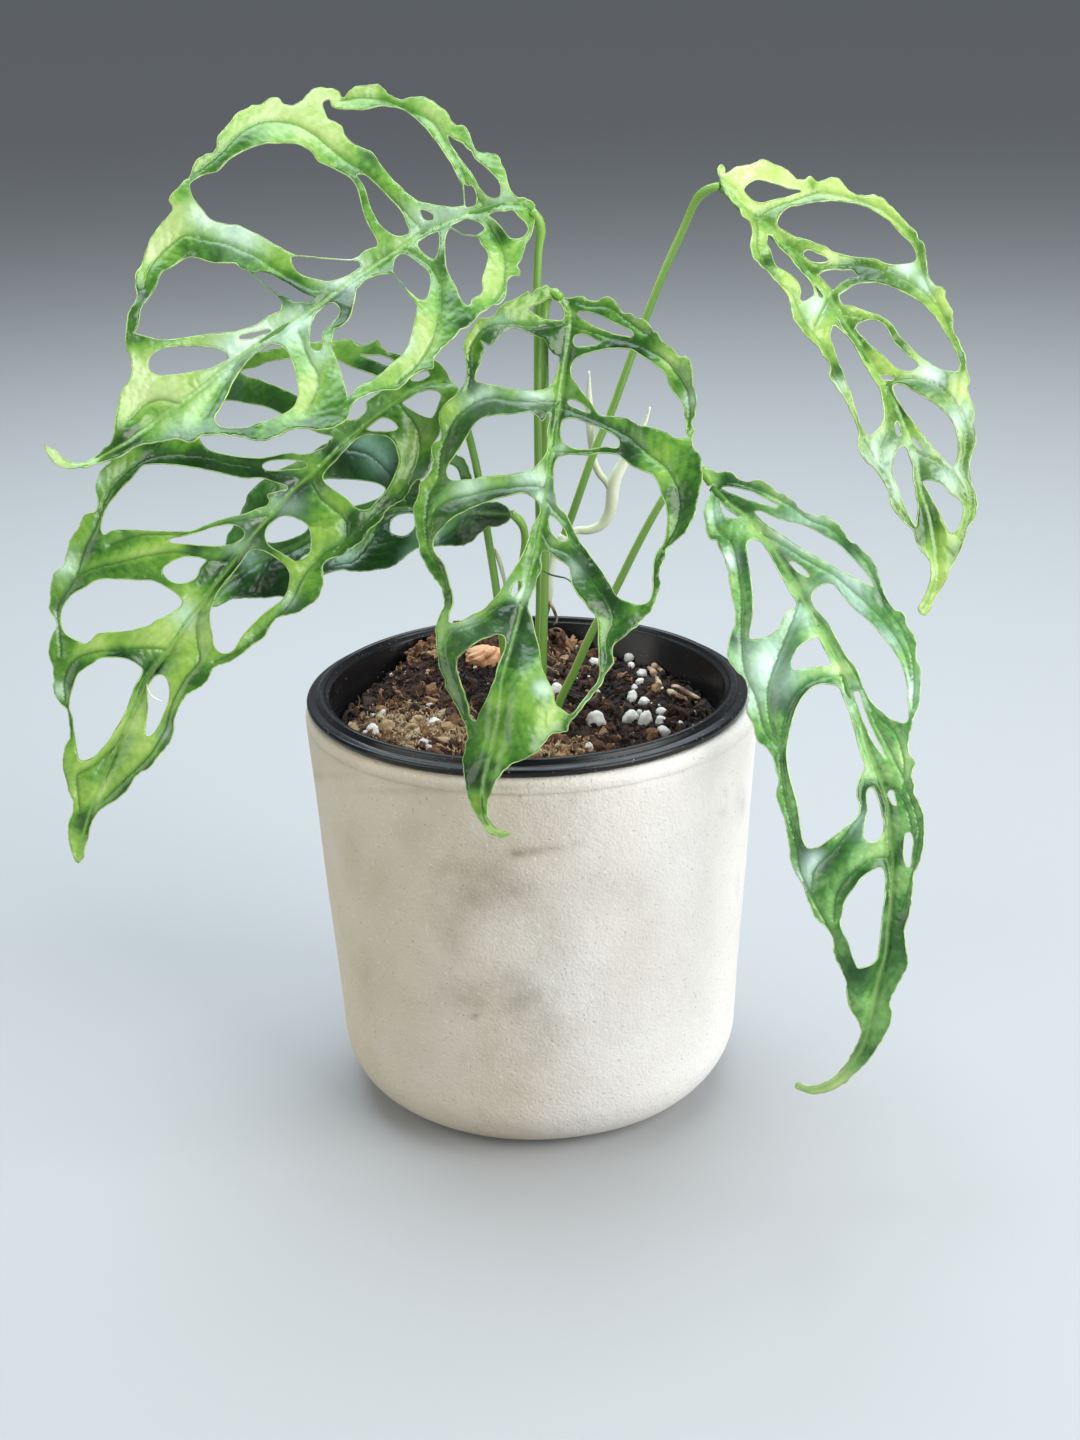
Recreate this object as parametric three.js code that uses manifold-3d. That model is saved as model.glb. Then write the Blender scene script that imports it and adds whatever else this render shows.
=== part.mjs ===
// Potted monstera obliqua: six lace-like perforated leaves on long stalks and two young shoots,
// standing in soil in a black nursery pot that hangs by its rim inside a cream clay cover pot.
// Millimetres, +Z up. Origin at the centre of the clay pot's base, X to the right and Y away
// from the front of the plant.
import * as THREE from 'three';
import { mergeVertices } from 'three/examples/jsm/utils/BufferGeometryUtils.js';
import Module from 'manifold-3d';

const wasm = await Module();
wasm.setup();

// Gap kept between neighbouring pieces
const GAP = 0.35;
// Edges shorter than this are merged away
const SMALLEST_EDGE = 0.03;

// Clay cover pot: its nominal top diameter is 150 mm
const CLAY_TOP_RADIUS = 75;
const CLAY_FOOT_RADIUS = 68;
const CLAY_HEIGHT = 138.7;
const CLAY_LIP_ROUND = 3.2;
const CLAY_CORNER = 22;
const CLAY_INNER_TOP = 69;
const CLAY_INNER_FOOT = 62;
const CLAY_FLOOR = 8;
const CLAY_SIDES = 48;

// Black nursery pot, a little off the clay pot's centre
const NURSERY_OFFSET_X = -1.44;
const NURSERY_FLANGE_RADIUS = 73;
const NURSERY_FLANGE_TOP = 141.5;
const NURSERY_BEAD_RADIUS = 69.6;
const NURSERY_BEAD_TOP = 143.5;
const NURSERY_INNER_TOP = 65.4;
const NURSERY_INNER_FLOOR = 50;
const NURSERY_WALL = 1.6;
const NURSERY_FLOOR_UNDER = 14;
const NURSERY_SIDES = 48;
const DRAIN_HOLES = 6;
const DRAIN_RADIUS = 4.5;
const DRAIN_CIRCLE = 34;

// Soil: its level, and the heap at the back left and ridge along the back wall that rise above it
const SOIL_LEVEL = 130.6;
const SOIL_HEAPS = [
  { x: -26, y: 44, width: 25, depth: 20, height: 9 },
  { x: -14, y: 62, width: 34, depth: 14, height: 7.5 },
];
const SOIL_RINGS = 9;
const SOIL_SIDES = 30;
const STALK_DEPTH = 12;

// Leaves
const BLADE_THICKNESS = 0.8;
const VALLEY_DEPTH = 3.5;
const VALLEY_REACH = 26;
const RIB_START_RADIUS = 1.25;
const RIB_END_RADIUS = 0.5;
const STALK_RADIUS = 1.4;
const OUTLINE_TOLERANCE = 0.75;

// The plant is laid out on a drawing 1080 units wide and 1440 high, seen from this point.
// A drawing point [u, v] and a depth Y give one point in space.
const VIEW = { x: 10.8, y: -673.9, z: 389.7, focal: 2164, pitchDown: 21.11, roll: -1.4, yaw: -0.7 };
const DRAWING_CENTRE = { u: 540, v: 720 };

// Each leaf: midrib from base to tip, the outline's two sides and their windows as u, v pairs,
// and depth as u, v, Y triples. Negative Y is nearer to the front.
const UPPER_LEFT_LEAF = {
  midrib: [535,212, 524,205, 508,203.5, 492,206.5, 478,210.7, 464,214.8, 450.5,221, 437,227, 423,232.6,
    409.5,242.8, 396,252.4, 382,260.6, 368,269.5, 355,278.4, 341,288, 318.6,305, 299.5,317, 284.7,325.8,
    262.6,340, 242,355.3, 221.6,370.3, 201,388, 180.5,404.5, 160,418, 139.5,433, 126,444, 105,456.5,
    84.7,464.7, 64,464.7, 50.5,455, 44,445.6],
  first: [533,204, 524,199, 515,197, 509,190, 505,178, 502,170, 497,160, 490,157, 480,155.5, 475,151,
    471,143, 469,135, 463,129, 455,128, 450,123, 446,116, 440,112, 435,107, 425,101, 415,100, 400,101,
    395,99, 388,95, 380,88, 375,86.5, 365,88, 355,89, 350,92, 346,97, 342,97.5, 339,94, 335,91,
    325,90.5, 313,91, 307,97, 300,103, 292,107.5, 283,105.5, 277,100, 272,100, 265,103, 260,107,
    251,108, 245,112, 237,116, 230,125, 222,134, 217,140, 216,150, 213,154, 203,158, 196,162, 192,171,
    189,179, 184,183, 178,190, 171,197, 169,202, 172,208, 170,216, 163,223, 156,231, 150,240, 148,248,
    145,254, 143,262, 140,269, 136,274, 135,286, 136.5,299, 130.5,310, 127.5,316, 126,328, 125,340,
    126.5,350, 129.5,357, 131,365, 131,374, 127.5,383, 121.5,392, 118.5,402, 116,415, 115,425,
    114.5,436, 111.5,444, 102.5,451, 95.5,457, 88,461.5, 79,463, 70,462.5, 61.5,457, 52,450],
  second: [529,236, 526,242, 523,247, 520.5,260, 516,268, 518.5,277.5, 511,278, 506.5,281.5, 506,289,
    504,299, 500,303.5, 492,306.5, 484,312.5, 476,318, 472,324, 467,328.5, 460,332, 454,339, 447,346,
    440,352, 434,360, 433,371, 426,371.5, 417,373.5, 410,377.5, 405,384, 395,390, 385,391, 372,394.5,
    362,400, 356,404.5, 351,411, 349,420, 343,426, 334,430.5, 325,432, 310,432, 298,431.5, 290,433,
    284,437.5, 275,441.5, 266,444, 258,444, 249,441.5, 238,438, 215,437.5, 206,437.5, 200,439.5,
    195,443, 190,444, 185,442.5, 178,441, 166,442, 153,444, 143,445.5, 135,449.5, 128,456, 119,461,
    106,466, 93,467, 78,467.5, 67,467.5, 55,463, 47,454],
  firstWindows: [
    [322,104, 326,101, 330,101, 332,107, 340,110, 352,111, 365,111, 378,107, 390,107, 400,108, 410,114,
      420,124, 430,135, 440,148, 450,163, 455,172, 459,180, 461,187, 460.5,196, 460,207, 450,209,
      435,207, 420,204, 410,198, 402,190, 390,178, 380,167, 375,160, 370,155, 360,151, 350,145, 343,136,
      341,129, 335,125, 328,121, 324,114],
    [466,186, 472,186, 476,192, 477,200, 475,206, 466,207],
    [448,137, 455,141, 463,144, 467,149, 472,153, 475,160, 485,170, 492,176, 498,182, 501,190, 500,197,
      495,199, 487,197, 480,190, 473,178, 465,167, 455,152, 448,141],
    [420,211, 428,212, 434,216, 433,221, 425,221, 421,216],
    [356,177, 365,175, 375,183, 385,193, 395,203, 402,212, 406,222, 409,234, 400,238, 392,237, 386,233,
      379,227, 374,218, 370,210, 367,200, 363,188],
    [189,186, 195,180, 202,175.5, 210,173.5, 217,172, 222,167, 228,161, 238,155, 247,151, 256,148,
      266,146, 280,146, 295,147, 306,150, 312,155, 318,163, 325,166.5, 335,171, 345,176, 351,181,
      357,190, 360,200, 362,209, 365,219, 370,230, 376,240, 378,245, 377,248, 371,250, 364,253,
      359,256.5, 350,257.5, 333,258, 307,255, 289,254, 281,250, 272,245, 260,238, 249,233, 237,227,
      222,225, 214,223, 208,219.5, 201,212, 196,206, 191,199],
    [291,259.5, 307,260.5, 333,262.5, 350,263.5, 358,263, 361,267, 356,271, 349,275.5, 341,279,
      333,281.5, 326,282.5, 317,281, 308,279, 300,275.5, 294,270],
    [248,270, 254,271.5, 260,272, 272,275, 282,280, 291,286, 300,292, 309,296, 315,298, 311,302,
      303,303, 292,302, 286,298, 279,292, 269,285, 257,277, 250,272.5],
    [239,268, 235,265, 225,264.5, 214,264, 206,262, 198,259, 190,258, 182,261, 175,266, 168,270,
      162,273, 158,280, 155,289, 147,300, 140,310, 138,320, 136,329, 133,334, 138,336, 146,338.5,
      157,341, 171,341, 194,337.5, 208,336, 222,335, 235,334, 243,331, 251,328, 257,325.5, 262,321.5,
      268,317, 274,314.5, 280,311.5, 282,306, 281,301, 272,293, 260,284.8, 249,276],
    [238,338, 243,335.5, 251,333, 257,331.5, 263,330, 268,329, 271,330.5, 268,332.5, 262,335, 255,338,
      246,340.5, 239,340.5],
    [147.5,365, 149,358, 154.5,352.5, 164,348.5, 175,347, 187,346.5, 201,346.6, 212,348, 221.6,351,
      227,355, 228,358, 225,361, 219,365, 212,368.5, 204,371, 191.5,373, 180.5,375.5, 167,376.5,
      157,376, 150.5,373, 148,369]],
  secondWindows: [
    [488,214, 495,211.5, 504,212, 512,211.5, 517.5,217, 524,223.5, 526.5,230, 524,236, 519,240, 512,241,
      506.5,237, 501,229, 494,221],
    [452,226, 458,222, 467,219.5, 476,220.5, 482,224, 485,228.5, 482,233, 478,233.5, 468,233, 459,232,
      454,229],
    [450,232, 446,238, 445,250, 446,268, 450,279, 455,288, 460,302, 466,309, 470,308, 472,302, 479,298,
      482,292, 482,282, 485,271, 488,260, 487,252, 482,246, 478,240.5, 468,239.5, 459,238.5],
    [418,244, 423,239, 431,234, 438,231.5, 440,237, 440,247, 438,256.5, 434.5,261, 428.5,258, 423,254,
      418.5,249],
    [394,266, 396,260, 401,255.5, 407,255.5, 413,259, 422,266, 429,272, 431,280, 430,292, 427,301,
      421,303, 414,298, 408,292, 401,282, 394,273],
    [389,278, 380,277.5, 370,280.5, 364,285, 360,289.5, 357,292, 356,300, 354,310, 351,319, 346,326,
      340,330, 335,331, 333,340, 332,349, 336,360, 340,371, 343,382, 346,392, 349,402, 352,399, 357,393,
      363,387.5, 370,383, 377,379, 384,375, 389,370, 396,363, 403,356, 409,347, 413,335, 416,322,
      418,311, 418,308, 412,304.5, 405,297, 397,286],
    [327,304, 320,310, 314,318, 311,330, 310,342, 310.5,349, 316,352, 321.5,352, 324,346, 323,339,
      326,333, 332,329, 335,324, 339,320, 341,314, 340,309.5, 335,304.5],
    [256,352, 251,359, 243,369, 236,380, 229,393, 221,409, 215,418, 216,425, 222,430, 235,431, 247,431,
      262,427, 274,423, 284,417, 292,411, 297,404, 299,394, 298,382, 295,368, 290,357, 284,349, 277,345,
      270,343.5, 262,347]],
  depth: [538,235,8, 508,203,8, 437,227,3, 368,269,-6, 299,317,-18, 221,370,-30, 160,418,-40,
    105,456,-48, 44,445,-54, 480,155,22, 440,112,34, 375,86,36, 300,103,26, 217,140,8, 170,210,-8,
    145,254,-16, 127,330,-30, 116,415,-42, 518,277,-4, 466,328,-22, 433,371,-32, 403,385,-36,
    349,420,-44, 266,444,-50, 190,444,-52, 119,461,-52],
};
const LOWER_LEFT_LEAF = {
  midrib: [450,381, 430,383, 409,392, 395,402, 380,413, 366,424, 352,437, 340,447, 330,457, 320,467,
    308,477, 295,488, 285,499, 275,510, 266,521, 255,533, 247,543, 239,553, 230,565, 222,576, 213,587,
    205,598, 196,609, 186,621, 178,633, 170,644, 163,655, 155,666, 148,676, 142,686, 137,697, 133,708,
    128,719, 121,732, 115,744, 110,757, 105,771, 100,785, 94,800, 89,815, 84,832, 80,848, 79,862],
  first: [446,373, 440,366, 436,363, 430,359, 418,358, 405,358, 396,357, 388,355, 382,350, 376,342,
    370,345, 364,347, 356,345, 348,341, 340,341, 330,343, 315,345, 300,347, 285,349, 270,352, 258,354,
    248,357, 238,364, 230,374, 222,384, 210,393, 198,402, 187,412, 175,422, 160,431, 145,439, 130,447,
    117,456, 108,465, 101,471, 98,479, 96,488, 98,497, 98,506, 95,512, 88,514, 83,518, 80,527, 75,533,
    71,540, 68,550, 66,560, 63,568, 58,570, 54,577, 52,588, 51,600, 50,608, 52,613, 56,619, 57,627,
    54,633, 51,640, 50,650, 51,660, 54,667, 55,680, 55,690, 58,698, 64,705, 68,709, 70,718, 71,728,
    71,737, 67,743, 65,752, 64,762, 65,772, 67,780, 69,789, 72,797, 74,803, 73,812, 70,820, 69,830,
    70,840, 72,850, 75,859],
  second: [457,390, 455,400, 448,408, 443,420, 438,433, 434,441, 432,450, 431,460, 428,470, 423,478,
    415,481, 410,487, 406,495, 402,500, 395,504, 388,508, 384,513, 380,520, 373,526, 368,530, 366,535,
    362,540, 355,545, 348,550, 343,555, 335,557, 327,560, 323,565, 322,573, 323,580, 321,590, 317,598,
    310,604, 303,609, 295,613, 285,615, 277,617, 272,623, 268,630, 265,636, 258,641, 250,647, 242,653,
    235,658, 228,662, 218,665, 213,669, 210,675, 206,682, 200,687, 192,691, 186,695, 182,702, 177,711,
    174,719, 174,730, 171,740, 165,748, 158,756, 153,763, 148,768, 140,772, 135,777, 131,784, 126,791,
    120,797, 112,802, 104,807, 98,812, 93,820, 90,828, 88,838, 85,847, 84,856],
  firstWindows: [
    [411,381, 415,376, 421,373, 428,372, 430,376, 426,379, 418,382],
    [360,356, 368,357, 376,357, 384,358, 392,362, 396,366, 392,369, 380,366, 370,362],
    [240,373, 255,368, 268,363, 282,361, 300,360, 320,360, 338,362, 352,369, 366,374, 380,380, 386,386,
      384,391, 375,397, 367,403, 367,410, 360,417, 350,421, 338,417, 320,409, 300,399, 283,391, 270,386,
      258,381, 247,378],
    [200,440, 198,425, 205,411, 218,403, 232,401, 245,404, 260,406, 272,410, 286,417, 300,425, 318,433,
      333,437, 328,441, 326,446, 318,450, 309,454, 300,455, 290,454, 278,456, 262,459, 245,458, 225,455,
      207,450],
    [262,466, 267,462, 280,460, 295,460, 304,462, 307,466, 301,469, 290,470, 276,471, 266,470],
    [148,465, 170,465, 200,469, 225,474, 245,478, 262,478, 275,482, 287,486, 287,489, 280,491, 273,493,
      267,495, 269,501, 266,506, 257,509, 245,514, 228,518, 212,523, 198,529, 185,532, 150,531,
      115,530.5, 104,535, 101,527, 104,513, 111,501, 121,489, 132,478, 141,467],
    [168,541, 172,538, 183,536, 195,533, 203,530, 212,527, 225,524.5, 235,525, 241,528, 244,532,
      243,537, 238,541, 232,544, 220,546, 205,546, 190,545, 178,544, 171,543],
    [163,568, 169,563, 177,559, 185,556.5, 195,557, 207,560, 201,567, 197,576, 193,580, 185,583,
      175,583, 168,580, 163,574],
    [102,579, 120,579, 140,580, 152,580, 158,582, 165,586, 173,591, 180,597, 182,602, 179,607, 172,612,
      163,617, 156,620, 150,625, 140,628, 130,631, 115,632, 105,633, 98,634, 92,640, 86,644, 80,642,
      72,638, 66,634, 62,627, 61,618, 62,610, 66,602, 70,596, 77,591, 85,587, 93,582],
    [100,658, 112,657, 125,658, 133,661, 139,665, 143,670, 141,677, 137,683, 133,692, 130,700, 128,706,
      124,714, 120,722, 114,732, 108,742, 100,751, 93,757, 86,760, 80,759, 77,750, 76,740, 74,728,
      73,718, 70,708, 70,700, 72,690, 75,682, 79,673, 85,668, 93,663]],
  secondWindows: [
    [402,403, 409,398, 418,394, 428,391, 437,392, 441,396, 439,404, 435,413, 431,418, 424,417, 412,411],
    [366,429, 373,423, 381,418, 389,419, 395,423, 398,428, 394,431, 384,432, 374,432],
    [348,447, 355,439, 365,435, 378,435, 388,437, 394,443, 397,452, 398,462, 395,472, 390,484, 384,494,
      376,502, 370,509, 362,511, 354,508, 349,502, 341,496, 333,491, 326,485, 323,478, 327,471, 336,461],
    [268,527, 275,520, 283,516, 292,517, 302,521, 308,526, 311,535, 311,548, 309,555, 302,560, 295,562,
      288,558, 278,552, 270,547, 266,540, 266,533],
    [250,551, 256,550, 263,551, 270,554, 280,561, 287,568, 290,576, 289,585, 286,595, 280,602, 272,608,
      262,616, 252,626, 243,636, 237,646, 232,652, 222,654, 215,648, 213,638, 211,625, 211,612, 214,603,
      218,594, 225,583, 233,572, 241,561],
    [152,678, 157,675, 163,675, 168,679, 170,687, 170,696, 168,705, 164,715, 160,724, 156,731, 151,736,
      147,736, 146,728, 147,718, 148,708, 148,698, 147,690, 149,684]],
  depth: [440,378,-4, 409,392,-8, 380,414,-12, 340,448,-17, 295,488,-24, 255,533,-31, 222,576,-37,
    185,622,-43, 151,671,-50, 128,718,-55, 110,757,-58, 94,800,-61, 79,862,-63, 396,357,2, 340,341,2,
    285,349,-3, 238,364,-8, 198,402,-14, 145,439,-22, 108,465,-30, 98,500,-34, 68,550,-40, 51,605,-46,
    50,650,-50, 55,690,-53, 68,709,-55, 71,737,-57, 65,765,-59, 457,392,-6, 434,447,-10, 425,475,-13,
    384,513,-22, 345,552,-29, 322,575,-32, 295,613,-38, 265,636,-42, 213,669,-48, 186,695,-51,
    174,730,-54, 140,772,-58, 104,807,-61],
};
const BACK_LEAF = {
  midrib: [512,514, 495,513, 475,512, 450,513, 430,512, 405,508, 380,511, 350,520, 320,532, 300,543,
    270,556, 245,570, 225,585, 207,604],
  first: [507,506, 498,502, 486,502, 478,497, 474,488, 472,476, 465,460, 450,452, 430,445, 410,438,
    395,436, 380,434, 365,433, 350,436, 335,440, 320,448, 305,458, 290,466, 275,474, 262,482, 250,493,
    245,505, 240,515, 235,525, 228,535, 225,545, 210,555, 203,565, 197,577, 200,592],
  second: [509,521, 500,526, 490,527, 482,533, 472,542, 460,546, 440,546, 420,548, 408,555, 395,566,
    375,571, 355,572, 340,570, 323,576, 305,585, 290,595, 265,598, 248,598, 230,601, 214,607],
  firstWindows: [
    [322,482, 340,480, 360,481, 378,484, 386,489, 381,497, 370,502, 356,506, 342,508, 330,500],
    [430,462, 444,462, 458,468, 462,480, 460,492, 450,500, 436,498, 424,488, 420,474],
    [305,532, 296,537, 282,542, 270,543, 261,538, 258,528, 264,519, 276,514, 290,513, 303,517, 309,524]],
  secondWindows: [
    [390,528, 391,521, 397,516, 405,514, 414,515, 417,522, 414,532, 405,538, 396,537, 391,534],
    [300,562, 316,552, 330,549, 334,556, 322,565, 306,571]],
  depth: [512,514,-9, 485,505,-5, 465,470,2, 420,470,8, 370,440,14, 300,460,6, 250,500,-4, 220,550,-12,
    197,577,-20, 207,603,-22, 265,598,-18, 323,575,-13, 375,571,-8, 420,548,-5, 460,546,-4, 490,527,-6],
};
const FRONT_LEAF = {
  midrib: [562,298, 568,310, 569,322, 568,340, 566,355, 564,370, 562,385, 560,400, 558,415, 556,430,
    554,445, 551,460, 549,475, 547,490, 545,505, 542,520, 539,534, 537,548, 534,560, 530,575, 527,590,
    522,605, 518,620, 514,635, 510,650, 507,660, 504,672, 502,684, 501,697, 500,710, 498,722, 495,736,
    491,750, 487,764, 484,778, 482,790, 481,802, 482,814, 486,823, 493,831, 503,834, 513,833],
  first: [556,290, 550,290, 545,287, 540,290, 535,291, 531,296, 527,293, 523,296, 518,299, 512,302,
    505,305, 498,311, 495,316, 487,320, 480,320, 476,324, 472,330, 467,337, 464,344, 464,352, 466,360,
    467,370, 466,380, 463,387, 457,394, 450,401, 444,407, 440,413, 440,422, 442,432, 440,441, 435,443,
    432,448, 433,456, 433,465, 430,475, 426,481, 421,484, 420,492, 418,500, 415,507, 416,520, 418,535,
    420,545, 422,555, 426,563, 431,572, 437,580, 442,586, 444,594, 446,601, 446,608, 443,614, 440,622,
    438,630, 438,640, 439,650, 440,660, 441,668, 445,678, 449,690, 455,700, 461,712, 466,723, 469,735,
    468,745, 467,755, 467,765, 468,775, 469,785, 470,795, 472,804, 475,812, 479,819, 485,828, 493,834.5,
    503,837],
  second: [570,299, 575,298, 582,297, 586,300, 592,302, 598,302, 603,299, 608,298, 612,300, 616,303,
    619,307, 621,312, 626,315, 631,315, 636,319, 641,320, 646,322, 650,328, 654,333, 657,333, 659,338,
    663,343, 669,347, 674,351, 677,356, 682,359, 686,358, 690,363, 692,370, 693,378, 692,384, 695,392,
    697,400, 695,407, 695,415, 692,421, 692,427, 694,431, 692,437, 692,443, 694,450, 698,455, 701,460,
    701,468, 702,475, 701,485, 699,495, 697,503, 696,512, 693,518, 690,524, 687,530, 683,535, 677,540,
    671,545, 666,549, 665,555, 663,562, 660,569, 658,577, 659,585, 658,592, 655,600, 653,607, 650,612,
    645,616, 641,621, 637,626, 630,631, 625,636, 619,640, 613,645, 611,651, 612,658, 612,664, 607,671,
    603,677, 600,685, 594,692, 588,700, 582,706, 577,713, 572,718, 568,724, 566,731, 560,732, 552,733,
    547,736, 543,742, 539,747, 535,752, 528,757, 520,761, 512,764, 507,768, 503,773, 499,779, 495,785,
    492,792, 488,800, 485.5,808, 485.5,815, 489,822, 496,829, 504,831.5],
  firstWindows: [
    [527,310, 535,306, 543,302, 548,299, 556,301, 561,305, 563,311, 564,318, 561,321, 554,321, 545,320,
      537,317, 531,314],
    [480,341, 484,350, 481,358, 479,366, 476,372, 475,381, 482,384, 492,386, 502,388, 512,390, 522,391,
      532,392, 542,391, 550,386, 554,378, 557,368, 558,359, 552,354, 547,347, 546,340, 538,337, 530,333,
      522,330, 514,328, 508,329, 502,333, 496,340, 489,346],
    [540,462, 535,468, 530,472, 520,474, 510,476, 500,476.5, 490,477, 482,478, 475,480, 468,481,
      460,482, 455,482, 450,480, 447,475, 447,470, 450,463, 455,456, 460,448, 465,440, 470,431, 475,424,
      480,420, 490,416, 500,415, 510,415, 520,414, 530,414, 536,417, 540,422, 543,420, 546,414, 550,414,
      549,422, 547,432, 548,442, 547,452],
    [433.5,548, 434,541, 437,535, 443,529, 449,523, 455,518, 462,514, 470,510, 480,506, 488,503,
      498,499, 510,496, 517,494, 524,493, 530,496, 536,500, 540,506, 540,514, 536,520, 532,528, 528,541,
      524,552, 519,563, 514,572, 508,581, 503,590, 497,598, 490,605, 482,611, 472,616, 463,621, 455,624,
      450,623, 451,614, 454,606, 454,599, 452,590, 450,583, 448,575, 445,566, 440,559, 436,554],
    [511,596, 512,590, 515,584, 518,582, 521,584, 521.5,588, 518.5,593, 515.5,597, 513,598.5],
    [458,668, 459,660, 463,655, 470,651, 475,646, 482,641, 490,638, 498,636, 504,637, 506,642, 505,650,
      502,658, 499,667, 497,677, 495,686, 492,695, 489,704, 486,709, 483,716, 480,721, 477,722, 473,718,
      471,708, 467,698, 464,690, 461,680, 459,673]],
  secondWindows: [
    [576,315, 578,312.5, 583,312, 590,313, 597,315, 603,317, 608,320, 613,323, 619,325, 625,328,
      631,331, 634,335, 631,338, 626,337, 620,336, 612,334, 604,331, 595,328, 587,324, 580,319],
    [573,340, 575,336, 580,334.5, 588,335.5, 595,339, 601,343, 597,346, 591,347, 583,348, 577,348,
      574,345],
    [578,358, 585,355, 595,352, 603,350, 613,349, 622,349, 631,350, 637,353, 645,358, 652,363, 659,368,
      665,373, 668,380, 671,388, 676,395, 682,402, 685,409, 685,416, 687,422, 686,430, 688,437, 685,439,
      679,440, 673,439, 669,436, 662,433, 655,431, 648,429, 640,428, 634,424, 627,420, 618,418.5,
      610,417.5, 602,416.5, 597,413, 593,407, 588,400, 582,393, 577,386, 573,380, 571,373, 572,366,
      575,360],
    [567,402, 569,399.5, 574,400, 580,403, 586,407, 591,412, 590,414, 584,412, 577,409, 570,406],
    [562,421, 566,419, 571,418, 577,419, 584,422, 591,425, 598,428, 606,431, 612,434, 618,439, 620,444,
      619,448, 615,449, 606,448, 597,449, 588,450, 578,450, 570,448, 565,445, 561,438, 560,430],
    [557,460, 561,456, 567,454, 578,454.5, 590,455, 600,453.5, 610,453.5, 617,455, 622,459, 628,464,
      636,469, 645,473, 652,476, 657,482, 660,490, 663,499, 666,506, 667,513, 668,521, 667,529, 666,537,
      663,545, 659,550, 656,555, 654,562, 653,570, 652,578, 652,588, 651,597, 648,603, 643,606, 635,606,
      627,603, 620,600, 615,596, 611,588, 606,580, 601,571, 595,563, 590,556, 584,548, 578,540, 573,531,
      570,524, 566,516, 561,511, 557,505, 555,495, 554,480, 554,468],
    [551,516, 556,519, 560,523, 563,528, 566,533, 568,539, 567,543, 563,544, 558,541, 553,536, 550,529,
      549.5,521],
    [542,552, 546,551, 552,555, 558,560, 565,564, 570,569, 571,578, 572,586, 576,594, 582,602, 588,610,
      594,616, 597,624, 598,632, 598,645, 598,660, 599,675, 597,683, 592,689, 586,697, 580,704, 575,711,
      570,715, 565,713, 560,710, 555,707, 552,702, 551,695, 548,688, 544,679, 541,670, 540,660, 539,650,
      536,638, 534,628, 532,618, 529,609, 530,601, 533,595, 536,588, 538,580, 541,573, 542,566, 541,559]],
  depth: [569,322,0, 562,385,-10, 555,445,-22, 545,505,-35, 534,560,-47, 519,618,-60, 505,668,-72,
    500,710,-81, 488,758,-88, 482,800,-93, 484,823,-94, 512,834,-96, 545,287,4, 512,302,-1, 493,320,-5,
    464,350,-10, 463,387,-15, 440,413,-18, 442,440,-21, 430,475,-25, 415,507,-30, 422,555,-37,
    443,585,-42, 447,608,-46, 438,635,-50, 449,690,-60, 466,723,-68, 467,765,-81, 475,812,-91,
    620,310,3, 641,320,0, 663,343,-4, 690,365,-10, 695,400,-16, 691,430,-21, 698,455,-26, 701,480,-30,
    693,518,-37, 671,545,-41, 658,577,-46, 653,607,-52, 625,636,-58, 611,655,-62, 597,688,-70,
    569,722,-78, 547,736,-82, 512,764,-88],
};
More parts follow.
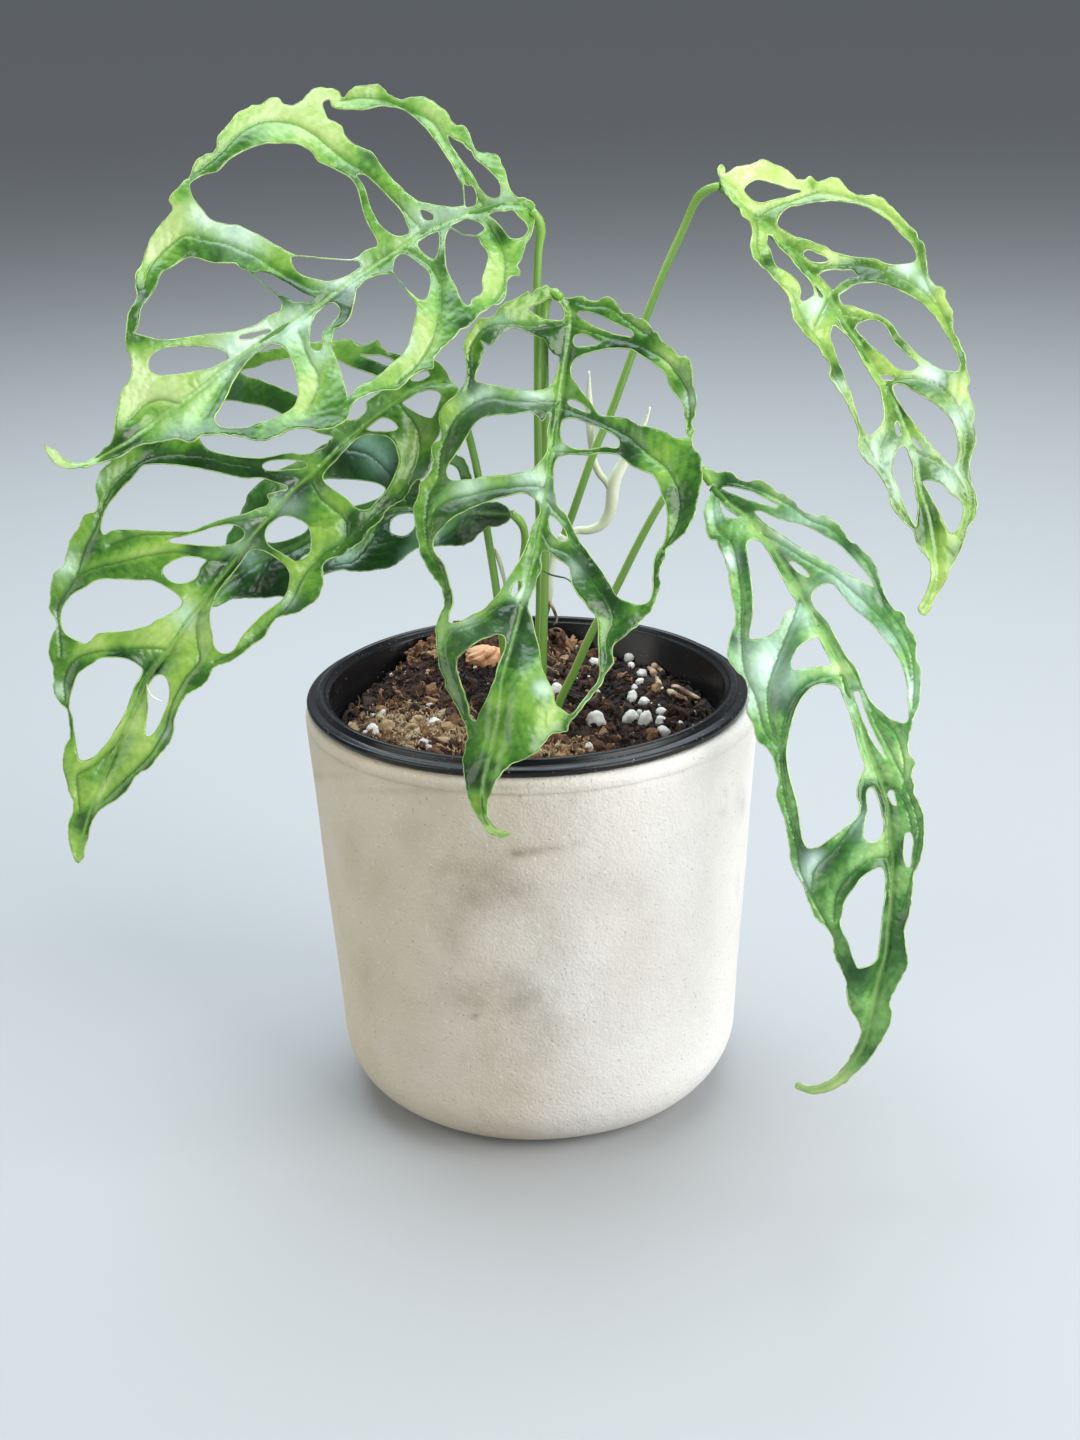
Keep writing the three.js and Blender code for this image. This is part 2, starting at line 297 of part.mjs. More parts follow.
const UPPER_RIGHT_LEAF = {
  midrib: [722,187, 731,194, 738,203, 748,212, 757,218, 764,224, 770,230, 777,238, 785,247, 794,256,
    801,264, 807,272, 814,280, 821,288, 828,296, 832,304, 838,313, 844,322, 851,333, 858,342, 864,353,
    870,364, 877,375, 884,386, 890,396, 895,406, 900,417, 904,428, 909,440, 914,452, 917,464, 919,477,
    921,490, 925,503, 929,518, 932,532, 934,545, 935,560, 934,575, 932,590, 927,602, 920,613],
  first: [719,179, 717,172, 720,168, 723,171, 724,177, 731,174, 735,171, 741,170, 747,169, 753,166,
    758,163, 764,163, 770,166, 777,168, 783,171, 789,176, 793,180, 799,182, 804,182, 807,180, 810,178,
    815,182, 822,182, 827,180, 831,179, 836,180, 840,183, 845,188, 851,193, 857,196, 864,197, 872,196,
    878,198, 883,200, 887,205, 893,210, 899,216, 905,223, 910,228, 914,232, 917,238, 921,244, 924,250,
    925,258, 926,266, 928,275, 931,281, 935,286, 940,288, 944,292, 945,299, 948,305, 951,310, 952,320,
    953,330, 956,337, 960,344, 963,352, 964,362, 964,370, 966,376, 967,384, 966,391, 968,399, 972,405,
    974,411, 973,418, 972,425, 974,435, 973,445, 970,455, 968,463, 968,472, 970,480, 973,489, 976,498,
    976,508, 974,516, 971,522, 967,528, 965,535, 963,542, 960,549, 956,555, 952,562, 948,569, 945,576,
    941,585, 937,593, 933,601, 929,610, 925,615],
  second: [727,196, 735,205, 740,210, 740,215, 744,219, 748,223, 750,229, 751,236, 750,244, 750,252,
    752,259, 755,262, 760,266, 766,270, 771,274, 776,280, 781,287, 786,293, 789,299, 790,306, 791,313,
    792,320, 795,325, 799,330, 804,336, 808,340, 813,343, 818,348, 823,355, 828,363, 830,370, 829,377,
    832,383, 837,388, 842,393, 846,400, 850,408, 854,417, 857,425, 859,432, 857,440, 857,448, 860,456,
    866,463, 873,467, 878,474, 884,482, 889,491, 891,500, 893,507, 897,513, 902,520, 908,526, 912,533,
    914,541, 917,548, 920,552, 925,557, 929,563, 930,570, 929,580, 927,590, 923,599, 919,607],
  firstWindows: [
    [742,193, 744,189, 748,186, 755,183, 762,183, 770,185, 780,188, 790,190, 800,191, 801,193, 792,196,
      783,199, 775,201, 767,203, 760,204.5, 752,202, 746,198],
    [776,227, 777,220, 781,214, 786,210, 792,207, 800,206, 810,204, 820,203, 832,202, 845,203, 856,204,
      864,207, 872,211, 881,217, 889,222, 896,230, 903,238, 911,244, 915,251, 917,258, 915,262, 908,265,
      900,266, 890,266, 882,264, 876,261, 868,259, 858,258, 848,256.5, 838,255.5, 830,253.5, 822,249.5,
      812,245.5, 803,242, 794,239, 785,234],
    [803,253, 806,251, 811,252, 817,255, 824,258, 828,261, 825,263, 818,263.5, 811,261.5, 806,258],
    [820,279, 818,276, 821,273, 826,271, 834,269.5, 843,270, 852,270, 856,274, 858,278, 850,281,
      842,286, 834,291, 829,288, 824,283],
    [838,297, 845,291.5, 854,286, 863,284, 872,284, 882,286, 893,290, 904,295, 914,301, 924,309,
      934,319, 943,329, 949,338, 955,348, 958,358, 959,367, 956,373, 949,373, 940,370, 931,366,
      922,360.5, 913,353, 903,345, 896,338, 891,330, 885,323, 878,318, 870,315, 863,312, 856,309,
      849,307, 842,306],
    [855,329, 857,325, 863,322, 870,321, 877,322.5, 883,327, 887,333, 892,343, 899,350, 907,357,
      914,362, 918,367, 914,371, 907,373, 900,372, 893,368, 886,361, 879,354, 871,347, 864,340, 859,335],
    [880,376, 885,375, 890,376, 894,379, 893,381, 887,381, 882,380],
    [892,387, 896,385, 902,386, 910,391, 920,397, 931,403, 941,411, 949,420, 954,430, 957,441, 958,452,
      956,461, 953,468, 948,465, 941,458, 932,448, 923,437, 915,427, 907,416, 899,404, 894,395],
    [912,437, 915,439, 919,444, 922,449, 921,451, 917,448, 913,443],
    [923,481, 927,480, 933,481, 941,484, 946,490, 952,496, 959,501, 962,508, 961,518, 958,527, 955,532,
      950,534, 946,530, 942,522, 937,512, 932,502, 927,491]],
  secondWindows: [
    [766,238, 767,235, 771,236, 775,241, 780,246.5, 786,252, 792,259, 798,266, 804,274, 808,282,
      811,290, 812,297, 808,301, 803,303, 799,299, 799,291, 796,283, 791,277, 784,272, 777,267, 772,260,
      769,251, 766,244],
    [813,285, 816,288, 820,293, 823,298, 820,300, 816,299, 814,292],
    [835,319, 838,321, 841,326, 844,331, 847,335, 843,333, 839,329, 836,324],
    [831,327, 834,327, 841,333, 848,339, 854,346, 860,356, 866,367, 872,377, 878,388, 882,398, 883,408,
      883,420, 879,428, 873,434, 868,437, 864,434, 861,427, 857,415, 853,403, 849,392, 844,382, 840,370,
      836,360, 832,348, 829,337],
    [893,425, 896,422, 899,428, 900,435, 897,438, 894,435],
    [903,446, 899,447, 895,451, 892,458, 891,466, 892,476, 896,488, 901,500, 906,512, 911,522, 914,528,
      916,518, 917,505, 916,490, 914,478, 913,468, 910,458, 907,450]],
  depth: [722,187,16, 757,218,10, 793,254,4, 827,294,-2, 862,350,-12, 889,395,-20, 911,443,-28,
    918,475,-32, 929,518,-38, 935,555,-42, 919,613,-46, 758,163,30, 809,178,32, 851,193,30, 887,205,28,
    924,250,18, 945,299,8, 963,352,-4, 974,410,-14, 970,455,-22, 976,508,-30, 963,542,-37, 941,585,-43,
    740,210,8, 751,252,0, 790,306,-12, 808,340,-18, 829,377,-24, 857,448,-34, 889,491,-38, 914,541,-42,
    929,580,-45],
};
const LOWER_RIGHT_LEAF = {
  midrib: [712,487, 720,495, 730,505, 740,512, 750,520, 758,530, 766,540, 774,550, 780,560, 787,571,
    793,582, 799,593, 805,604, 811,614, 817,624, 823,635, 829,646, 835,657, 840,668, 844,680, 848,692,
    853,705, 858,718, 862,731, 866,744, 870,756, 875,768, 880,780, 884,792, 887,805, 888,820, 889,835,
    890,850, 891,865, 892,880, 891,895, 890,910, 888,925, 887,940, 885,955, 881,970, 877,985, 874,1000,
    871,1015, 868,1030, 862,1047, 853,1062, 843,1074, 830,1083, 816,1089, 805,1089, 797,1082],
  first: [706,482, 702,474, 702,467, 706,467, 711,471, 718,473, 725,472, 730,472, 734,475, 738,479,
    744,481, 750,482, 757,480, 763,481, 768,485, 773,489, 778,493, 784,495, 790,499, 795,504, 799,509,
    804,513, 811,516, 818,518, 824,516, 830,520, 837,525, 842,530, 845,536, 850,542, 856,546, 860,551,
    866,555, 871,561, 875,567, 877,573, 879,580, 881,587, 884,594, 888,601, 892,607, 897,611, 901,612,
    905,617, 906,624, 909,630, 913,636, 916,643, 916,650, 915,657, 917,664, 920,670, 920,680, 920,692,
    919,703, 916,713, 912,721, 911,728, 909,735, 908,745, 909,755, 912,759, 915,765, 912,771, 911,778,
    914,785, 914,793, 917,799, 920,806, 923,815, 924,825, 924,835, 923,847, 921,857, 918,865, 914,872,
    913,880, 912,892, 911,905, 909,915, 906,923, 905,930, 906,940, 907,950, 908,962, 906,968, 903,974,
    900,980, 896,987, 892,995, 890,1003, 892,1010, 892,1017, 889,1026, 885,1034, 880,1043, 875,1051,
    869,1059, 861,1067, 852,1076, 843,1083, 832,1089, 820,1093, 810,1093, 801,1090, 796,1086],
  second: [711,494, 709,500, 706,506, 704,513, 705,520, 706,527, 708,535, 711,540, 716,541, 718,547,
    722,553, 725,560, 728,570, 729,580, 731,590, 733,600, 736,610, 736,620, 734,630, 731,638, 729,648,
    728,658, 732,665, 738,672, 744,677, 748,683, 749,692, 749,702, 748,712, 751,720, 755,728, 757,738,
    761,744, 767,748, 772,753, 775,761, 777,770, 780,780, 779,788, 777,795, 779,803, 783,812, 786,822,
    788,835, 790,848, 791,860, 795,870, 799,878, 805,888, 808,897, 812,908, 818,918, 826,926, 831,933,
    834,942, 834,952, 838,962, 843,972, 847,982, 847,993, 849,1003, 853,1011, 858,1019, 861,1027,
    860,1036, 856,1046, 851,1056, 845,1066, 837,1074, 827,1081, 815,1085, 807,1085, 801,1082],
  firstWindows: [
    [721,488, 724,486, 735,487, 744,489.5, 754,492, 763,497, 771,501, 779,505, 776,508, 768,506,
      757,503, 747,500, 737,496, 727,492],
    [755,512, 762,511, 770,515, 780,519, 790,522, 800,524, 808,527, 817,532, 826,537, 835,542, 843,549,
      851,558, 859,566, 867,575, 872,582, 874,588, 868,586, 860,582, 850,577, 840,572, 830,566, 820,560,
      810,554, 800,548, 790,541, 780,534, 770,527, 762,521],
    [789,562, 792,561, 797,563, 803,568, 808,573, 810,578, 806,577, 800,574, 794,568],
    [813,593, 816,589, 822,586, 830,584, 835,586, 840,592, 846,600, 853,608, 860,614, 868,621, 877,631,
      885,641, 893,651, 899,661, 904,673, 907,685, 908,700, 909,713, 907,722, 903,724, 896,722, 888,718,
      880,711, 872,703, 866,694, 861,683, 858,673, 854,666, 849,660, 843,651, 838,641, 832,631, 827,622,
      820,614, 815,608, 812,600],
    [852,692, 856,690, 860,692, 863,702, 867,714, 872,727, 878,740, 884,752, 888,760, 884,757, 878,750,
      871,739, 865,726, 859,711, 855,700],
    [887,793, 890,790, 894,791, 896,798, 898,806, 894,805, 889,799],
    [906,833, 911,832, 914,840, 913,850, 912,860, 910,868, 907,868, 904,858, 904,848, 905,840]],
  secondWindows: [
    [720,501, 724,506, 730,512, 737,517, 741,519, 736,520, 728,520, 724,518, 721,512],
    [746,545, 748,542, 753,540, 760,542, 765,548, 771,558, 777,569, 784,582, 790,593, 796,602, 797,606,
      793,610, 787,614, 783,621, 780,629, 774,634, 767,638, 757,640, 751,640, 749,636, 751,627, 753,616,
      753,604, 752,590, 750,575, 748,560],
    [818,637, 810,640, 801,645, 796,651, 792,659, 791,668, 794,672, 800,671, 810,669, 820,668, 828,668,
      831,665, 827,656, 822,646],
    [840,688, 836,686, 830,685, 820,685, 811,689, 805,695, 800,702, 796,710, 792,722, 789,735, 787,750,
      788,765, 791,780, 795,795, 798,808, 800,825, 803,840, 808,848, 815,848, 822,845, 832,838, 842,830,
      852,822, 859,815, 860,808, 859,802, 857,797, 857,788, 859,780, 863,772, 864,765, 860,754, 856,740,
      852,725, 848,710, 844,698],
    [867,790, 870,788, 874,790, 878,800, 881,812, 883,822, 883,832, 880,838, 875,842, 868,842, 863,838,
      863,828, 865,818, 867,808, 866,798],
    [884,870, 880,867, 873,869, 866,873, 860,878, 855,885, 849,893, 844,902, 842,912, 840,922, 843,932,
      848,942, 851,952, 855,962, 858,967, 864,966, 871,963, 876,957, 878,945, 880,930, 882,912, 884,895,
      885,880]],
  depth: [712,485,-15, 702,468,-13, 763,481,-20, 824,516,-27, 877,573,-38, 906,624,-49, 920,680,-60,
    909,735,-71, 915,765,-77, 924,825,-87, 912,892,-94, 907,962,-98, 892,1010,-99, 869,1059,-97,
    797,1083,-86, 748,515,-24, 785,567,-36, 816,621,-48, 846,690,-62, 867,748,-73, 885,800,-82,
    890,880,-92, 884,960,-97, 870,1020,-98, 705,515,-24, 728,570,-33, 736,620,-42, 728,658,-48,
    749,700,-56, 757,738,-63, 780,780,-72, 788,835,-81, 808,897,-88, 831,933,-92, 847,990,-96,
    860,1030,-97],
};

// Stalks from the soil to the blade's base, as u, v, Y triples. The first point is where the
// stalk enters the soil.
const STALKS = {
  upperLeft: [537,712,2, 539,640,2, 540,560,3, 538,450,6, 537.5,340,9.5, 537,285,11, 538.5,250,11,
    540.5,232,11, 538,219,10, 532,211,9.5],
  lowerLeft: [509,706,6, 505,660,5, 497,595,4, 487,530,4, 478,475,3, 468,432,2, 459,402,0, 453,389,-2,
    447,381,-4],
  back: [524,705,2, 522,640,1, 521.5,600,0, 523,560,-2, 525,543,-4, 523.5,528,-6, 518,519,-8,
    512,514,-9],
  front: [541,714,-3.5, 543,650,-3.5, 545,560,-2.5, 545.5,500,-1.5, 545,400,0, 544.5,330,3,
    545.5,306,4.5, 549,295,4, 555,293,2.5, 561,297,1],
  upperRight: [541,706,6.5, 541,640,6.5, 543.5,620,6.5, 548,598,6.5, 549,575,6.5, 555,552,7, 564,535,8,
    572,515,9, 594,452,12, 610,415,15, 633,352,19, 645,320,21, 665,270,23, 685,225,24, 697,199,22,
    709,189,19, 720,186,17],
  lowerRight: [557,717,-4, 575,670,-7, 593,630,-9, 614,592,-11, 640,540,-13, 663,499,-14, 677,482,-14,
    690,472,-13.5, 702,472,-14, 711,484,-15],
};
// Pale papery sheath round the upper right leaf's stalk
const SHEATH = [547.5,603,6.5, 548.5,592,6.5, 549,575,6.5, 552,560,6.8, 556,550,7.1, 564,535,8];
const SHEATH_RADII = [1.45, 1.7, 1.65, 1.7, 1.75, 1.5];
// Young shoots, with radii at even places along each
const SHOOTS = [
  {
    path: [567,541,9.9, 575,531,12.8, 589,530,14.5, 601,525,15.5, 609,514,16, 612,500,16.5, 613,488,17,
      617,474,17.5, 625,460,18, 634,441,18, 645,422,18, 650,407,18],
    radii: [1.25, 1.35, 1.8, 2.1, 2.05, 1.5, 1, 0.5],
  },
  {
    path: [611,492,16.8, 606,482,17, 599,473,17, 594,461,17, 592,446,17, 590.5,430,17, 589.5,410,17,
      589,390,17, 589,371,17],
    radii: [0.9, 1.2, 1.15, 1.35, 1.3, 0.9, 0.5],
  },
];

// Bark chip on the soil, and the larger white perlite grains that show, as u, v and radius
const BARK = { x: -16.8, y: 37.2, z: 139, length: 11, depth: 9, height: 7, turn: 0.1 };
const PERLITE = [372,731,2, 382,714,1.4, 424,744,1.8, 434,722,1.5, 577,648,1.1, 595,663,1.8,
  629,658,1.7, 641,675,1.7, 640,683,1.5, 635,690,1.4, 632,697,1.8, 644,702,1.8, 631,718,2.5,
  645,721,2.4, 661,712,1.4, 661,723,1.9, 664,733,1.9, 596,722,3, 556,690,2, 589,748,1.4, 600,744,1.2];
const RANDOM_SEED = 41;

const degrees = Math.PI / 180;

function pairs(flat) {
  const list = [];
  for (let i = 0; i < flat.length; i += 2) {
    list.push([flat[i], flat[i + 1]]);
  }
  return list;
}

function triples(flat) {
  const list = [];
  for (let i = 0; i < flat.length; i += 3) {
    list.push([flat[i], flat[i + 1], flat[i + 2]]);
  }
  return list;
}

// Direction of the sight line through a drawing point
function sightLine(u, v) {
  const cosRoll = Math.cos(VIEW.roll * degrees);
  const sinRoll = Math.sin(VIEW.roll * degrees);
  const du = u - DRAWING_CENTRE.u;
  const dv = v - DRAWING_CENTRE.v;
  const right = (cosRoll * du + sinRoll * dv) / VIEW.focal;
  const up = -(-sinRoll * du + cosRoll * dv) / VIEW.focal;
  const cosPitch = Math.cos(VIEW.pitchDown * degrees);
  const sinPitch = Math.sin(VIEW.pitchDown * degrees);
  const ahead = cosPitch + up * sinPitch;
  const rise = -sinPitch + up * cosPitch;
  const cosYaw = Math.cos(VIEW.yaw * degrees);
  const sinYaw = Math.sin(VIEW.yaw * degrees);
  return new THREE.Vector3(cosYaw * right + sinYaw * ahead, -sinYaw * right + cosYaw * ahead, rise);
}

function pointAtDepth(u, v, depth) {
  const line = sightLine(u, v);
  const reach = (depth - VIEW.y) / line.y;
  return new THREE.Vector3(VIEW.x, VIEW.y, VIEW.z).addScaledVector(line, reach);
}

function pointAtHeight(u, v, height) {
  const line = sightLine(u, v);
  const reach = (height - VIEW.z) / line.z;
  return new THREE.Vector3(VIEW.x, VIEW.y, VIEW.z).addScaledVector(line, reach);
}

// Solve a square set of equations by elimination with row exchange
function solve(rows) {
  const size = rows.length;
  for (let i = 0; i < size; i += 1) {
    let best = i;
    for (let j = i + 1; j < size; j += 1) {
      if (Math.abs(rows[j][i]) > Math.abs(rows[best][i])) {
        best = j;
      }
    }
    [rows[i], rows[best]] = [rows[best], rows[i]];
    for (let j = i + 1; j < size; j += 1) {
      const factor = rows[j][i] / rows[i][i];
      for (let k = i; k <= size; k += 1) {
        rows[j][k] -= factor * rows[i][k];
      }
    }
  }
  const answer = new Array(size).fill(0);
  for (let i = size - 1; i >= 0; i -= 1) {
    let sum = rows[i][size];
    for (let k = i + 1; k < size; k += 1) {
      sum -= rows[i][k] * answer[k];
    }
    answer[i] = sum / rows[i][i];
  }
  return answer;
}

// Thin-plate surface through the depth points, as a function of u and v
function depthSurface(depthPoints) {
  const scale = 100;
  const softness = 0.02;
  const kernel = (a, b) => {
    const squared = ((a[0] - b[0]) ** 2 + (a[1] - b[1]) ** 2) / scale ** 2;
    return squared === 0 ? 0 : squared * Math.log(squared);
  };
  const count = depthPoints.length;
  const rows = depthPoints.map((p, i) => {
    const row = depthPoints.map((q) => kernel(p, q));
    row[i] += softness;
    return [...row, 1, p[0] / scale, p[1] / scale, p[2]];
  });
  rows.push([...depthPoints.map(() => 1), 0, 0, 0, 0]);
  rows.push([...depthPoints.map((p) => p[0] / scale), 0, 0, 0, 0]);
  rows.push([...depthPoints.map((p) => p[1] / scale), 0, 0, 0, 0]);
  const weights = solve(rows);
  return (u, v) => {
    let depth = weights[count] + weights[count + 1] * u / scale + weights[count + 2] * v / scale;
    for (let i = 0; i < count; i += 1) {
      depth += weights[i] * kernel([u, v], depthPoints[i]);
    }
    return depth;
  };
}

function distanceToSegment(p, a, b) {
  const du = b[0] - a[0];
  const dv = b[1] - a[1];
  const length = du * du + dv * dv;
  let t = length === 0 ? 0 : ((p[0] - a[0]) * du + (p[1] - a[1]) * dv) / length;
  t = Math.min(1, Math.max(0, t));
  return { distance: Math.hypot(p[0] - a[0] - t * du, p[1] - a[1] - t * dv), t };
}

// Drop the points that a line's shape doesn't need
function simplify(points, tolerance) {
  const keep = new Set([0, points.length - 1]);
  const halve = (from, to) => {
    let far = -1;
    let most = tolerance;
    for (let i = from + 1; i < to; i += 1) {
      const { distance } = distanceToSegment(points[i], points[from], points[to]);
      if (distance > most) {
        most = distance;
        far = i;
      }
    }
    if (far > 0) {
      keep.add(far);
      halve(from, far);
      halve(far, to);
    }
  };
  halve(0, points.length - 1);
  let line = points.filter((point, i) => keep.has(i));
  line = line.filter((point, i) => {
    if (i === 0 || i === line.length - 1) {
      return true;
    }
    return distanceToSegment(point, line[i - 1], line[i + 1]).distance > 0.3;
  });
  return line;
}

function simplifyLoop(points, tolerance) {
  return simplify([...points, points[0]], tolerance).slice(0, -1);
}

// The blade's middle surface: the depth surface, sunk in a valley along the midrib
function bladeSurface(leaf) {
  const midrib = pairs(leaf.midrib);
  const smooth = depthSurface(triples(leaf.depth));
  const last = midrib.length - 1;
  return (u, v) => {
    let nearest = Infinity;
    let along = 0;
    for (let i = 0; i < last; i += 1) {
      const { distance, t } = distanceToSegment([u, v], midrib[i], midrib[i + 1]);
      if (distance < nearest) {
        nearest = distance;
        along = (i + t) / last;
      }
    }
    const fade = Math.min(1, along / 0.12, (1 - along) / 0.12);
    const depth = smooth(u, v) + VALLEY_DEPTH * fade * Math.exp(-nearest / VALLEY_REACH);
    return pointAtDepth(u, v, depth);
  };
}

// Unit normal of the middle surface, from four points round the place
function surfaceNormal(surface, u, v) {
  const step = 4;
  const across = surface(u + step, v).sub(surface(u - step, v));
  const down = surface(u, v + step).sub(surface(u, v - step));
  return down.cross(across).normalize();
}

// Blade of even thickness: two outlines that share the midrib, each with its windows, cut
// into triangles alike on both faces, with walls along every free edge
function bladeGeometry(leaf) {
  const surface = bladeSurface(leaf);
  const midrib = simplify(pairs(leaf.midrib), OUTLINE_TOLERANCE * 0.7);
  const corners = [];
  const numbers = new Map();
  const numberOf = ([u, v]) => {
    const key = `${u},${v}`;
    if (!numbers.has(key)) {
      numbers.set(key, corners.length);
      corners.push([u, v]);
    }
    return numbers.get(key);
  };
  const triangles = [];
  for (const [side, windows] of [['first', 'firstWindows'], ['second', 'secondWindows']]) {
    const closing = [midrib[0], ...pairs(leaf[side]), midrib[midrib.length - 1]];
    const rim = simplify(closing, OUTLINE_TOLERANCE);
    const outline = [...rim, ...midrib.slice(1, -1).reverse()];
    const holes = leaf[windows].map((flat) => simplifyLoop(pairs(flat), OUTLINE_TOLERANCE));
    const flatten = (line) => line.map(([u, v]) => new THREE.Vector2(u, v));
    const faces = THREE.ShapeUtils.triangulateShape(flatten(outline), holes.map(flatten));
    const all = [...outline, ...holes.flat()];
    for (const [a, b, c] of faces) {
      const [p, q, r] = [all[a], all[b], all[c]];
      const area = (q[0] - p[0]) * (r[1] - p[1]) - (q[1] - p[1]) * (r[0] - p[0]);
      const face = [numberOf(p), numberOf(q), numberOf(r)];
      triangles.push(area > 0 ? face : [face[0], face[2], face[1]]);
    }
  }
  const count = corners.length;
  const positions = [];
  for (const sideways of [-0.5, 0.5]) {
    for (const [u, v] of corners) {
      const place = surface(u, v);
      place.addScaledVector(surfaceNormal(surface, u, v), sideways * BLADE_THICKNESS);
      positions.push(place.x, place.y, place.z);
    }
  }
  const edges = new Set(triangles.flatMap(([a, b, c]) => [`${a},${b}`, `${b},${c}`, `${c},${a}`]));
  const indices = [];
  for (const [a, b, c] of triangles) {
    indices.push(a, b, c);
    indices.push(c + count, b + count, a + count);
  }
  for (const edge of edges) {
    const [a, b] = edge.split(',').map(Number);
    if (!edges.has(`${b},${a}`)) {
      indices.push(b, a, a + count);
      indices.push(b, a + count, b + count);
    }
  }
  return indexedGeometry(positions, indices);
}

function indexedGeometry(positions, indices) {
  const geometry = new THREE.BufferGeometry();
  geometry.setAttribute('position', new THREE.Float32BufferAttribute(positions, 3));
  geometry.setIndex(indices);
  return geometry;
}

// Closed tapering rod through the points, with a radius at each
function rodGeometry(points, radii, sides) {
  const positions = [];
  const indices = [];
  const last = points.length - 1;
  let across = new THREE.Vector3(1, 0.1, 0.2);
  points.forEach((point, i) => {
    const before = points[Math.max(0, i - 1)];
    const after = points[Math.min(last, i + 1)];
    const along = after.clone().sub(before).normalize();
    across = across.clone().addScaledVector(along, -across.dot(along)).normalize();
    const other = along.clone().cross(across);
    for (let k = 0; k < sides; k += 1) {
      const angle = 2 * Math.PI * k / sides;
      const place = point.clone();
      place.addScaledVector(across, radii[i] * Math.cos(angle));
      place.addScaledVector(other, radii[i] * Math.sin(angle));
      positions.push(place.x, place.y, place.z);
    }
  });
  const startCap = positions.length / 3;
  positions.push(points[0].x, points[0].y, points[0].z);
  positions.push(points[last].x, points[last].y, points[last].z);
  for (let i = 0; i < last; i += 1) {
    for (let k = 0; k < sides; k += 1) {
      const a = i * sides + k;
      const b = i * sides + (k + 1) % sides;
      indices.push(a, b, b + sides);
      indices.push(a, b + sides, a + sides);
    }
  }
  for (let k = 0; k < sides; k += 1) {
    const next = (k + 1) % sides;
    indices.push(startCap, next, k);
    indices.push(startCap + 1, last * sides + k, last * sides + next);
  }
  return indexedGeometry(positions, indices);
}

// Turn a closed geometry into a solid and back
function toSolid(geometry) {
  const bare = geometry.clone();
  bare.deleteAttribute('normal');
  bare.deleteAttribute('uv');
  const merged = mergeVertices(bare, 1e-5);
  const mesh = new wasm.Mesh({
    numProp: 3,
    vertProperties: new Float32Array(merged.attributes.position.array),
    triVerts: new Uint32Array(merged.index.array),
  });
  return new wasm.Manifold(mesh);
}

// The largest body of a solid, without loose scraps or sealed hollows
function mainBody(solid) {
  const bodies = solid.decompose();
  return bodies.reduce((best, body) => (body.volume() > best.volume() ? body : best));
}

function toGeometry(solid) {
  const mesh = solid.getMesh();
  return indexedGeometry(Array.from(mesh.vertProperties), Array.from(mesh.triVerts));
}

function addNode(group, name, solid, colour, roughness) {
  const material = new THREE.MeshStandardMaterial({ color: colour, roughness, metalness: 0 });
  const clean = mainBody(solid).asOriginal().simplify(SMALLEST_EDGE);
  const mesh = new THREE.Mesh(toGeometry(clean), material);
  mesh.name = name;
  group.add(mesh);
}

function taper(start, end, count) {
  return Array.from({ length: count }, (unused, i) => start + (end - start) * i / (count - 1));
}

// A list's values spread evenly over a longer or shorter count
function spread(values, count) {
  return Array.from({ length: count }, (unused, i) => {
    const place = i * (values.length - 1) / (count - 1);
    const before = Math.min(values.length - 2, Math.floor(place));
    return values[before] + (values[before + 1] - values[before]) * (place - before);
  });
}

// Soil height: level, with a heap at the back left and small waves
function soilHeight(x, y) {
  let height = SOIL_LEVEL;
  for (const heap of SOIL_HEAPS) {
    const across = (x - heap.x) / heap.width;
    const back = (y - heap.y) / heap.depth;
    height += heap.height * Math.exp(-(across ** 2) - back ** 2);
  }
  const waves = 0.7 * Math.sin(x * 0.31 + 1.2) * Math.sin(y * 0.27) + 0.5 * Math.sin(x * 0.13 - y * 0.19);
  return height + waves;
}

function nurseryInnerRadius(height) {
  const floor = NURSERY_FLOOR_UNDER + NURSERY_WALL;
  const share = (height - floor) / (NURSERY_BEAD_TOP - floor);
  return NURSERY_INNER_FLOOR + (NURSERY_INNER_TOP - NURSERY_INNER_FLOOR) * share;
}

// Place just over the soil that shows at a drawing point
function pointOverSoil(u, v, lift) {
  let height = SOIL_LEVEL;
  for (let i = 0; i < 12; i += 1) {
    const place = pointAtHeight(u, v, height);
    height = (height + soilHeight(place.x, place.y) + lift) / 2;
  }
  return pointAtHeight(u, v, height);
}

// A stalk's path starts straight down in the soil at its entry point
function stalkPath(flat) {
  const path = triples(flat).map(([u, v, depth]) => pointAtDepth(u, v, depth));
  const entry = path[0];
  const mouth = soilHeight(entry.x, entry.y);
  const above = path.slice(1).filter((point) => point.z > mouth + 5);
  return [new THREE.Vector3(entry.x, entry.y, mouth - STALK_DEPTH),
    new THREE.Vector3(entry.x, entry.y, mouth + 2.5), ...above];
}

function stalkSolid(flat) {
  const path = stalkPath(flat);
  return toSolid(rodGeometry(path, taper(STALK_RADIUS, STALK_RADIUS * 0.9, path.length), 7));
}

// A whole leaf: blade, midrib rib and stalk in one solid
function leafSolid(leaf, stalk) {
  const surface = bladeSurface(leaf);
  const ribLine = simplify(pairs(leaf.midrib), 1.6);
  const ribPath = ribLine.map(([u, v]) => surface(u, v));
  const stop = ribPath.length - 1;
  const ribRadii = taper(RIB_START_RADIUS, RIB_END_RADIUS, stop);
  const rib = toSolid(rodGeometry(ribPath.slice(0, stop), ribRadii, 5));
  return toSolid(bladeGeometry(leaf)).add(rib).add(stalkSolid(stalk));
}

// Solid turned about the Z axis from a profile of radii and heights
function turnedSolid(profile, sides) {
  const points = profile.map(([radius, height]) => new THREE.Vector2(radius, height));
  return toSolid(new THREE.LatheGeometry(points, sides).rotateX(Math.PI / 2));
}

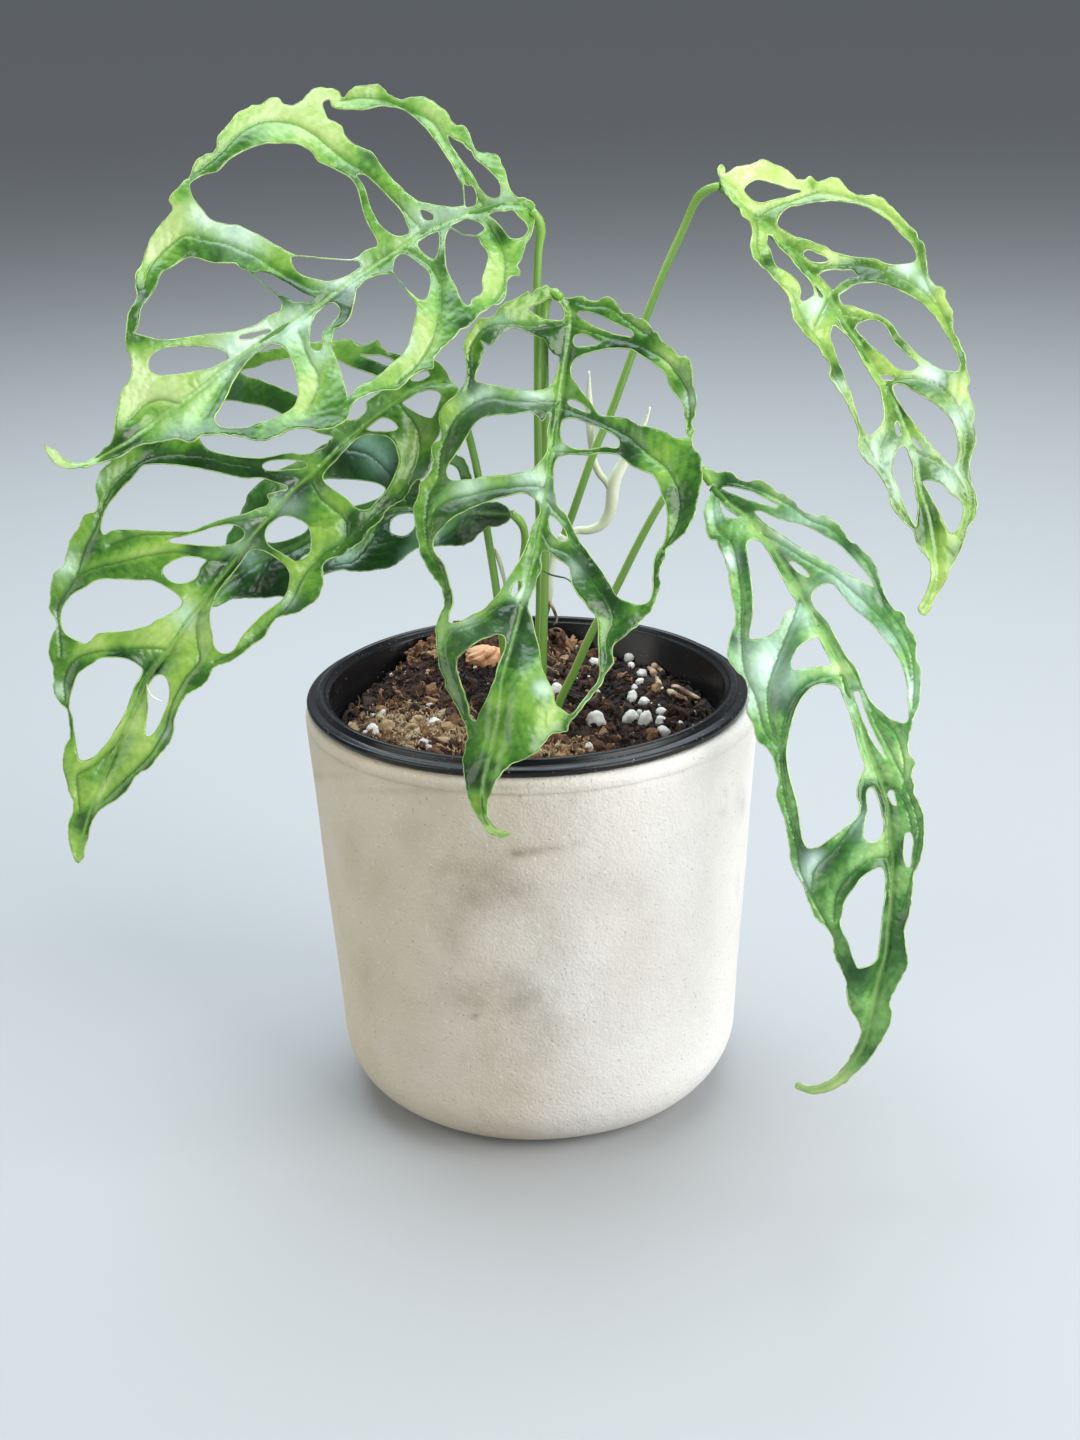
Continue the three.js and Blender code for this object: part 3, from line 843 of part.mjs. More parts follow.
function claySolid() {
  const profile = [[0, 0]];
  const foot = CLAY_FOOT_RADIUS;
  for (let i = 0; i <= 4; i += 1) {
    const angle = i * 22.5 * degrees;
    const reach = foot - CLAY_CORNER + CLAY_CORNER * Math.sin(angle);
    profile.push([reach, CLAY_CORNER * (1 - Math.cos(angle))]);
  }
  profile.push([CLAY_TOP_RADIUS, CLAY_HEIGHT - CLAY_LIP_ROUND]);
  profile.push([CLAY_TOP_RADIUS - 0.9, CLAY_HEIGHT - 0.9]);
  profile.push([CLAY_TOP_RADIUS - CLAY_LIP_ROUND, CLAY_HEIGHT]);
  profile.push([CLAY_INNER_TOP + 1, CLAY_HEIGHT]);
  profile.push([CLAY_INNER_TOP, CLAY_HEIGHT - 1]);
  profile.push([CLAY_INNER_FOOT, 30]);
  profile.push([CLAY_INNER_FOOT - 1, CLAY_FLOOR + 11]);
  profile.push([CLAY_INNER_FOOT - 5.5, CLAY_FLOOR + 2.5]);
  profile.push([CLAY_INNER_FOOT - 12, CLAY_FLOOR]);
  profile.push([0, CLAY_FLOOR]);
  return turnedSolid(profile, CLAY_SIDES);
}

function nurserySolid() {
  const floor = NURSERY_FLOOR_UNDER;
  const underFlange = CLAY_HEIGHT + GAP;
  const outer = (height) => nurseryInnerRadius(height) + NURSERY_WALL;
  const profile = [
    [0, floor],
    [outer(floor) - 2, floor],
    [outer(floor + 3), floor + 3],
    [outer(underFlange), underFlange],
    [NURSERY_FLANGE_RADIUS - 0.6, underFlange],
    [NURSERY_FLANGE_RADIUS, underFlange + 0.8],
    [NURSERY_FLANGE_RADIUS - 0.5, NURSERY_FLANGE_TOP],
    [NURSERY_BEAD_RADIUS, NURSERY_FLANGE_TOP + 0.4],
    [NURSERY_BEAD_RADIUS - 0.7, NURSERY_BEAD_TOP],
    [NURSERY_INNER_TOP + 1.2, NURSERY_BEAD_TOP],
    [NURSERY_INNER_TOP, NURSERY_BEAD_TOP - 0.8],
    [nurseryInnerRadius(floor + NURSERY_WALL), floor + NURSERY_WALL],
    [0, floor + NURSERY_WALL],
  ];
  let pot = turnedSolid(profile, NURSERY_SIDES);
  for (let i = 0; i < DRAIN_HOLES; i += 1) {
    const angle = 2 * Math.PI * i / DRAIN_HOLES;
    const drill = new THREE.CylinderGeometry(DRAIN_RADIUS, DRAIN_RADIUS, 10, 12).rotateX(Math.PI / 2);
    drill.translate(DRAIN_CIRCLE * Math.cos(angle), DRAIN_CIRCLE * Math.sin(angle), floor);
    pot = pot.subtract(toSolid(drill));
  }
  return pot.translate([NURSERY_OFFSET_X, 0, 0]);
}

// Repeatable random numbers from 0 to 1
function randomSource(seed) {
  let state = seed;
  return () => {
    state = (state * 16807) % 2147483647;
    return state / 2147483647;
  };
}

function soilBody() {
  const positions = [];
  const indices = [];
  const bottom = NURSERY_FLOOR_UNDER + NURSERY_WALL + GAP;
  const ringPoint = (ring, side) => {
    const angle = 2 * Math.PI * side / SOIL_SIDES;
    const edge = nurseryInnerRadius(SOIL_LEVEL - 2) - GAP - 0.6;
    const radius = edge * ring / SOIL_RINGS;
    const x = NURSERY_OFFSET_X + radius * Math.cos(angle);
    const y = radius * Math.sin(angle);
    const settle = ring === SOIL_RINGS ? 1.5 : 0;
    positions.push(x, y, soilHeight(x, y) - settle);
  };
  positions.push(NURSERY_OFFSET_X, 0, soilHeight(NURSERY_OFFSET_X, 0));
  for (let ring = 1; ring <= SOIL_RINGS; ring += 1) {
    for (let side = 0; side < SOIL_SIDES; side += 1) {
      ringPoint(ring, side);
    }
  }
  const footRadius = nurseryInnerRadius(bottom) - GAP - 0.6;
  for (let side = 0; side < SOIL_SIDES; side += 1) {
    const angle = 2 * Math.PI * side / SOIL_SIDES;
    positions.push(NURSERY_OFFSET_X + footRadius * Math.cos(angle), footRadius * Math.sin(angle), bottom);
  }
  positions.push(NURSERY_OFFSET_X, 0, bottom);
  const footCentre = positions.length / 3 - 1;
  for (let side = 0; side < SOIL_SIDES; side += 1) {
    const next = (side + 1) % SOIL_SIDES;
    indices.push(0, 1 + side, 1 + next);
    for (let ring = 0; ring < SOIL_RINGS; ring += 1) {
      const a = 1 + ring * SOIL_SIDES + side;
      const b = 1 + ring * SOIL_SIDES + next;
      indices.push(a, a + SOIL_SIDES, b + SOIL_SIDES);
      indices.push(a, b + SOIL_SIDES, b);
    }
    const foot = 1 + SOIL_RINGS * SOIL_SIDES;
    indices.push(footCentre, foot + next, foot + side);
  }
  return toSolid(indexedGeometry(positions, indices));
}

function barkGeometry(grow) {
  const sizes = [BARK.length, BARK.depth, BARK.height].map((size) => size + 2 * grow);
  const chip = new THREE.BoxGeometry(...sizes);
  const corners = chip.attributes.position;
  for (let i = 0; i < corners.count; i += 1) {
    const skew = corners.getX(i) > 0 ? 0.8 : 1;
    corners.setY(i, corners.getY(i) * skew);
    corners.setX(i, corners.getX(i) + corners.getZ(i) * 0.12);
  }
  return chip.rotateZ(BARK.turn).translate(BARK.x, BARK.y, BARK.z);
}

function soilSolid() {
  let soil = soilBody();
  const random = randomSource(RANDOM_SEED);
  for (const [u, v, radius] of triples(PERLITE)) {
    const place = pointOverSoil(u, v, radius * 0.4);
    const grain = new THREE.IcosahedronGeometry(radius, 0).rotateX(3 * random()).rotateY(3 * random());
    grain.scale(1, 0.9, 0.85);
    grain.translate(place.x, place.y, place.z);
    soil = soil.add(toSolid(grain));
  }
  for (const flat of Object.values(STALKS)) {
    const entry = stalkPath(flat)[1];
    const mouth = soilHeight(entry.x, entry.y);
    const width = STALK_RADIUS + GAP;
    const drill = new THREE.CylinderGeometry(width, width, STALK_DEPTH + 12, 10);
    drill.rotateX(Math.PI / 2).translate(entry.x, entry.y, mouth + 6 - STALK_DEPTH / 2 - GAP);
    soil = soil.subtract(toSolid(drill));
  }
  return soil.subtract(toSolid(barkGeometry(GAP)));
}

function shootsSolid() {
  let solid = null;
  for (const shoot of SHOOTS) {
    const path = triples(shoot.path).map(([u, v, depth]) => pointAtDepth(u, v, depth));
    const rod = toSolid(rodGeometry(path, spread(shoot.radii, path.length), 7));
    solid = solid === null ? rod : solid.add(rod);
  }
  return solid;
}

function sheathSolid() {
  const path = triples(SHEATH).map(([u, v, depth]) => pointAtDepth(u, v, depth));
  return toSolid(rodGeometry(path, SHEATH_RADII, 8));
}

const plant = new THREE.Group();
plant.name = 'potted_monstera_obliqua';
addNode(plant, 'clay_cover_pot', claySolid(), 0xdcd6ca, 0.75);
addNode(plant, 'black_nursery_pot', nurserySolid(), 0x17191c, 0.45);
addNode(plant, 'soil', soilSolid(), 0x4a3426, 0.95);
addNode(plant, 'bark_chip', toSolid(barkGeometry(0)), 0x9b5a3a, 0.85);
addNode(plant, 'leaf_upper_left', leafSolid(UPPER_LEFT_LEAF, STALKS.upperLeft), 0x4f9a33, 0.35);
addNode(plant, 'leaf_lower_left', leafSolid(LOWER_LEFT_LEAF, STALKS.lowerLeft), 0x4a9431, 0.35);
addNode(plant, 'leaf_back', leafSolid(BACK_LEAF, STALKS.back), 0x2f7030, 0.35);
addNode(plant, 'leaf_front', leafSolid(FRONT_LEAF, STALKS.front), 0x559f36, 0.35);
addNode(plant, 'leaf_upper_right', leafSolid(UPPER_RIGHT_LEAF, STALKS.upperRight).add(sheathSolid()),
  0x5aa83a, 0.35);
addNode(plant, 'leaf_lower_right', leafSolid(LOWER_RIGHT_LEAF, STALKS.lowerRight), 0x57a238, 0.35);
addNode(plant, 'young_shoots', shootsSolid(), 0xe4ecc8, 0.45);

export default plant;
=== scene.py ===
import math

import bpy
import numpy as np
from mathutils import Matrix, Vector, geometry, noise


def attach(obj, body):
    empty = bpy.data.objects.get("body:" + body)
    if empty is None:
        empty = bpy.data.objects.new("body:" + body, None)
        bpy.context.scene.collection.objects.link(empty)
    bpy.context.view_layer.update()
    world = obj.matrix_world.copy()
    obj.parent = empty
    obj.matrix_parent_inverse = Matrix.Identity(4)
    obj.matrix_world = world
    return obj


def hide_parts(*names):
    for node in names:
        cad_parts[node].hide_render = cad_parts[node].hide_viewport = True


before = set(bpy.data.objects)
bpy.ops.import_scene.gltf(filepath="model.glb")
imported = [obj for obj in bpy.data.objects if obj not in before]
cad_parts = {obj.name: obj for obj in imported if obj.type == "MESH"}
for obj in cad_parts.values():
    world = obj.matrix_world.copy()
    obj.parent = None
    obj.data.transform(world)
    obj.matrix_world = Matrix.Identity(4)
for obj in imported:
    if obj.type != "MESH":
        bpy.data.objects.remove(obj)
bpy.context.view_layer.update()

MM = 0.001

# The plant is laid out on a drawing 1080 units wide and 1440 high, seen from this point.
# Lengths are in millimetres and angles in degrees.
VIEW = {"x": 10.8, "y": -673.9, "z": 389.7, "focal": 2164, "pitch_down": 21.11, "roll": -1.4, "yaw": -0.7}
DRAWING_WIDTH = 1080
DRAWING_HEIGHT = 1440
SENSOR_HEIGHT = 36
ROLL = math.radians(VIEW["roll"])
PITCH = math.radians(VIEW["pitch_down"])
YAW = math.radians(VIEW["yaw"])
VIEWPOINT = np.array([VIEW["x"], VIEW["y"], VIEW["z"]], float)
DEPTH = 1
HEIGHT = 2

# Small amounts that keep divisions and logarithms away from zero
NARROW = 1e-6
SHORT = 1e-9
TINY = 1e-12
# Reach of the random turns of lumps, in radians
FULL_TURN = 6.28

# Pots, as in the solids
CLAY_TOP_RADIUS = 75
CLAY_FOOT_RADIUS = 68
CLAY_HEIGHT = 138.7
CLAY_LIP_ROUND = 3.2
CLAY_CORNER = 22
CLAY_INNER_TOP = 69
CLAY_INNER_FOOT = 62
CLAY_FLOOR = 8
CLAY_LINE_UNDER_TOP = 4.6
CLAY_LINE_DEPTH = 0.25
CLAY_SEGMENTS = 380
CLAY_WOBBLE = 0.3
AXIS_GAP = 0.5
NURSERY_OFFSET_X = -1.44
NURSERY_FLANGE_RADIUS = 73
NURSERY_FLANGE_TOP = 141.5
NURSERY_BEAD_RADIUS = 69.6
NURSERY_BEAD_TOP = 143.5
NURSERY_INNER_TOP = 65.4
NURSERY_INNER_FLOOR = 50
NURSERY_WALL = 1.6
NURSERY_FLOOR_UNDER = 14

# Smudges and marks on the front of the clay, as u, v, half width, half height and amount.
# The wide thin bands just under the rim, from v 760 to 791, are painted shade along the line under the rim.
CLAY_MARKS = [470,885,34,38,0.5, 455,925,20,32,0.3, 530,905,34,34,0.32, 500,890,30,20,0.2,
    478,985,36,30,0.34, 522,992,40,26,0.28, 468,945,30,44,0.2, 445,870,12,14,0.3, 518,853,9,5,0.9,
    532,851,12,4,0.6, 556,848,14,3,0.5, 580,843,10,2.5,0.4, 457,995,26,13,0.25, 513,1005,40,22,0.25,
    544,1027,30,24,0.2, 493,1056,52,16,0.25, 475,1016,4,3,1.2, 351,852,11,32,0.4, 366,975,8,30,0.35,
    330,776,26,4,0.5, 400,791,60,3,0.35, 518,787,60,3,0.4, 640,772,50,3,0.25, 723,812,5,5,1.0,
    741,802,5,14,1.0, 725,791,3,5,0.8, 738,888,2,14,0.8, 345,760,20,9,0.25, 560,950,30,18,0.2,
    700,1010,12,30,0.15, 420,830,30,12,0.2, 640,900,40,30,0.1]

# Soil, as in the solids, and what lies on it
SOIL_LEVEL = 130.6
SOIL_HEAPS = [{"x": -26, "y": 44, "width": 25, "depth": 20, "height": 9},
    {"x": -14, "y": 62, "width": 34, "depth": 14, "height": 7.5}]
SOIL_HEIGHT_STEPS = 12
SOIL_RINGS = 110
SOIL_SIDES = 260
WALL_STEP = 0.4
WALL_STEPS = 100
LARGE_LUMP = 1.8
LARGE_LUMP_ROOM = 5
FIBRE_COUNT = 2600
FIBRE_STEPS = 6
SMALL_GRAINS = 60
BARK_ROUNDNESS = 2.6
STRAND_SIDES = 8

# Stalks and their knees under the blades, in millimetres, or as shares of the stalk's length
STALK_RADIUS = 1.4
STALK_SIDES = 16
STALK_TAPER = 0.12
STALK_DEPTH = 12
STALK_MOUTH = 2.5
STALK_CLEAR = 5
KNEE_PLACE = 0.965
KNEE_LENGTH = 0.022

# Blades: thicknesses and heights in millimetres, reaches and spacings in drawing units,
# ends as shares of the length
BLADE_THICKNESS = 0.4
MARGIN_RADIUS = 0.24
MARGIN_SIDES = 5
MARGIN_THREAD_REACH = 6
MESH_STEP = 2.2
MESH_ROW_STEP = MESH_STEP * 0.87
MESH_CLEAR_OF_LOOPS = MESH_STEP * 0.45
MESH_CLEAR_OF_LINES = MESH_STEP * 0.5
MESH_MERGE_DISTANCE = 1e-4
NORMAL_STEP = 4
DEPTH_SCALE = 100
DEPTH_SOFTNESS = 0.02
VALLEY_DEPTH = 3.5
VALLEY_REACH = 26
VALLEY_END = 0.12
THREAD_HALF_WIDTH = 0.35
THREAD_REACH = 7
THREAD_FADE = 2.5
THREAD_END = 0.12
TOOTH_SIZE = 0.5
TOOTH_SHARE_OF_ROOM = 0.2
TOOTH_SPACING = 5.5
FOLD_HEIGHT = 1.5
FOLD_REACH = 11
FOLD_REACH_AT_RIB = 9
VEIN_GROOVE = 0.35
VEIN_GROOVE_REACH = 1.3
RIB_GROOVE = 0.55
RIB_GROOVE_REACH = 5
RIB_LINE = 0.75
RIB_LINE_REACH = 1.5
SIDE_VEIN_STEP = 10.5
SIDE_VEIN_SLANT = 0.8
SIDE_VEIN_WIDTH = 0.13
SIDE_VEIN_CLEAR = 3
SIDE_VEIN_GROOVE = 0.13
SIDE_VEIN_WANDER = 3
SIDE_VEIN_WANDER_SIZE = 20
BROAD_RIPPLE = 1.1
BROAD_RIPPLE_SIZE = 42
SMALL_RIPPLE = 0.22
SMALL_RIPPLE_SIZE = 15
EDGE_RIPPLE = 0.4
EDGE_RIPPLE_SIZE = 9
EDGE_REACH = 4
# Up the blade in the drawing, and how the two sides of a vein blend into those of its neighbours
UPWARD = (-0.45, -0.9)
VEIN_SIDE_BLEND = 7
VEIN_SIDE_FADE = 6
# Midrib on the back: its spacing, sides, depth under the blade, what its base adds to that depth,
# its radii at the base and the tip, and the share of the length at which it ends
BACK_RIB_STEP = 6
BACK_RIB_SIDES = 10
BACK_RIB_DEPTH = 0.55
BACK_RIB_ADDED_AT_BASE = 0.25
BACK_RIB_RADIUS = 1.15
BACK_RIB_TIP_RADIUS = 0.3
BACK_RIB_LENGTH = 0.97
# How light the green is, 0 to 1: its middle, and what waves, spots, veins and the tip add or take.
# The light and shade spots are painted sunlit patches and painted shade. The side above each vein
# is painted lighter and the side below darker, as light and shade on the fold.
TONE = {"middle": 0.42, "broad": 0.14, "small": 0.1, "above": 0.2, "light": 0.3, "shade": 0.36,
    "side_vein": 0.07, "tip": 0.5}
TONE_BROAD_SIZE = 70
TONE_SMALL_SIZE = 14
TIP_START = 0.88
TIP_FADE = 0.09
# How strong the painted sheen is on its spots, and what the side above a vein and waves add
SHEEN = {"spot": 0.6, "above": 0.5, "wave": 0.1}
SHEEN_WAVE_SIZE = 25
VEIN_SHADE_REACH = 1.1
RIB_COLOUR_REACH = 1.6
GREEN_STOPS = (0.1, 0.32, 0.5, 0.74, 1.0)
# Colours round a stalk: painted shade on one side, grading to a painted highlight down the other
STALK_SHADE_TO_HIGHLIGHT = [(0.0, (0.08, 0.22, 0.03)), (0.2, (0.13, 0.32, 0.04)), (0.42, (0.33, 0.47, 0.09)),
    (0.5, (0.58, 0.66, 0.28)), (0.6, (0.22, 0.42, 0.07)), (1.0, (0.08, 0.22, 0.03))]
DIRT = (0.02, 0.012, 0.008)

# Each leaf, as u, v pairs: its midrib from base to tip, the outline's two sides, their windows,
# the side veins, and the threads that hang between two windows.
# As u, v, radius triples: its spots of painted light, painted shade and painted sheen.
# As u, v, Y triples: its depth. Negative Y is nearer to the front.
UPPER_LEFT_LEAF = {
    "threads": [
        [287,257, 307,258.5, 320,260, 345,261, 361,260],
        [243,268, 262,283, 281,299],
        [463,183, 464,195, 465,209],
        [449,229, 463,236.4, 481,237],
        [391,273, 405,290, 419,304]],
    "light": [285,130,42, 350,130,30, 160,408,36, 312,395,26, 420,345,34, 500,275,24, 160,245,26,
        440,115,20, 128,380,20, 300,110,30],
    "shade": [372,152,20, 330,275,10, 290,288,14, 350,335,10, 445,265,12, 130,446,14, 500,235,10,
        180,446,14, 470,330,12, 395,225,8, 270,405,14, 345,300,9, 136,290,8],
    "sheen": [240,236,24, 205,215,16, 350,268,18, 300,325,22, 235,356,24, 425,225,20, 455,213,16,
        175,432,18, 405,345,10, 345,290,20, 265,338,18, 500,200,12, 420,380,8, 140,300,6, 320,355,12],
    "midrib": [535,212, 524,205, 508,203.5, 492,206.5, 478,210.7, 464,214.8, 450.5,221, 437,227,
        423,232.6, 409.5,242.8, 396,252.4, 382,260.6, 368,269.5, 355,278.4, 341,288, 318.6,305,
        299.5,317, 284.7,325.8, 262.6,340, 242,355.3, 221.6,370.3, 201,388, 180.5,404.5, 160,418,
        139.5,433, 126,444, 105,456.5, 84.7,464.7, 64,464.7, 50.5,455, 44,445.6],
    "first": [533,204, 524,199, 515,197, 509,190, 505,178, 502,170, 497,160, 490,157, 480,155.5,
        475,151, 471,143, 469,135, 463,129, 455,128, 450,123, 446,116, 440,112, 435,107, 425,101,
        415,100, 400,101, 395,99, 388,95, 380,88, 375,86.5, 365,88, 355,89, 350,92, 346,97, 342,97.5,
        339,94, 335,91, 325,90.5, 313,91, 307,97, 300,103, 292,107.5, 283,105.5, 277,100, 272,100,
        265,103, 260,107, 251,108, 245,112, 237,116, 230,125, 222,134, 217,140, 216,150, 213,154,
        203,158, 196,162, 192,171, 189,179, 184,183, 178,190, 171,197, 169,202, 172,208, 170,216,
        163,223, 156,231, 150,240, 148,248, 145,254, 143,262, 140,269, 136,274, 135,286, 136.5,299,
        130.5,310, 127.5,316, 126,328, 125,340, 126.5,350, 129.5,357, 131,365, 131,374, 127.5,383,
        121.5,392, 118.5,402, 116,415, 115,425, 114.5,436, 111.5,444, 102.5,451, 95.5,457, 88,461.5,
        79,463, 70,462.5, 61.5,457, 52,450],
    "second": [529,236, 526,242, 523,247, 520.5,260, 516,268, 518.5,277.5, 511,278, 506.5,281.5,
        506,289, 504,299, 500,303.5, 492,306.5, 484,312.5, 476,318, 472,324, 467,328.5, 460,332,
        454,339, 447,346, 440,352, 434,360, 433,371, 426,371.5, 417,373.5, 410,377.5, 405,384, 395,390,
        385,391, 372,394.5, 362,400, 356,404.5, 351,411, 349,420, 343,426, 334,430.5, 325,432, 310,432,
        298,431.5, 290,433, 284,437.5, 275,441.5, 266,444, 258,444, 249,441.5, 238,438, 215,437.5,
        206,437.5, 200,439.5, 195,443, 190,444, 185,442.5, 178,441, 166,442, 153,444, 143,445.5,
        135,449.5, 128,456, 119,461, 106,466, 93,467, 78,467.5, 67,467.5, 55,463, 47,454],
    "first_windows": [
        [322,104, 326,101, 330,101, 332,107, 340,110, 352,111, 365,111, 378,107, 390,107, 400,108,
         410,114, 420,124, 430,135, 440,148, 450,163, 455,172, 459,180, 461,187, 460.5,196, 460,207,
         450,209, 435,207, 420,204, 410,198, 402,190, 390,178, 380,167, 375,160, 370,155, 360,151,
         350,145, 343,136, 341,129, 335,125, 328,121, 324,114],
        [466,186, 472,186, 476,192, 477,200, 475,206, 466,207],
        [448,137, 455,141, 463,144, 467,149, 472,153, 475,160, 485,170, 492,176, 498,182, 501,190,
         500,197, 495,199, 487,197, 480,190, 473,178, 465,167, 455,152, 448,141],
        [420,211, 428,212, 434,216, 433,221, 425,221, 421,216],
        [356,177, 365,175, 375,183, 385,193, 395,203, 402,212, 406,222, 409,234, 400,238, 392,237,
         386,233, 379,227, 374,218, 370,210, 367,200, 363,188],
        [189,186, 195,180, 202,175.5, 210,173.5, 217,172, 222,167, 228,161, 238,155, 247,151, 256,148,
         266,146, 280,146, 295,147, 306,150, 312,155, 318,163, 325,166.5, 335,171, 345,176, 351,181,
         357,190, 360,200, 362,209, 365,219, 370,230, 376,240, 378,245, 377,248, 371,250, 364,253,
         359,256.5, 350,257.5, 333,258, 307,255, 289,254, 281,250, 272,245, 260,238, 249,233, 237,227,
         222,225, 214,223, 208,219.5, 201,212, 196,206, 191,199],
        [291,259.5, 307,260.5, 333,262.5, 350,263.5, 358,263, 361,267, 356,271, 349,275.5, 341,279,
         333,281.5, 326,282.5, 317,281, 308,279, 300,275.5, 294,270],
        [248,270, 254,271.5, 260,272, 272,275, 282,280, 291,286, 300,292, 309,296, 315,298, 311,302,
         303,303, 292,302, 286,298, 279,292, 269,285, 257,277, 250,272.5],
        [239,268, 235,265, 225,264.5, 214,264, 206,262, 198,259, 190,258, 182,261, 175,266, 168,270,
         162,273, 158,280, 155,289, 147,300, 140,310, 138,320, 136,329, 133,334, 138,336, 146,338.5,
         157,341, 171,341, 194,337.5, 208,336, 222,335, 235,334, 243,331, 251,328, 257,325.5, 262,321.5,
         268,317, 274,314.5, 280,311.5, 282,306, 281,301, 272,293, 260,284.8, 249,276],
        [238,338, 243,335.5, 251,333, 257,331.5, 263,330, 268,329, 271,330.5, 268,332.5, 262,335,
         255,338, 246,340.5, 239,340.5],
        [147.5,365, 149,358, 154.5,352.5, 164,348.5, 175,347, 187,346.5, 201,346.6, 212,348, 221.6,351,
         227,355, 228,358, 225,361, 219,365, 212,368.5, 204,371, 191.5,373, 180.5,375.5, 167,376.5,
         157,376, 150.5,373, 148,369]],
    "second_windows": [
        [488,214, 495,211.5, 504,212, 512,211.5, 517.5,217, 524,223.5, 526.5,230, 524,236, 519,240,
         512,241, 506.5,237, 501,229, 494,221],
        [452,226, 458,222, 467,219.5, 476,220.5, 482,224, 485,228.5, 482,233, 478,233.5, 468,233,
         459,232, 454,229],
        [450,232, 446,238, 445,250, 446,268, 450,279, 455,288, 460,302, 466,309, 470,308, 472,302,
         479,298, 482,292, 482,282, 485,271, 488,260, 487,252, 482,246, 478,240.5, 468,239.5, 459,238.5],
        [418,244, 423,239, 431,234, 438,231.5, 440,237, 440,247, 438,256.5, 434.5,261, 428.5,258,
         423,254, 418.5,249],
        [394,266, 396,260, 401,255.5, 407,255.5, 413,259, 422,266, 429,272, 431,280, 430,292, 427,301,
         421,303, 414,298, 408,292, 401,282, 394,273],
        [389,278, 380,277.5, 370,280.5, 364,285, 360,289.5, 357,292, 356,300, 354,310, 351,319, 346,326,
         340,330, 335,331, 333,340, 332,349, 336,360, 340,371, 343,382, 346,392, 349,402, 352,399,
         357,393, 363,387.5, 370,383, 377,379, 384,375, 389,370, 396,363, 403,356, 409,347, 413,335,
         416,322, 418,311, 418,308, 412,304.5, 405,297, 397,286],
        [327,304, 320,310, 314,318, 311,330, 310,342, 310.5,349, 316,352, 321.5,352, 324,346, 323,339,
         326,333, 332,329, 335,324, 339,320, 341,314, 340,309.5, 335,304.5],
        [256,352, 251,359, 243,369, 236,380, 229,393, 221,409, 215,418, 216,425, 222,430, 235,431,
         247,431, 262,427, 274,423, 284,417, 292,411, 297,404, 299,394, 298,382, 295,368, 290,357,
         284,349, 277,345, 270,343.5, 262,347]],
    "veins": [
        [420,227, 412,219.5, 404,210, 393,198, 367,174, 351,165, 333,151, 314,135, 298,126, 284,122,
         272,121, 260,123, 238.5,136, 221,154, 198,172],
        [483,204, 476.5,196, 464,178.5, 455,158, 444,140, 431,122, 409,111, 396,104, 377,98.5, 362,98,
         341,100],
        [338,291, 320,290, 308,287.5, 296.5,281.6, 275.6,268.7, 254,255, 241,250, 227,244, 214,241.5,
         200,238.6, 185,236, 172.5,244, 156,259.5, 149,271, 143,290],
        [482,215, 490,228, 497,240, 504,255, 505,269, 503,289, 495.5,302],
        [405,250, 408.5,252, 425,262, 433.6,271, 438,282, 440,293, 438,321, 431,345, 417,366, 398,384],
        [299.5,333, 304,346, 310,360, 316,370, 318.6,377, 316,394, 305,415],
        [262,345, 250,352, 238,362, 230,378, 215,400, 203,420],
        [180,404, 160,400, 145,405, 130,420]],
    "depth": [538,235,8, 508,203,8, 437,227,3, 368,269,-6, 299,317,-18, 221,370,-30, 160,418,-40,
        105,456,-48, 44,445,-54, 480,155,22, 440,112,34, 375,86,36, 300,103,26, 217,140,8, 170,210,-8,
        145,254,-16, 127,330,-30, 116,415,-42, 518,277,-4, 466,328,-22, 433,371,-32, 403,385,-36,
        349,420,-44, 266,444,-50, 190,444,-52, 119,461,-52],
}
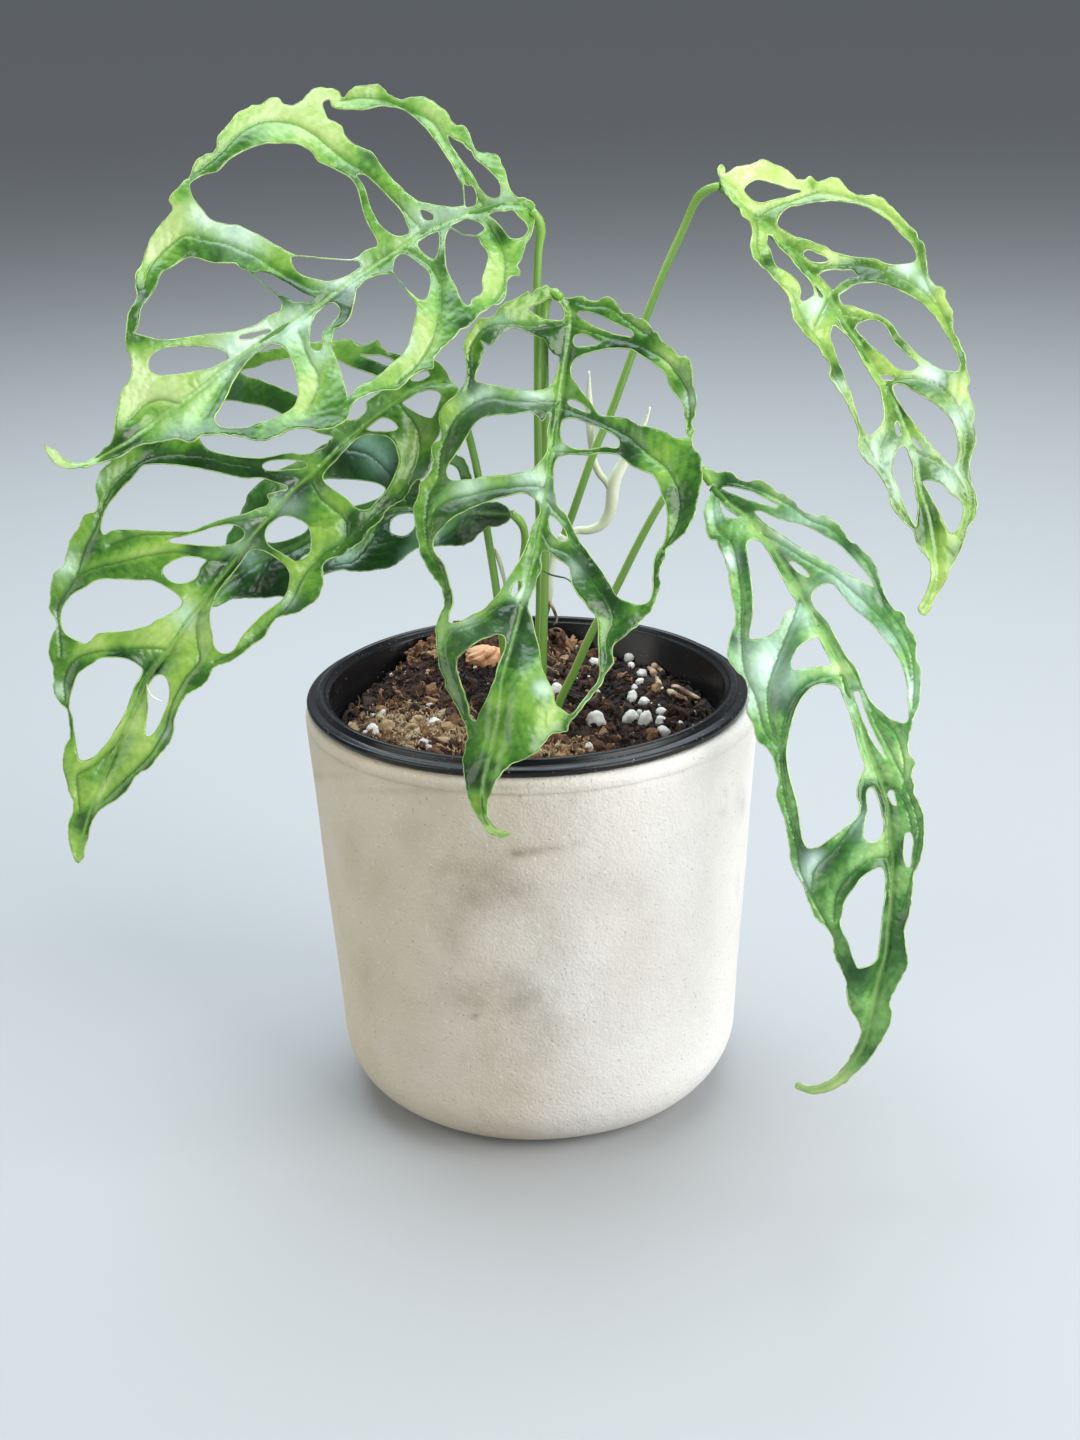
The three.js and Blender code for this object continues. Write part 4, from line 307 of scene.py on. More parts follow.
LOWER_LEFT_LEAF = {
    "threads": [],
    "light": [150,548,34, 105,590,24, 165,640,32, 210,625,28, 330,515,22, 310,580,22, 130,735,36,
        90,785,24, 420,435,20, 100,650,20, 180,700,20],
    "shade": [235,395,22, 275,410,22, 320,395,20, 370,375,20, 410,372,18, 125,529,10, 195,548,10,
        118,655,12, 232,562,12, 275,470,20, 200,462,16, 84,822,14, 330,448,12, 296,492,12, 355,520,14,
        380,500,12, 150,446,20, 250,452,16, 155,672,8, 100,460,12],
    "sheen": [92,478,10, 64,563,12, 55,622,9, 186,616,13, 243,536,16, 288,505,16, 292,603,8, 60,690,8,
        350,450,10, 425,478,10, 170,735,8],
    "midrib": [450,381, 430,383, 409,392, 395,402, 380,413, 366,424, 352,437, 340,447, 330,457, 320,467,
        308,477, 295,488, 285,499, 275,510, 266,521, 255,533, 247,543, 239,553, 230,565, 222,576,
        213,587, 205,598, 196,609, 186,621, 178,633, 170,644, 163,655, 155,666, 148,676, 142,686,
        137,697, 133,708, 128,719, 121,732, 115,744, 110,757, 105,771, 100,785, 94,800, 89,815, 84,832,
        80,848, 79,862],
    "first": [446,373, 440,366, 436,363, 430,359, 418,358, 405,358, 396,357, 388,355, 382,350, 376,342,
        370,345, 364,347, 356,345, 348,341, 340,341, 330,343, 315,345, 300,347, 285,349, 270,352,
        258,354, 248,357, 238,364, 230,374, 222,384, 210,393, 198,402, 187,412, 175,422, 160,431,
        145,439, 130,447, 117,456, 108,465, 101,471, 98,479, 96,488, 98,497, 98,506, 95,512, 88,514,
        83,518, 80,527, 75,533, 71,540, 68,550, 66,560, 63,568, 58,570, 54,577, 52,588, 51,600, 50,608,
        52,613, 56,619, 57,627, 54,633, 51,640, 50,650, 51,660, 54,667, 55,680, 55,690, 58,698, 64,705,
        68,709, 70,718, 71,728, 71,737, 67,743, 65,752, 64,762, 65,772, 67,780, 69,789, 72,797, 74,803,
        73,812, 70,820, 69,830, 70,840, 72,850, 75,859],
    "second": [457,390, 455,400, 448,408, 443,420, 438,433, 434,441, 432,450, 431,460, 428,470, 423,478,
        415,481, 410,487, 406,495, 402,500, 395,504, 388,508, 384,513, 380,520, 373,526, 368,530,
        366,535, 362,540, 355,545, 348,550, 343,555, 335,557, 327,560, 323,565, 322,573, 323,580,
        321,590, 317,598, 310,604, 303,609, 295,613, 285,615, 277,617, 272,623, 268,630, 265,636,
        258,641, 250,647, 242,653, 235,658, 228,662, 218,665, 213,669, 210,675, 206,682, 200,687,
        192,691, 186,695, 182,702, 177,711, 174,719, 174,730, 171,740, 165,748, 158,756, 153,763,
        148,768, 140,772, 135,777, 131,784, 126,791, 120,797, 112,802, 104,807, 98,812, 93,820, 90,828,
        88,838, 85,847, 84,856],
    "first_windows": [
        [411,381, 415,376, 421,373, 428,372, 430,376, 426,379, 418,382],
        [360,356, 368,357, 376,357, 384,358, 392,362, 396,366, 392,369, 380,366, 370,362],
        [240,373, 255,368, 268,363, 282,361, 300,360, 320,360, 338,362, 352,369, 366,374, 380,380,
         386,386, 384,391, 375,397, 367,403, 367,410, 360,417, 350,421, 338,417, 320,409, 300,399,
         283,391, 270,386, 258,381, 247,378],
        [200,440, 198,425, 205,411, 218,403, 232,401, 245,404, 260,406, 272,410, 286,417, 300,425,
         318,433, 333,437, 328,441, 326,446, 318,450, 309,454, 300,455, 290,454, 278,456, 262,459,
         245,458, 225,455, 207,450],
        [262,466, 267,462, 280,460, 295,460, 304,462, 307,466, 301,469, 290,470, 276,471, 266,470],
        [148,465, 170,465, 200,469, 225,474, 245,478, 262,478, 275,482, 287,486, 287,489, 280,491,
         273,493, 267,495, 269,501, 266,506, 257,509, 245,514, 228,518, 212,523, 198,529, 185,532,
         150,531, 115,530.5, 104,535, 101,527, 104,513, 111,501, 121,489, 132,478, 141,467],
        [168,541, 172,538, 183,536, 195,533, 203,530, 212,527, 225,524.5, 235,525, 241,528, 244,532,
         243,537, 238,541, 232,544, 220,546, 205,546, 190,545, 178,544, 171,543],
        [163,568, 169,563, 177,559, 185,556.5, 195,557, 207,560, 201,567, 197,576, 193,580, 185,583,
         175,583, 168,580, 163,574],
        [102,579, 120,579, 140,580, 152,580, 158,582, 165,586, 173,591, 180,597, 182,602, 179,607,
         172,612, 163,617, 156,620, 150,625, 140,628, 130,631, 115,632, 105,633, 98,634, 92,640, 86,644,
         80,642, 72,638, 66,634, 62,627, 61,618, 62,610, 66,602, 70,596, 77,591, 85,587, 93,582],
        [100,658, 112,657, 125,658, 133,661, 139,665, 143,670, 141,677, 137,683, 133,692, 130,700,
         128,706, 124,714, 120,722, 114,732, 108,742, 100,751, 93,757, 86,760, 80,759, 77,750, 76,740,
         74,728, 73,718, 70,708, 70,700, 72,690, 75,682, 79,673, 85,668, 93,663]],
    "second_windows": [
        [402,403, 409,398, 418,394, 428,391, 437,392, 441,396, 439,404, 435,413, 431,418, 424,417,
         412,411],
        [366,429, 373,423, 381,418, 389,419, 395,423, 398,428, 394,431, 384,432, 374,432],
        [348,447, 355,439, 365,435, 378,435, 388,437, 394,443, 397,452, 398,462, 395,472, 390,484,
         384,494, 376,502, 370,509, 362,511, 354,508, 349,502, 341,496, 333,491, 326,485, 323,478,
         327,471, 336,461],
        [268,527, 275,520, 283,516, 292,517, 302,521, 308,526, 311,535, 311,548, 309,555, 302,560,
         295,562, 288,558, 278,552, 270,547, 266,540, 266,533],
        [250,551, 256,550, 263,551, 270,554, 280,561, 287,568, 290,576, 289,585, 286,595, 280,602,
         272,608, 262,616, 252,626, 243,636, 237,646, 232,652, 222,654, 215,648, 213,638, 211,625,
         211,612, 214,603, 218,594, 225,583, 233,572, 241,561],
        [152,678, 157,675, 163,675, 168,679, 170,687, 170,696, 168,705, 164,715, 160,724, 156,731,
         151,736, 147,736, 146,728, 147,718, 148,708, 148,698, 147,690, 149,684]],
    "veins": [
        [300,478, 280,475, 260,468, 230,462, 200,456, 170,454, 150,458, 130,470, 112,488, 104,505,
         95,530, 85,550, 75,580, 62,600],
        [270,516, 250,519, 230,522, 205,530, 180,534, 140,535, 110,545],
        [232,563, 210,560, 180,552, 150,555, 120,562, 95,568, 80,575, 68,590, 58,610, 60,630, 62,655],
        [166,650, 150,648, 120,650, 95,652, 75,660, 65,680, 66,700],
        [122,735, 110,752, 95,765, 78,775, 78,790, 80,810],
        [400,404, 408,415, 418,430, 420,450, 412,475, 400,493, 380,512, 355,535, 335,552],
        [312,482, 320,497, 333,508, 345,520, 345,540, 325,553, 305,575, 290,603, 262,632, 240,650,
         215,662],
        [200,612, 197,625, 198,645, 200,660, 185,680, 172,705, 165,730, 150,755, 125,780, 105,800]],
    "depth": [440,378,-4, 409,392,-8, 380,414,-12, 340,448,-17, 295,488,-24, 255,533,-31, 222,576,-37,
        185,622,-43, 151,671,-50, 128,718,-55, 110,757,-58, 94,800,-61, 79,862,-63, 396,357,2,
        340,341,2, 285,349,-3, 238,364,-8, 198,402,-14, 145,439,-22, 108,465,-30, 98,500,-34,
        68,550,-40, 51,605,-46, 50,650,-50, 55,690,-53, 68,709,-55, 71,737,-57, 65,765,-59, 457,392,-6,
        434,447,-10, 425,475,-13, 384,513,-22, 345,552,-29, 322,575,-32, 295,613,-38, 265,636,-42,
        213,669,-48, 186,695,-51, 174,730,-54, 140,772,-58, 104,807,-61],
}
BACK_LEAF = {
    "threads": [],
    "light": [450,450,16, 300,470,16],
    "shade": [240,590,30, 400,470,16, 330,560,14],
    "sheen": [365,445,16, 430,532,16, 345,560,12, 380,462,14, 470,505,12, 250,560,10, 410,560,10],
    "midrib": [512,514, 495,513, 475,512, 450,513, 430,512, 405,508, 380,511, 350,520, 320,532, 300,543,
        270,556, 245,570, 225,585, 207,604],
    "first": [507,506, 498,502, 486,502, 478,497, 474,488, 472,476, 465,460, 450,452, 430,445, 410,438,
        395,436, 380,434, 365,433, 350,436, 335,440, 320,448, 305,458, 290,466, 275,474, 262,482,
        250,493, 245,505, 240,515, 235,525, 228,535, 225,545, 210,555, 203,565, 197,577, 200,592],
    "second": [509,521, 500,526, 490,527, 482,533, 472,542, 460,546, 440,546, 420,548, 408,555, 395,566,
        375,571, 355,572, 340,570, 323,576, 305,585, 290,595, 265,598, 248,598, 230,601, 214,607],
    "first_windows": [
        [322,482, 340,480, 360,481, 378,484, 386,489, 381,497, 370,502, 356,506, 342,508, 330,500],
        [430,462, 444,462, 458,468, 462,480, 460,492, 450,500, 436,498, 424,488, 420,474],
        [305,532, 296,537, 282,542, 270,543, 261,538, 258,528, 264,519, 276,514, 290,513, 303,517,
         309,524]],
    "second_windows": [
        [390,528, 391,521, 397,516, 405,514, 414,515, 417,522, 414,532, 405,538, 396,537, 391,534],
        [300,562, 316,552, 330,549, 334,556, 322,565, 306,571]],
    "veins": [
        [480,511, 462,490, 440,460],
        [410,507, 395,480, 370,455, 345,448],
        [330,527, 315,505, 290,490],
        [470,513, 455,530, 440,540],
        [380,512, 375,535, 355,560, 335,565],
        [270,556, 262,575, 255,592]],
    "depth": [512,514,-9, 485,505,-5, 465,470,2, 420,470,8, 370,440,14, 300,460,6, 250,500,-4,
        220,550,-12, 197,577,-20, 207,603,-22, 265,598,-18, 323,575,-13, 375,571,-8, 420,548,-5,
        460,546,-4, 490,527,-6],
}
FRONT_LEAF = {
    "threads": [
        [542,337, 550.8,352.5, 561,357.5]],
    "light": [468,342,14, 452,405,18, 668,362,18, 655,475,24, 545,720,14, 488,745,16, 500,700,12,
        480,800,12, 690,440,14, 640,330,14, 430,545,10, 503,752,12, 496,774,9, 492,828,8, 503,832,8],
    "shade": [630,345,20, 590,425,16, 620,455,18, 590,560,18, 610,600,14, 676,500,18, 540,420,6,
        600,660,10, 470,775,10, 640,420,12, 508,612,10],
    "sheen": [482,402,20, 530,399,14, 470,492,18, 530,484,16, 547,500,12, 505,640,14, 470,630,12,
        572,570,10, 505,350,10, 524,596,12, 500,330,12, 690,400,8, 560,450,6, 540,690,8],
    "midrib": [562,298, 568,310, 569,322, 568,340, 566,355, 564,370, 562,385, 560,400, 558,415, 556,430,
        554,445, 551,460, 549,475, 547,490, 545,505, 542,520, 539,534, 537,548, 534,560, 530,575,
        527,590, 522,605, 518,620, 514,635, 510,650, 507,660, 504,672, 502,684, 501,697, 500,710,
        498,722, 495,736, 491,750, 487,764, 484,778, 482,790, 481,802, 482,814, 486,823, 493,831,
        503,834, 513,833],
    "first": [556,290, 550,290, 545,287, 540,290, 535,291, 531,296, 527,293, 523,296, 518,299, 512,302,
        505,305, 498,311, 495,316, 487,320, 480,320, 476,324, 472,330, 467,337, 464,344, 464,352,
        466,360, 467,370, 466,380, 463,387, 457,394, 450,401, 444,407, 440,413, 440,422, 442,432,
        440,441, 435,443, 432,448, 433,456, 433,465, 430,475, 426,481, 421,484, 420,492, 418,500,
        415,507, 416,520, 418,535, 420,545, 422,555, 426,563, 431,572, 437,580, 442,586, 444,594,
        446,601, 446,608, 443,614, 440,622, 438,630, 438,640, 439,650, 440,660, 441,668, 445,678,
        449,690, 455,700, 461,712, 466,723, 469,735, 468,745, 467,755, 467,765, 468,775, 469,785,
        470,795, 472,804, 475,812, 479,819, 485,828, 493,834.5, 503,837],
    "second": [570,299, 575,298, 582,297, 586,300, 592,302, 598,302, 603,299, 608,298, 612,300, 616,303,
        619,307, 621,312, 626,315, 631,315, 636,319, 641,320, 646,322, 650,328, 654,333, 657,333,
        659,338, 663,343, 669,347, 674,351, 677,356, 682,359, 686,358, 690,363, 692,370, 693,378,
        692,384, 695,392, 697,400, 695,407, 695,415, 692,421, 692,427, 694,431, 692,437, 692,443,
        694,450, 698,455, 701,460, 701,468, 702,475, 701,485, 699,495, 697,503, 696,512, 693,518,
        690,524, 687,530, 683,535, 677,540, 671,545, 666,549, 665,555, 663,562, 660,569, 658,577,
        659,585, 658,592, 655,600, 653,607, 650,612, 645,616, 641,621, 637,626, 630,631, 625,636,
        619,640, 613,645, 611,651, 612,658, 612,664, 607,671, 603,677, 600,685, 594,692, 588,700,
        582,706, 577,713, 572,718, 568,724, 566,731, 560,732, 552,733, 547,736, 543,742, 539,747,
        535,752, 528,757, 520,761, 512,764, 507,768, 503,773, 499,779, 495,785, 492,792, 488,800,
        485.5,808, 485.5,815, 489,822, 496,829, 504,831.5],
    "first_windows": [
        [527,310, 535,306, 543,302, 548,299, 556,301, 561,305, 563,311, 564,318, 561,321, 554,321,
         545,320, 537,317, 531,314],
        [480,341, 484,350, 481,358, 479,366, 476,372, 475,381, 482,384, 492,386, 502,388, 512,390,
         522,391, 532,392, 542,391, 550,386, 554,378, 557,368, 558,359, 552,354, 547,347, 546,340,
         538,337, 530,333, 522,330, 514,328, 508,329, 502,333, 496,340, 489,346],
        [540,462, 535,468, 530,472, 520,474, 510,476, 500,476.5, 490,477, 482,478, 475,480, 468,481,
         460,482, 455,482, 450,480, 447,475, 447,470, 450,463, 455,456, 460,448, 465,440, 470,431,
         475,424, 480,420, 490,416, 500,415, 510,415, 520,414, 530,414, 536,417, 540,422, 543,420,
         546,414, 550,414, 549,422, 547,432, 548,442, 547,452],
        [433.5,548, 434,541, 437,535, 443,529, 449,523, 455,518, 462,514, 470,510, 480,506, 488,503,
         498,499, 510,496, 517,494, 524,493, 530,496, 536,500, 540,506, 540,514, 536,520, 532,528,
         528,541, 524,552, 519,563, 514,572, 508,581, 503,590, 497,598, 490,605, 482,611, 472,616,
         463,621, 455,624, 450,623, 451,614, 454,606, 454,599, 452,590, 450,583, 448,575, 445,566,
         440,559, 436,554],
        [511,596, 512,590, 515,584, 518,582, 521,584, 521.5,588, 518.5,593, 515.5,597, 513,598.5],
        [458,668, 459,660, 463,655, 470,651, 475,646, 482,641, 490,638, 498,636, 504,637, 506,642,
         505,650, 502,658, 499,667, 497,677, 495,686, 492,695, 489,704, 486,709, 483,716, 480,721,
         477,722, 473,718, 471,708, 467,698, 464,690, 461,680, 459,673]],
    "second_windows": [
        [576,315, 578,312.5, 583,312, 590,313, 597,315, 603,317, 608,320, 613,323, 619,325, 625,328,
         631,331, 634,335, 631,338, 626,337, 620,336, 612,334, 604,331, 595,328, 587,324, 580,319],
        [573,340, 575,336, 580,334.5, 588,335.5, 595,339, 601,343, 597,346, 591,347, 583,348, 577,348,
         574,345],
        [578,358, 585,355, 595,352, 603,350, 613,349, 622,349, 631,350, 637,353, 645,358, 652,363,
         659,368, 665,373, 668,380, 671,388, 676,395, 682,402, 685,409, 685,416, 687,422, 686,430,
         688,437, 685,439, 679,440, 673,439, 669,436, 662,433, 655,431, 648,429, 640,428, 634,424,
         627,420, 618,418.5, 610,417.5, 602,416.5, 597,413, 593,407, 588,400, 582,393, 577,386, 573,380,
         571,373, 572,366, 575,360],
        [567,402, 569,399.5, 574,400, 580,403, 586,407, 591,412, 590,414, 584,412, 577,409, 570,406],
        [562,421, 566,419, 571,418, 577,419, 584,422, 591,425, 598,428, 606,431, 612,434, 618,439,
         620,444, 619,448, 615,449, 606,448, 597,449, 588,450, 578,450, 570,448, 565,445, 561,438,
         560,430],
        [557,460, 561,456, 567,454, 578,454.5, 590,455, 600,453.5, 610,453.5, 617,455, 622,459, 628,464,
         636,469, 645,473, 652,476, 657,482, 660,490, 663,499, 666,506, 667,513, 668,521, 667,529,
         666,537, 663,545, 659,550, 656,555, 654,562, 653,570, 652,578, 652,588, 651,597, 648,603,
         643,606, 635,606, 627,603, 620,600, 615,596, 611,588, 606,580, 601,571, 595,563, 590,556,
         584,548, 578,540, 573,531, 570,524, 566,516, 561,511, 557,505, 555,495, 554,480, 554,468],
        [551,516, 556,519, 560,523, 563,528, 566,533, 568,539, 567,543, 563,544, 558,541, 553,536,
         550,529, 549.5,521],
        [542,552, 546,551, 552,555, 558,560, 565,564, 570,569, 571,578, 572,586, 576,594, 582,602,
         588,610, 594,616, 597,624, 598,632, 598,645, 598,660, 599,675, 597,683, 592,689, 586,697,
         580,704, 575,711, 570,715, 565,713, 560,710, 555,707, 552,702, 551,695, 548,688, 544,679,
         541,670, 540,660, 539,650, 536,638, 534,628, 532,618, 529,609, 530,601, 533,595, 536,588,
         538,580, 541,573, 542,566, 541,559]],
    "veins": [
        [566,322, 550,325, 530,327, 510,325, 495,325, 483,330, 475,340, 470,352, 470,378, 468,388],
        [560,403, 548,404, 530,402, 510,400, 495,397, 478,401, 465,410, 455,420, 448,435, 441,455,
         439,480, 430,495, 427,520, 428,545],
        [545,487, 530,485, 510,487, 490,490, 470,495, 450,500, 436,510, 432,525, 430,548, 436,560,
         443,572, 447,590],
        [521,603, 510,605, 495,610, 480,620, 460,628, 450,634, 446,650, 450,668, 458,690, 466,715,
         473,735],
        [570,325, 590,331, 610,337, 630,342, 650,350, 668,362, 680,378, 688,392, 690,410, 689,430],
        [570,301, 590,306, 610,308, 630,322, 645,333],
        [560,407, 575,412, 595,420, 610,427, 630,438, 650,455, 668,470, 678,490, 680,510, 675,530,
         663,550],
        [555,452, 575,452, 600,451, 618,452],
        [541,528, 550,545, 570,555, 585,570, 597,588, 608,605, 613,620, 606,640, 606,665, 595,685,
         575,708, 562,722],
        [547,500, 556,512, 566,524, 574,540, 590,562]],
    "depth": [569,322,0, 562,385,-10, 555,445,-22, 545,505,-35, 534,560,-47, 519,618,-60, 505,668,-72,
        500,710,-81, 488,758,-88, 482,800,-93, 484,823,-94, 512,834,-96, 545,287,4, 512,302,-1,
        493,320,-5, 464,350,-10, 463,387,-15, 440,413,-18, 442,440,-21, 430,475,-25, 415,507,-30,
        422,555,-37, 443,585,-42, 447,608,-46, 438,635,-50, 449,690,-60, 466,723,-68, 467,765,-81,
        475,812,-91, 620,310,3, 641,320,0, 663,343,-4, 690,365,-10, 695,400,-16, 691,430,-21,
        698,455,-26, 701,480,-30, 693,518,-37, 671,545,-41, 658,577,-46, 653,607,-52, 625,636,-58,
        611,655,-62, 597,688,-70, 569,722,-78, 547,736,-82, 512,764,-88],
}
UPPER_RIGHT_LEAF = {
    "threads": [
        [831,292, 842,283, 853,276]],
    "light": [745,180,18, 790,190,18, 835,200,24, 885,225,20, 760,240,18, 785,292,16, 822,330,18,
        870,312,12, 962,392,14, 932,565,20, 850,405,14, 945,300,14],
    "shade": [860,264,18, 800,272,8, 900,345,10, 768,262,7, 892,300,12, 922,515,14, 812,185,6,
        835,372,8, 940,380,10, 905,410,8],
    "sheen": [905,268,10, 812,308,12, 930,378,14, 958,418,16, 880,458,20, 895,490,12, 948,478,16,
        915,455,12, 838,388,8, 925,285,10],
    "midrib": [722,187, 731,194, 738,203, 748,212, 757,218, 764,224, 770,230, 777,238, 785,247, 794,256,
        801,264, 807,272, 814,280, 821,288, 828,296, 832,304, 838,313, 844,322, 851,333, 858,342,
        864,353, 870,364, 877,375, 884,386, 890,396, 895,406, 900,417, 904,428, 909,440, 914,452,
        917,464, 919,477, 921,490, 925,503, 929,518, 932,532, 934,545, 935,560, 934,575, 932,590,
        927,602, 920,613],
    "first": [719,179, 717,172, 720,168, 723,171, 724,177, 731,174, 735,171, 741,170, 747,169, 753,166,
        758,163, 764,163, 770,166, 777,168, 783,171, 789,176, 793,180, 799,182, 804,182, 807,180,
        810,178, 815,182, 822,182, 827,180, 831,179, 836,180, 840,183, 845,188, 851,193, 857,196,
        864,197, 872,196, 878,198, 883,200, 887,205, 893,210, 899,216, 905,223, 910,228, 914,232,
        917,238, 921,244, 924,250, 925,258, 926,266, 928,275, 931,281, 935,286, 940,288, 944,292,
        945,299, 948,305, 951,310, 952,320, 953,330, 956,337, 960,344, 963,352, 964,362, 964,370,
        966,376, 967,384, 966,391, 968,399, 972,405, 974,411, 973,418, 972,425, 974,435, 973,445,
        970,455, 968,463, 968,472, 970,480, 973,489, 976,498, 976,508, 974,516, 971,522, 967,528,
        965,535, 963,542, 960,549, 956,555, 952,562, 948,569, 945,576, 941,585, 937,593, 933,601,
        929,610, 925,615],
    "second": [727,196, 735,205, 740,210, 740,215, 744,219, 748,223, 750,229, 751,236, 750,244, 750,252,
        752,259, 755,262, 760,266, 766,270, 771,274, 776,280, 781,287, 786,293, 789,299, 790,306,
        791,313, 792,320, 795,325, 799,330, 804,336, 808,340, 813,343, 818,348, 823,355, 828,363,
        830,370, 829,377, 832,383, 837,388, 842,393, 846,400, 850,408, 854,417, 857,425, 859,432,
        857,440, 857,448, 860,456, 866,463, 873,467, 878,474, 884,482, 889,491, 891,500, 893,507,
        897,513, 902,520, 908,526, 912,533, 914,541, 917,548, 920,552, 925,557, 929,563, 930,570,
        929,580, 927,590, 923,599, 919,607],
    "first_windows": [
        [742,193, 744,189, 748,186, 755,183, 762,183, 770,185, 780,188, 790,190, 800,191, 801,193,
         792,196, 783,199, 775,201, 767,203, 760,204.5, 752,202, 746,198],
        [776,227, 777,220, 781,214, 786,210, 792,207, 800,206, 810,204, 820,203, 832,202, 845,203,
         856,204, 864,207, 872,211, 881,217, 889,222, 896,230, 903,238, 911,244, 915,251, 917,258,
         915,262, 908,265, 900,266, 890,266, 882,264, 876,261, 868,259, 858,258, 848,256.5, 838,255.5,
         830,253.5, 822,249.5, 812,245.5, 803,242, 794,239, 785,234],
        [803,253, 806,251, 811,252, 817,255, 824,258, 828,261, 825,263, 818,263.5, 811,261.5, 806,258],
        [820,279, 818,276, 821,273, 826,271, 834,269.5, 843,270, 852,270, 856,274, 858,278, 850,281,
         842,286, 834,291, 829,288, 824,283],
        [838,297, 845,291.5, 854,286, 863,284, 872,284, 882,286, 893,290, 904,295, 914,301, 924,309,
         934,319, 943,329, 949,338, 955,348, 958,358, 959,367, 956,373, 949,373, 940,370, 931,366,
         922,360.5, 913,353, 903,345, 896,338, 891,330, 885,323, 878,318, 870,315, 863,312, 856,309,
         849,307, 842,306],
        [855,329, 857,325, 863,322, 870,321, 877,322.5, 883,327, 887,333, 892,343, 899,350, 907,357,
         914,362, 918,367, 914,371, 907,373, 900,372, 893,368, 886,361, 879,354, 871,347, 864,340,
         859,335],
        [880,376, 885,375, 890,376, 894,379, 893,381, 887,381, 882,380],
        [892,387, 896,385, 902,386, 910,391, 920,397, 931,403, 941,411, 949,420, 954,430, 957,441,
         958,452, 956,461, 953,468, 948,465, 941,458, 932,448, 923,437, 915,427, 907,416, 899,404,
         894,395],
        [912,437, 915,439, 919,444, 922,449, 921,451, 917,448, 913,443],
        [923,481, 927,480, 933,481, 941,484, 946,490, 952,496, 959,501, 962,508, 961,518, 958,527,
         955,532, 950,534, 946,530, 942,522, 937,512, 932,502, 927,491]],
    "second_windows": [
        [766,238, 767,235, 771,236, 775,241, 780,246.5, 786,252, 792,259, 798,266, 804,274, 808,282,
         811,290, 812,297, 808,301, 803,303, 799,299, 799,291, 796,283, 791,277, 784,272, 777,267,
         772,260, 769,251, 766,244],
        [813,285, 816,288, 820,293, 823,298, 820,300, 816,299, 814,292],
        [835,319, 838,321, 841,326, 844,331, 847,335, 843,333, 839,329, 836,324],
        [831,327, 834,327, 841,333, 848,339, 854,346, 860,356, 866,367, 872,377, 878,388, 882,398,
         883,408, 883,420, 879,428, 873,434, 868,437, 864,434, 861,427, 857,415, 853,403, 849,392,
         844,382, 840,370, 836,360, 832,348, 829,337],
        [893,425, 896,422, 899,428, 900,435, 897,438, 894,435],
        [903,446, 899,447, 895,451, 892,458, 891,466, 892,476, 896,488, 901,500, 906,512, 911,522,
         914,528, 916,518, 917,505, 916,490, 914,478, 913,468, 910,458, 907,450]],
    "veins": [
        [755,217, 765,212, 775,207, 790,202, 805,196, 820,192, 840,195, 860,201, 880,209, 900,224,
         915,240, 921,262, 928,285, 940,305, 950,330, 960,350],
        [782,243, 795,248, 815,264, 830,265, 850,263, 875,268, 895,275, 915,285, 935,303, 950,325],
        [840,313, 850,315, 860,317],
        [885,386, 892,382, 905,379, 920,379, 940,388, 955,405, 964,425, 965,450, 962,470, 970,490,
         969,515, 960,540],
        [912,446, 922,455, 938,463, 955,478, 966,500],
        [757,220, 757,235, 758,250, 765,264, 778,280, 792,292, 797,306, 805,322, 820,340, 830,360,
         836,378, 848,400, 857,420, 862,440, 872,460, 885,480, 893,503, 908,522],
        [828,298, 822,310, 815,325],
        [887,392, 888,408, 888,428, 880,445, 880,462]],
    "depth": [722,187,16, 757,218,10, 793,254,4, 827,294,-2, 862,350,-12, 889,395,-20, 911,443,-28,
        918,475,-32, 929,518,-38, 935,555,-42, 919,613,-46, 758,163,30, 809,178,32, 851,193,30,
        887,205,28, 924,250,18, 945,299,8, 963,352,-4, 974,410,-14, 970,455,-22, 976,508,-30,
        963,542,-37, 941,585,-43, 740,210,8, 751,252,0, 790,306,-12, 808,340,-18, 829,377,-24,
        857,448,-34, 889,491,-38, 914,541,-42, 929,580,-45],
}
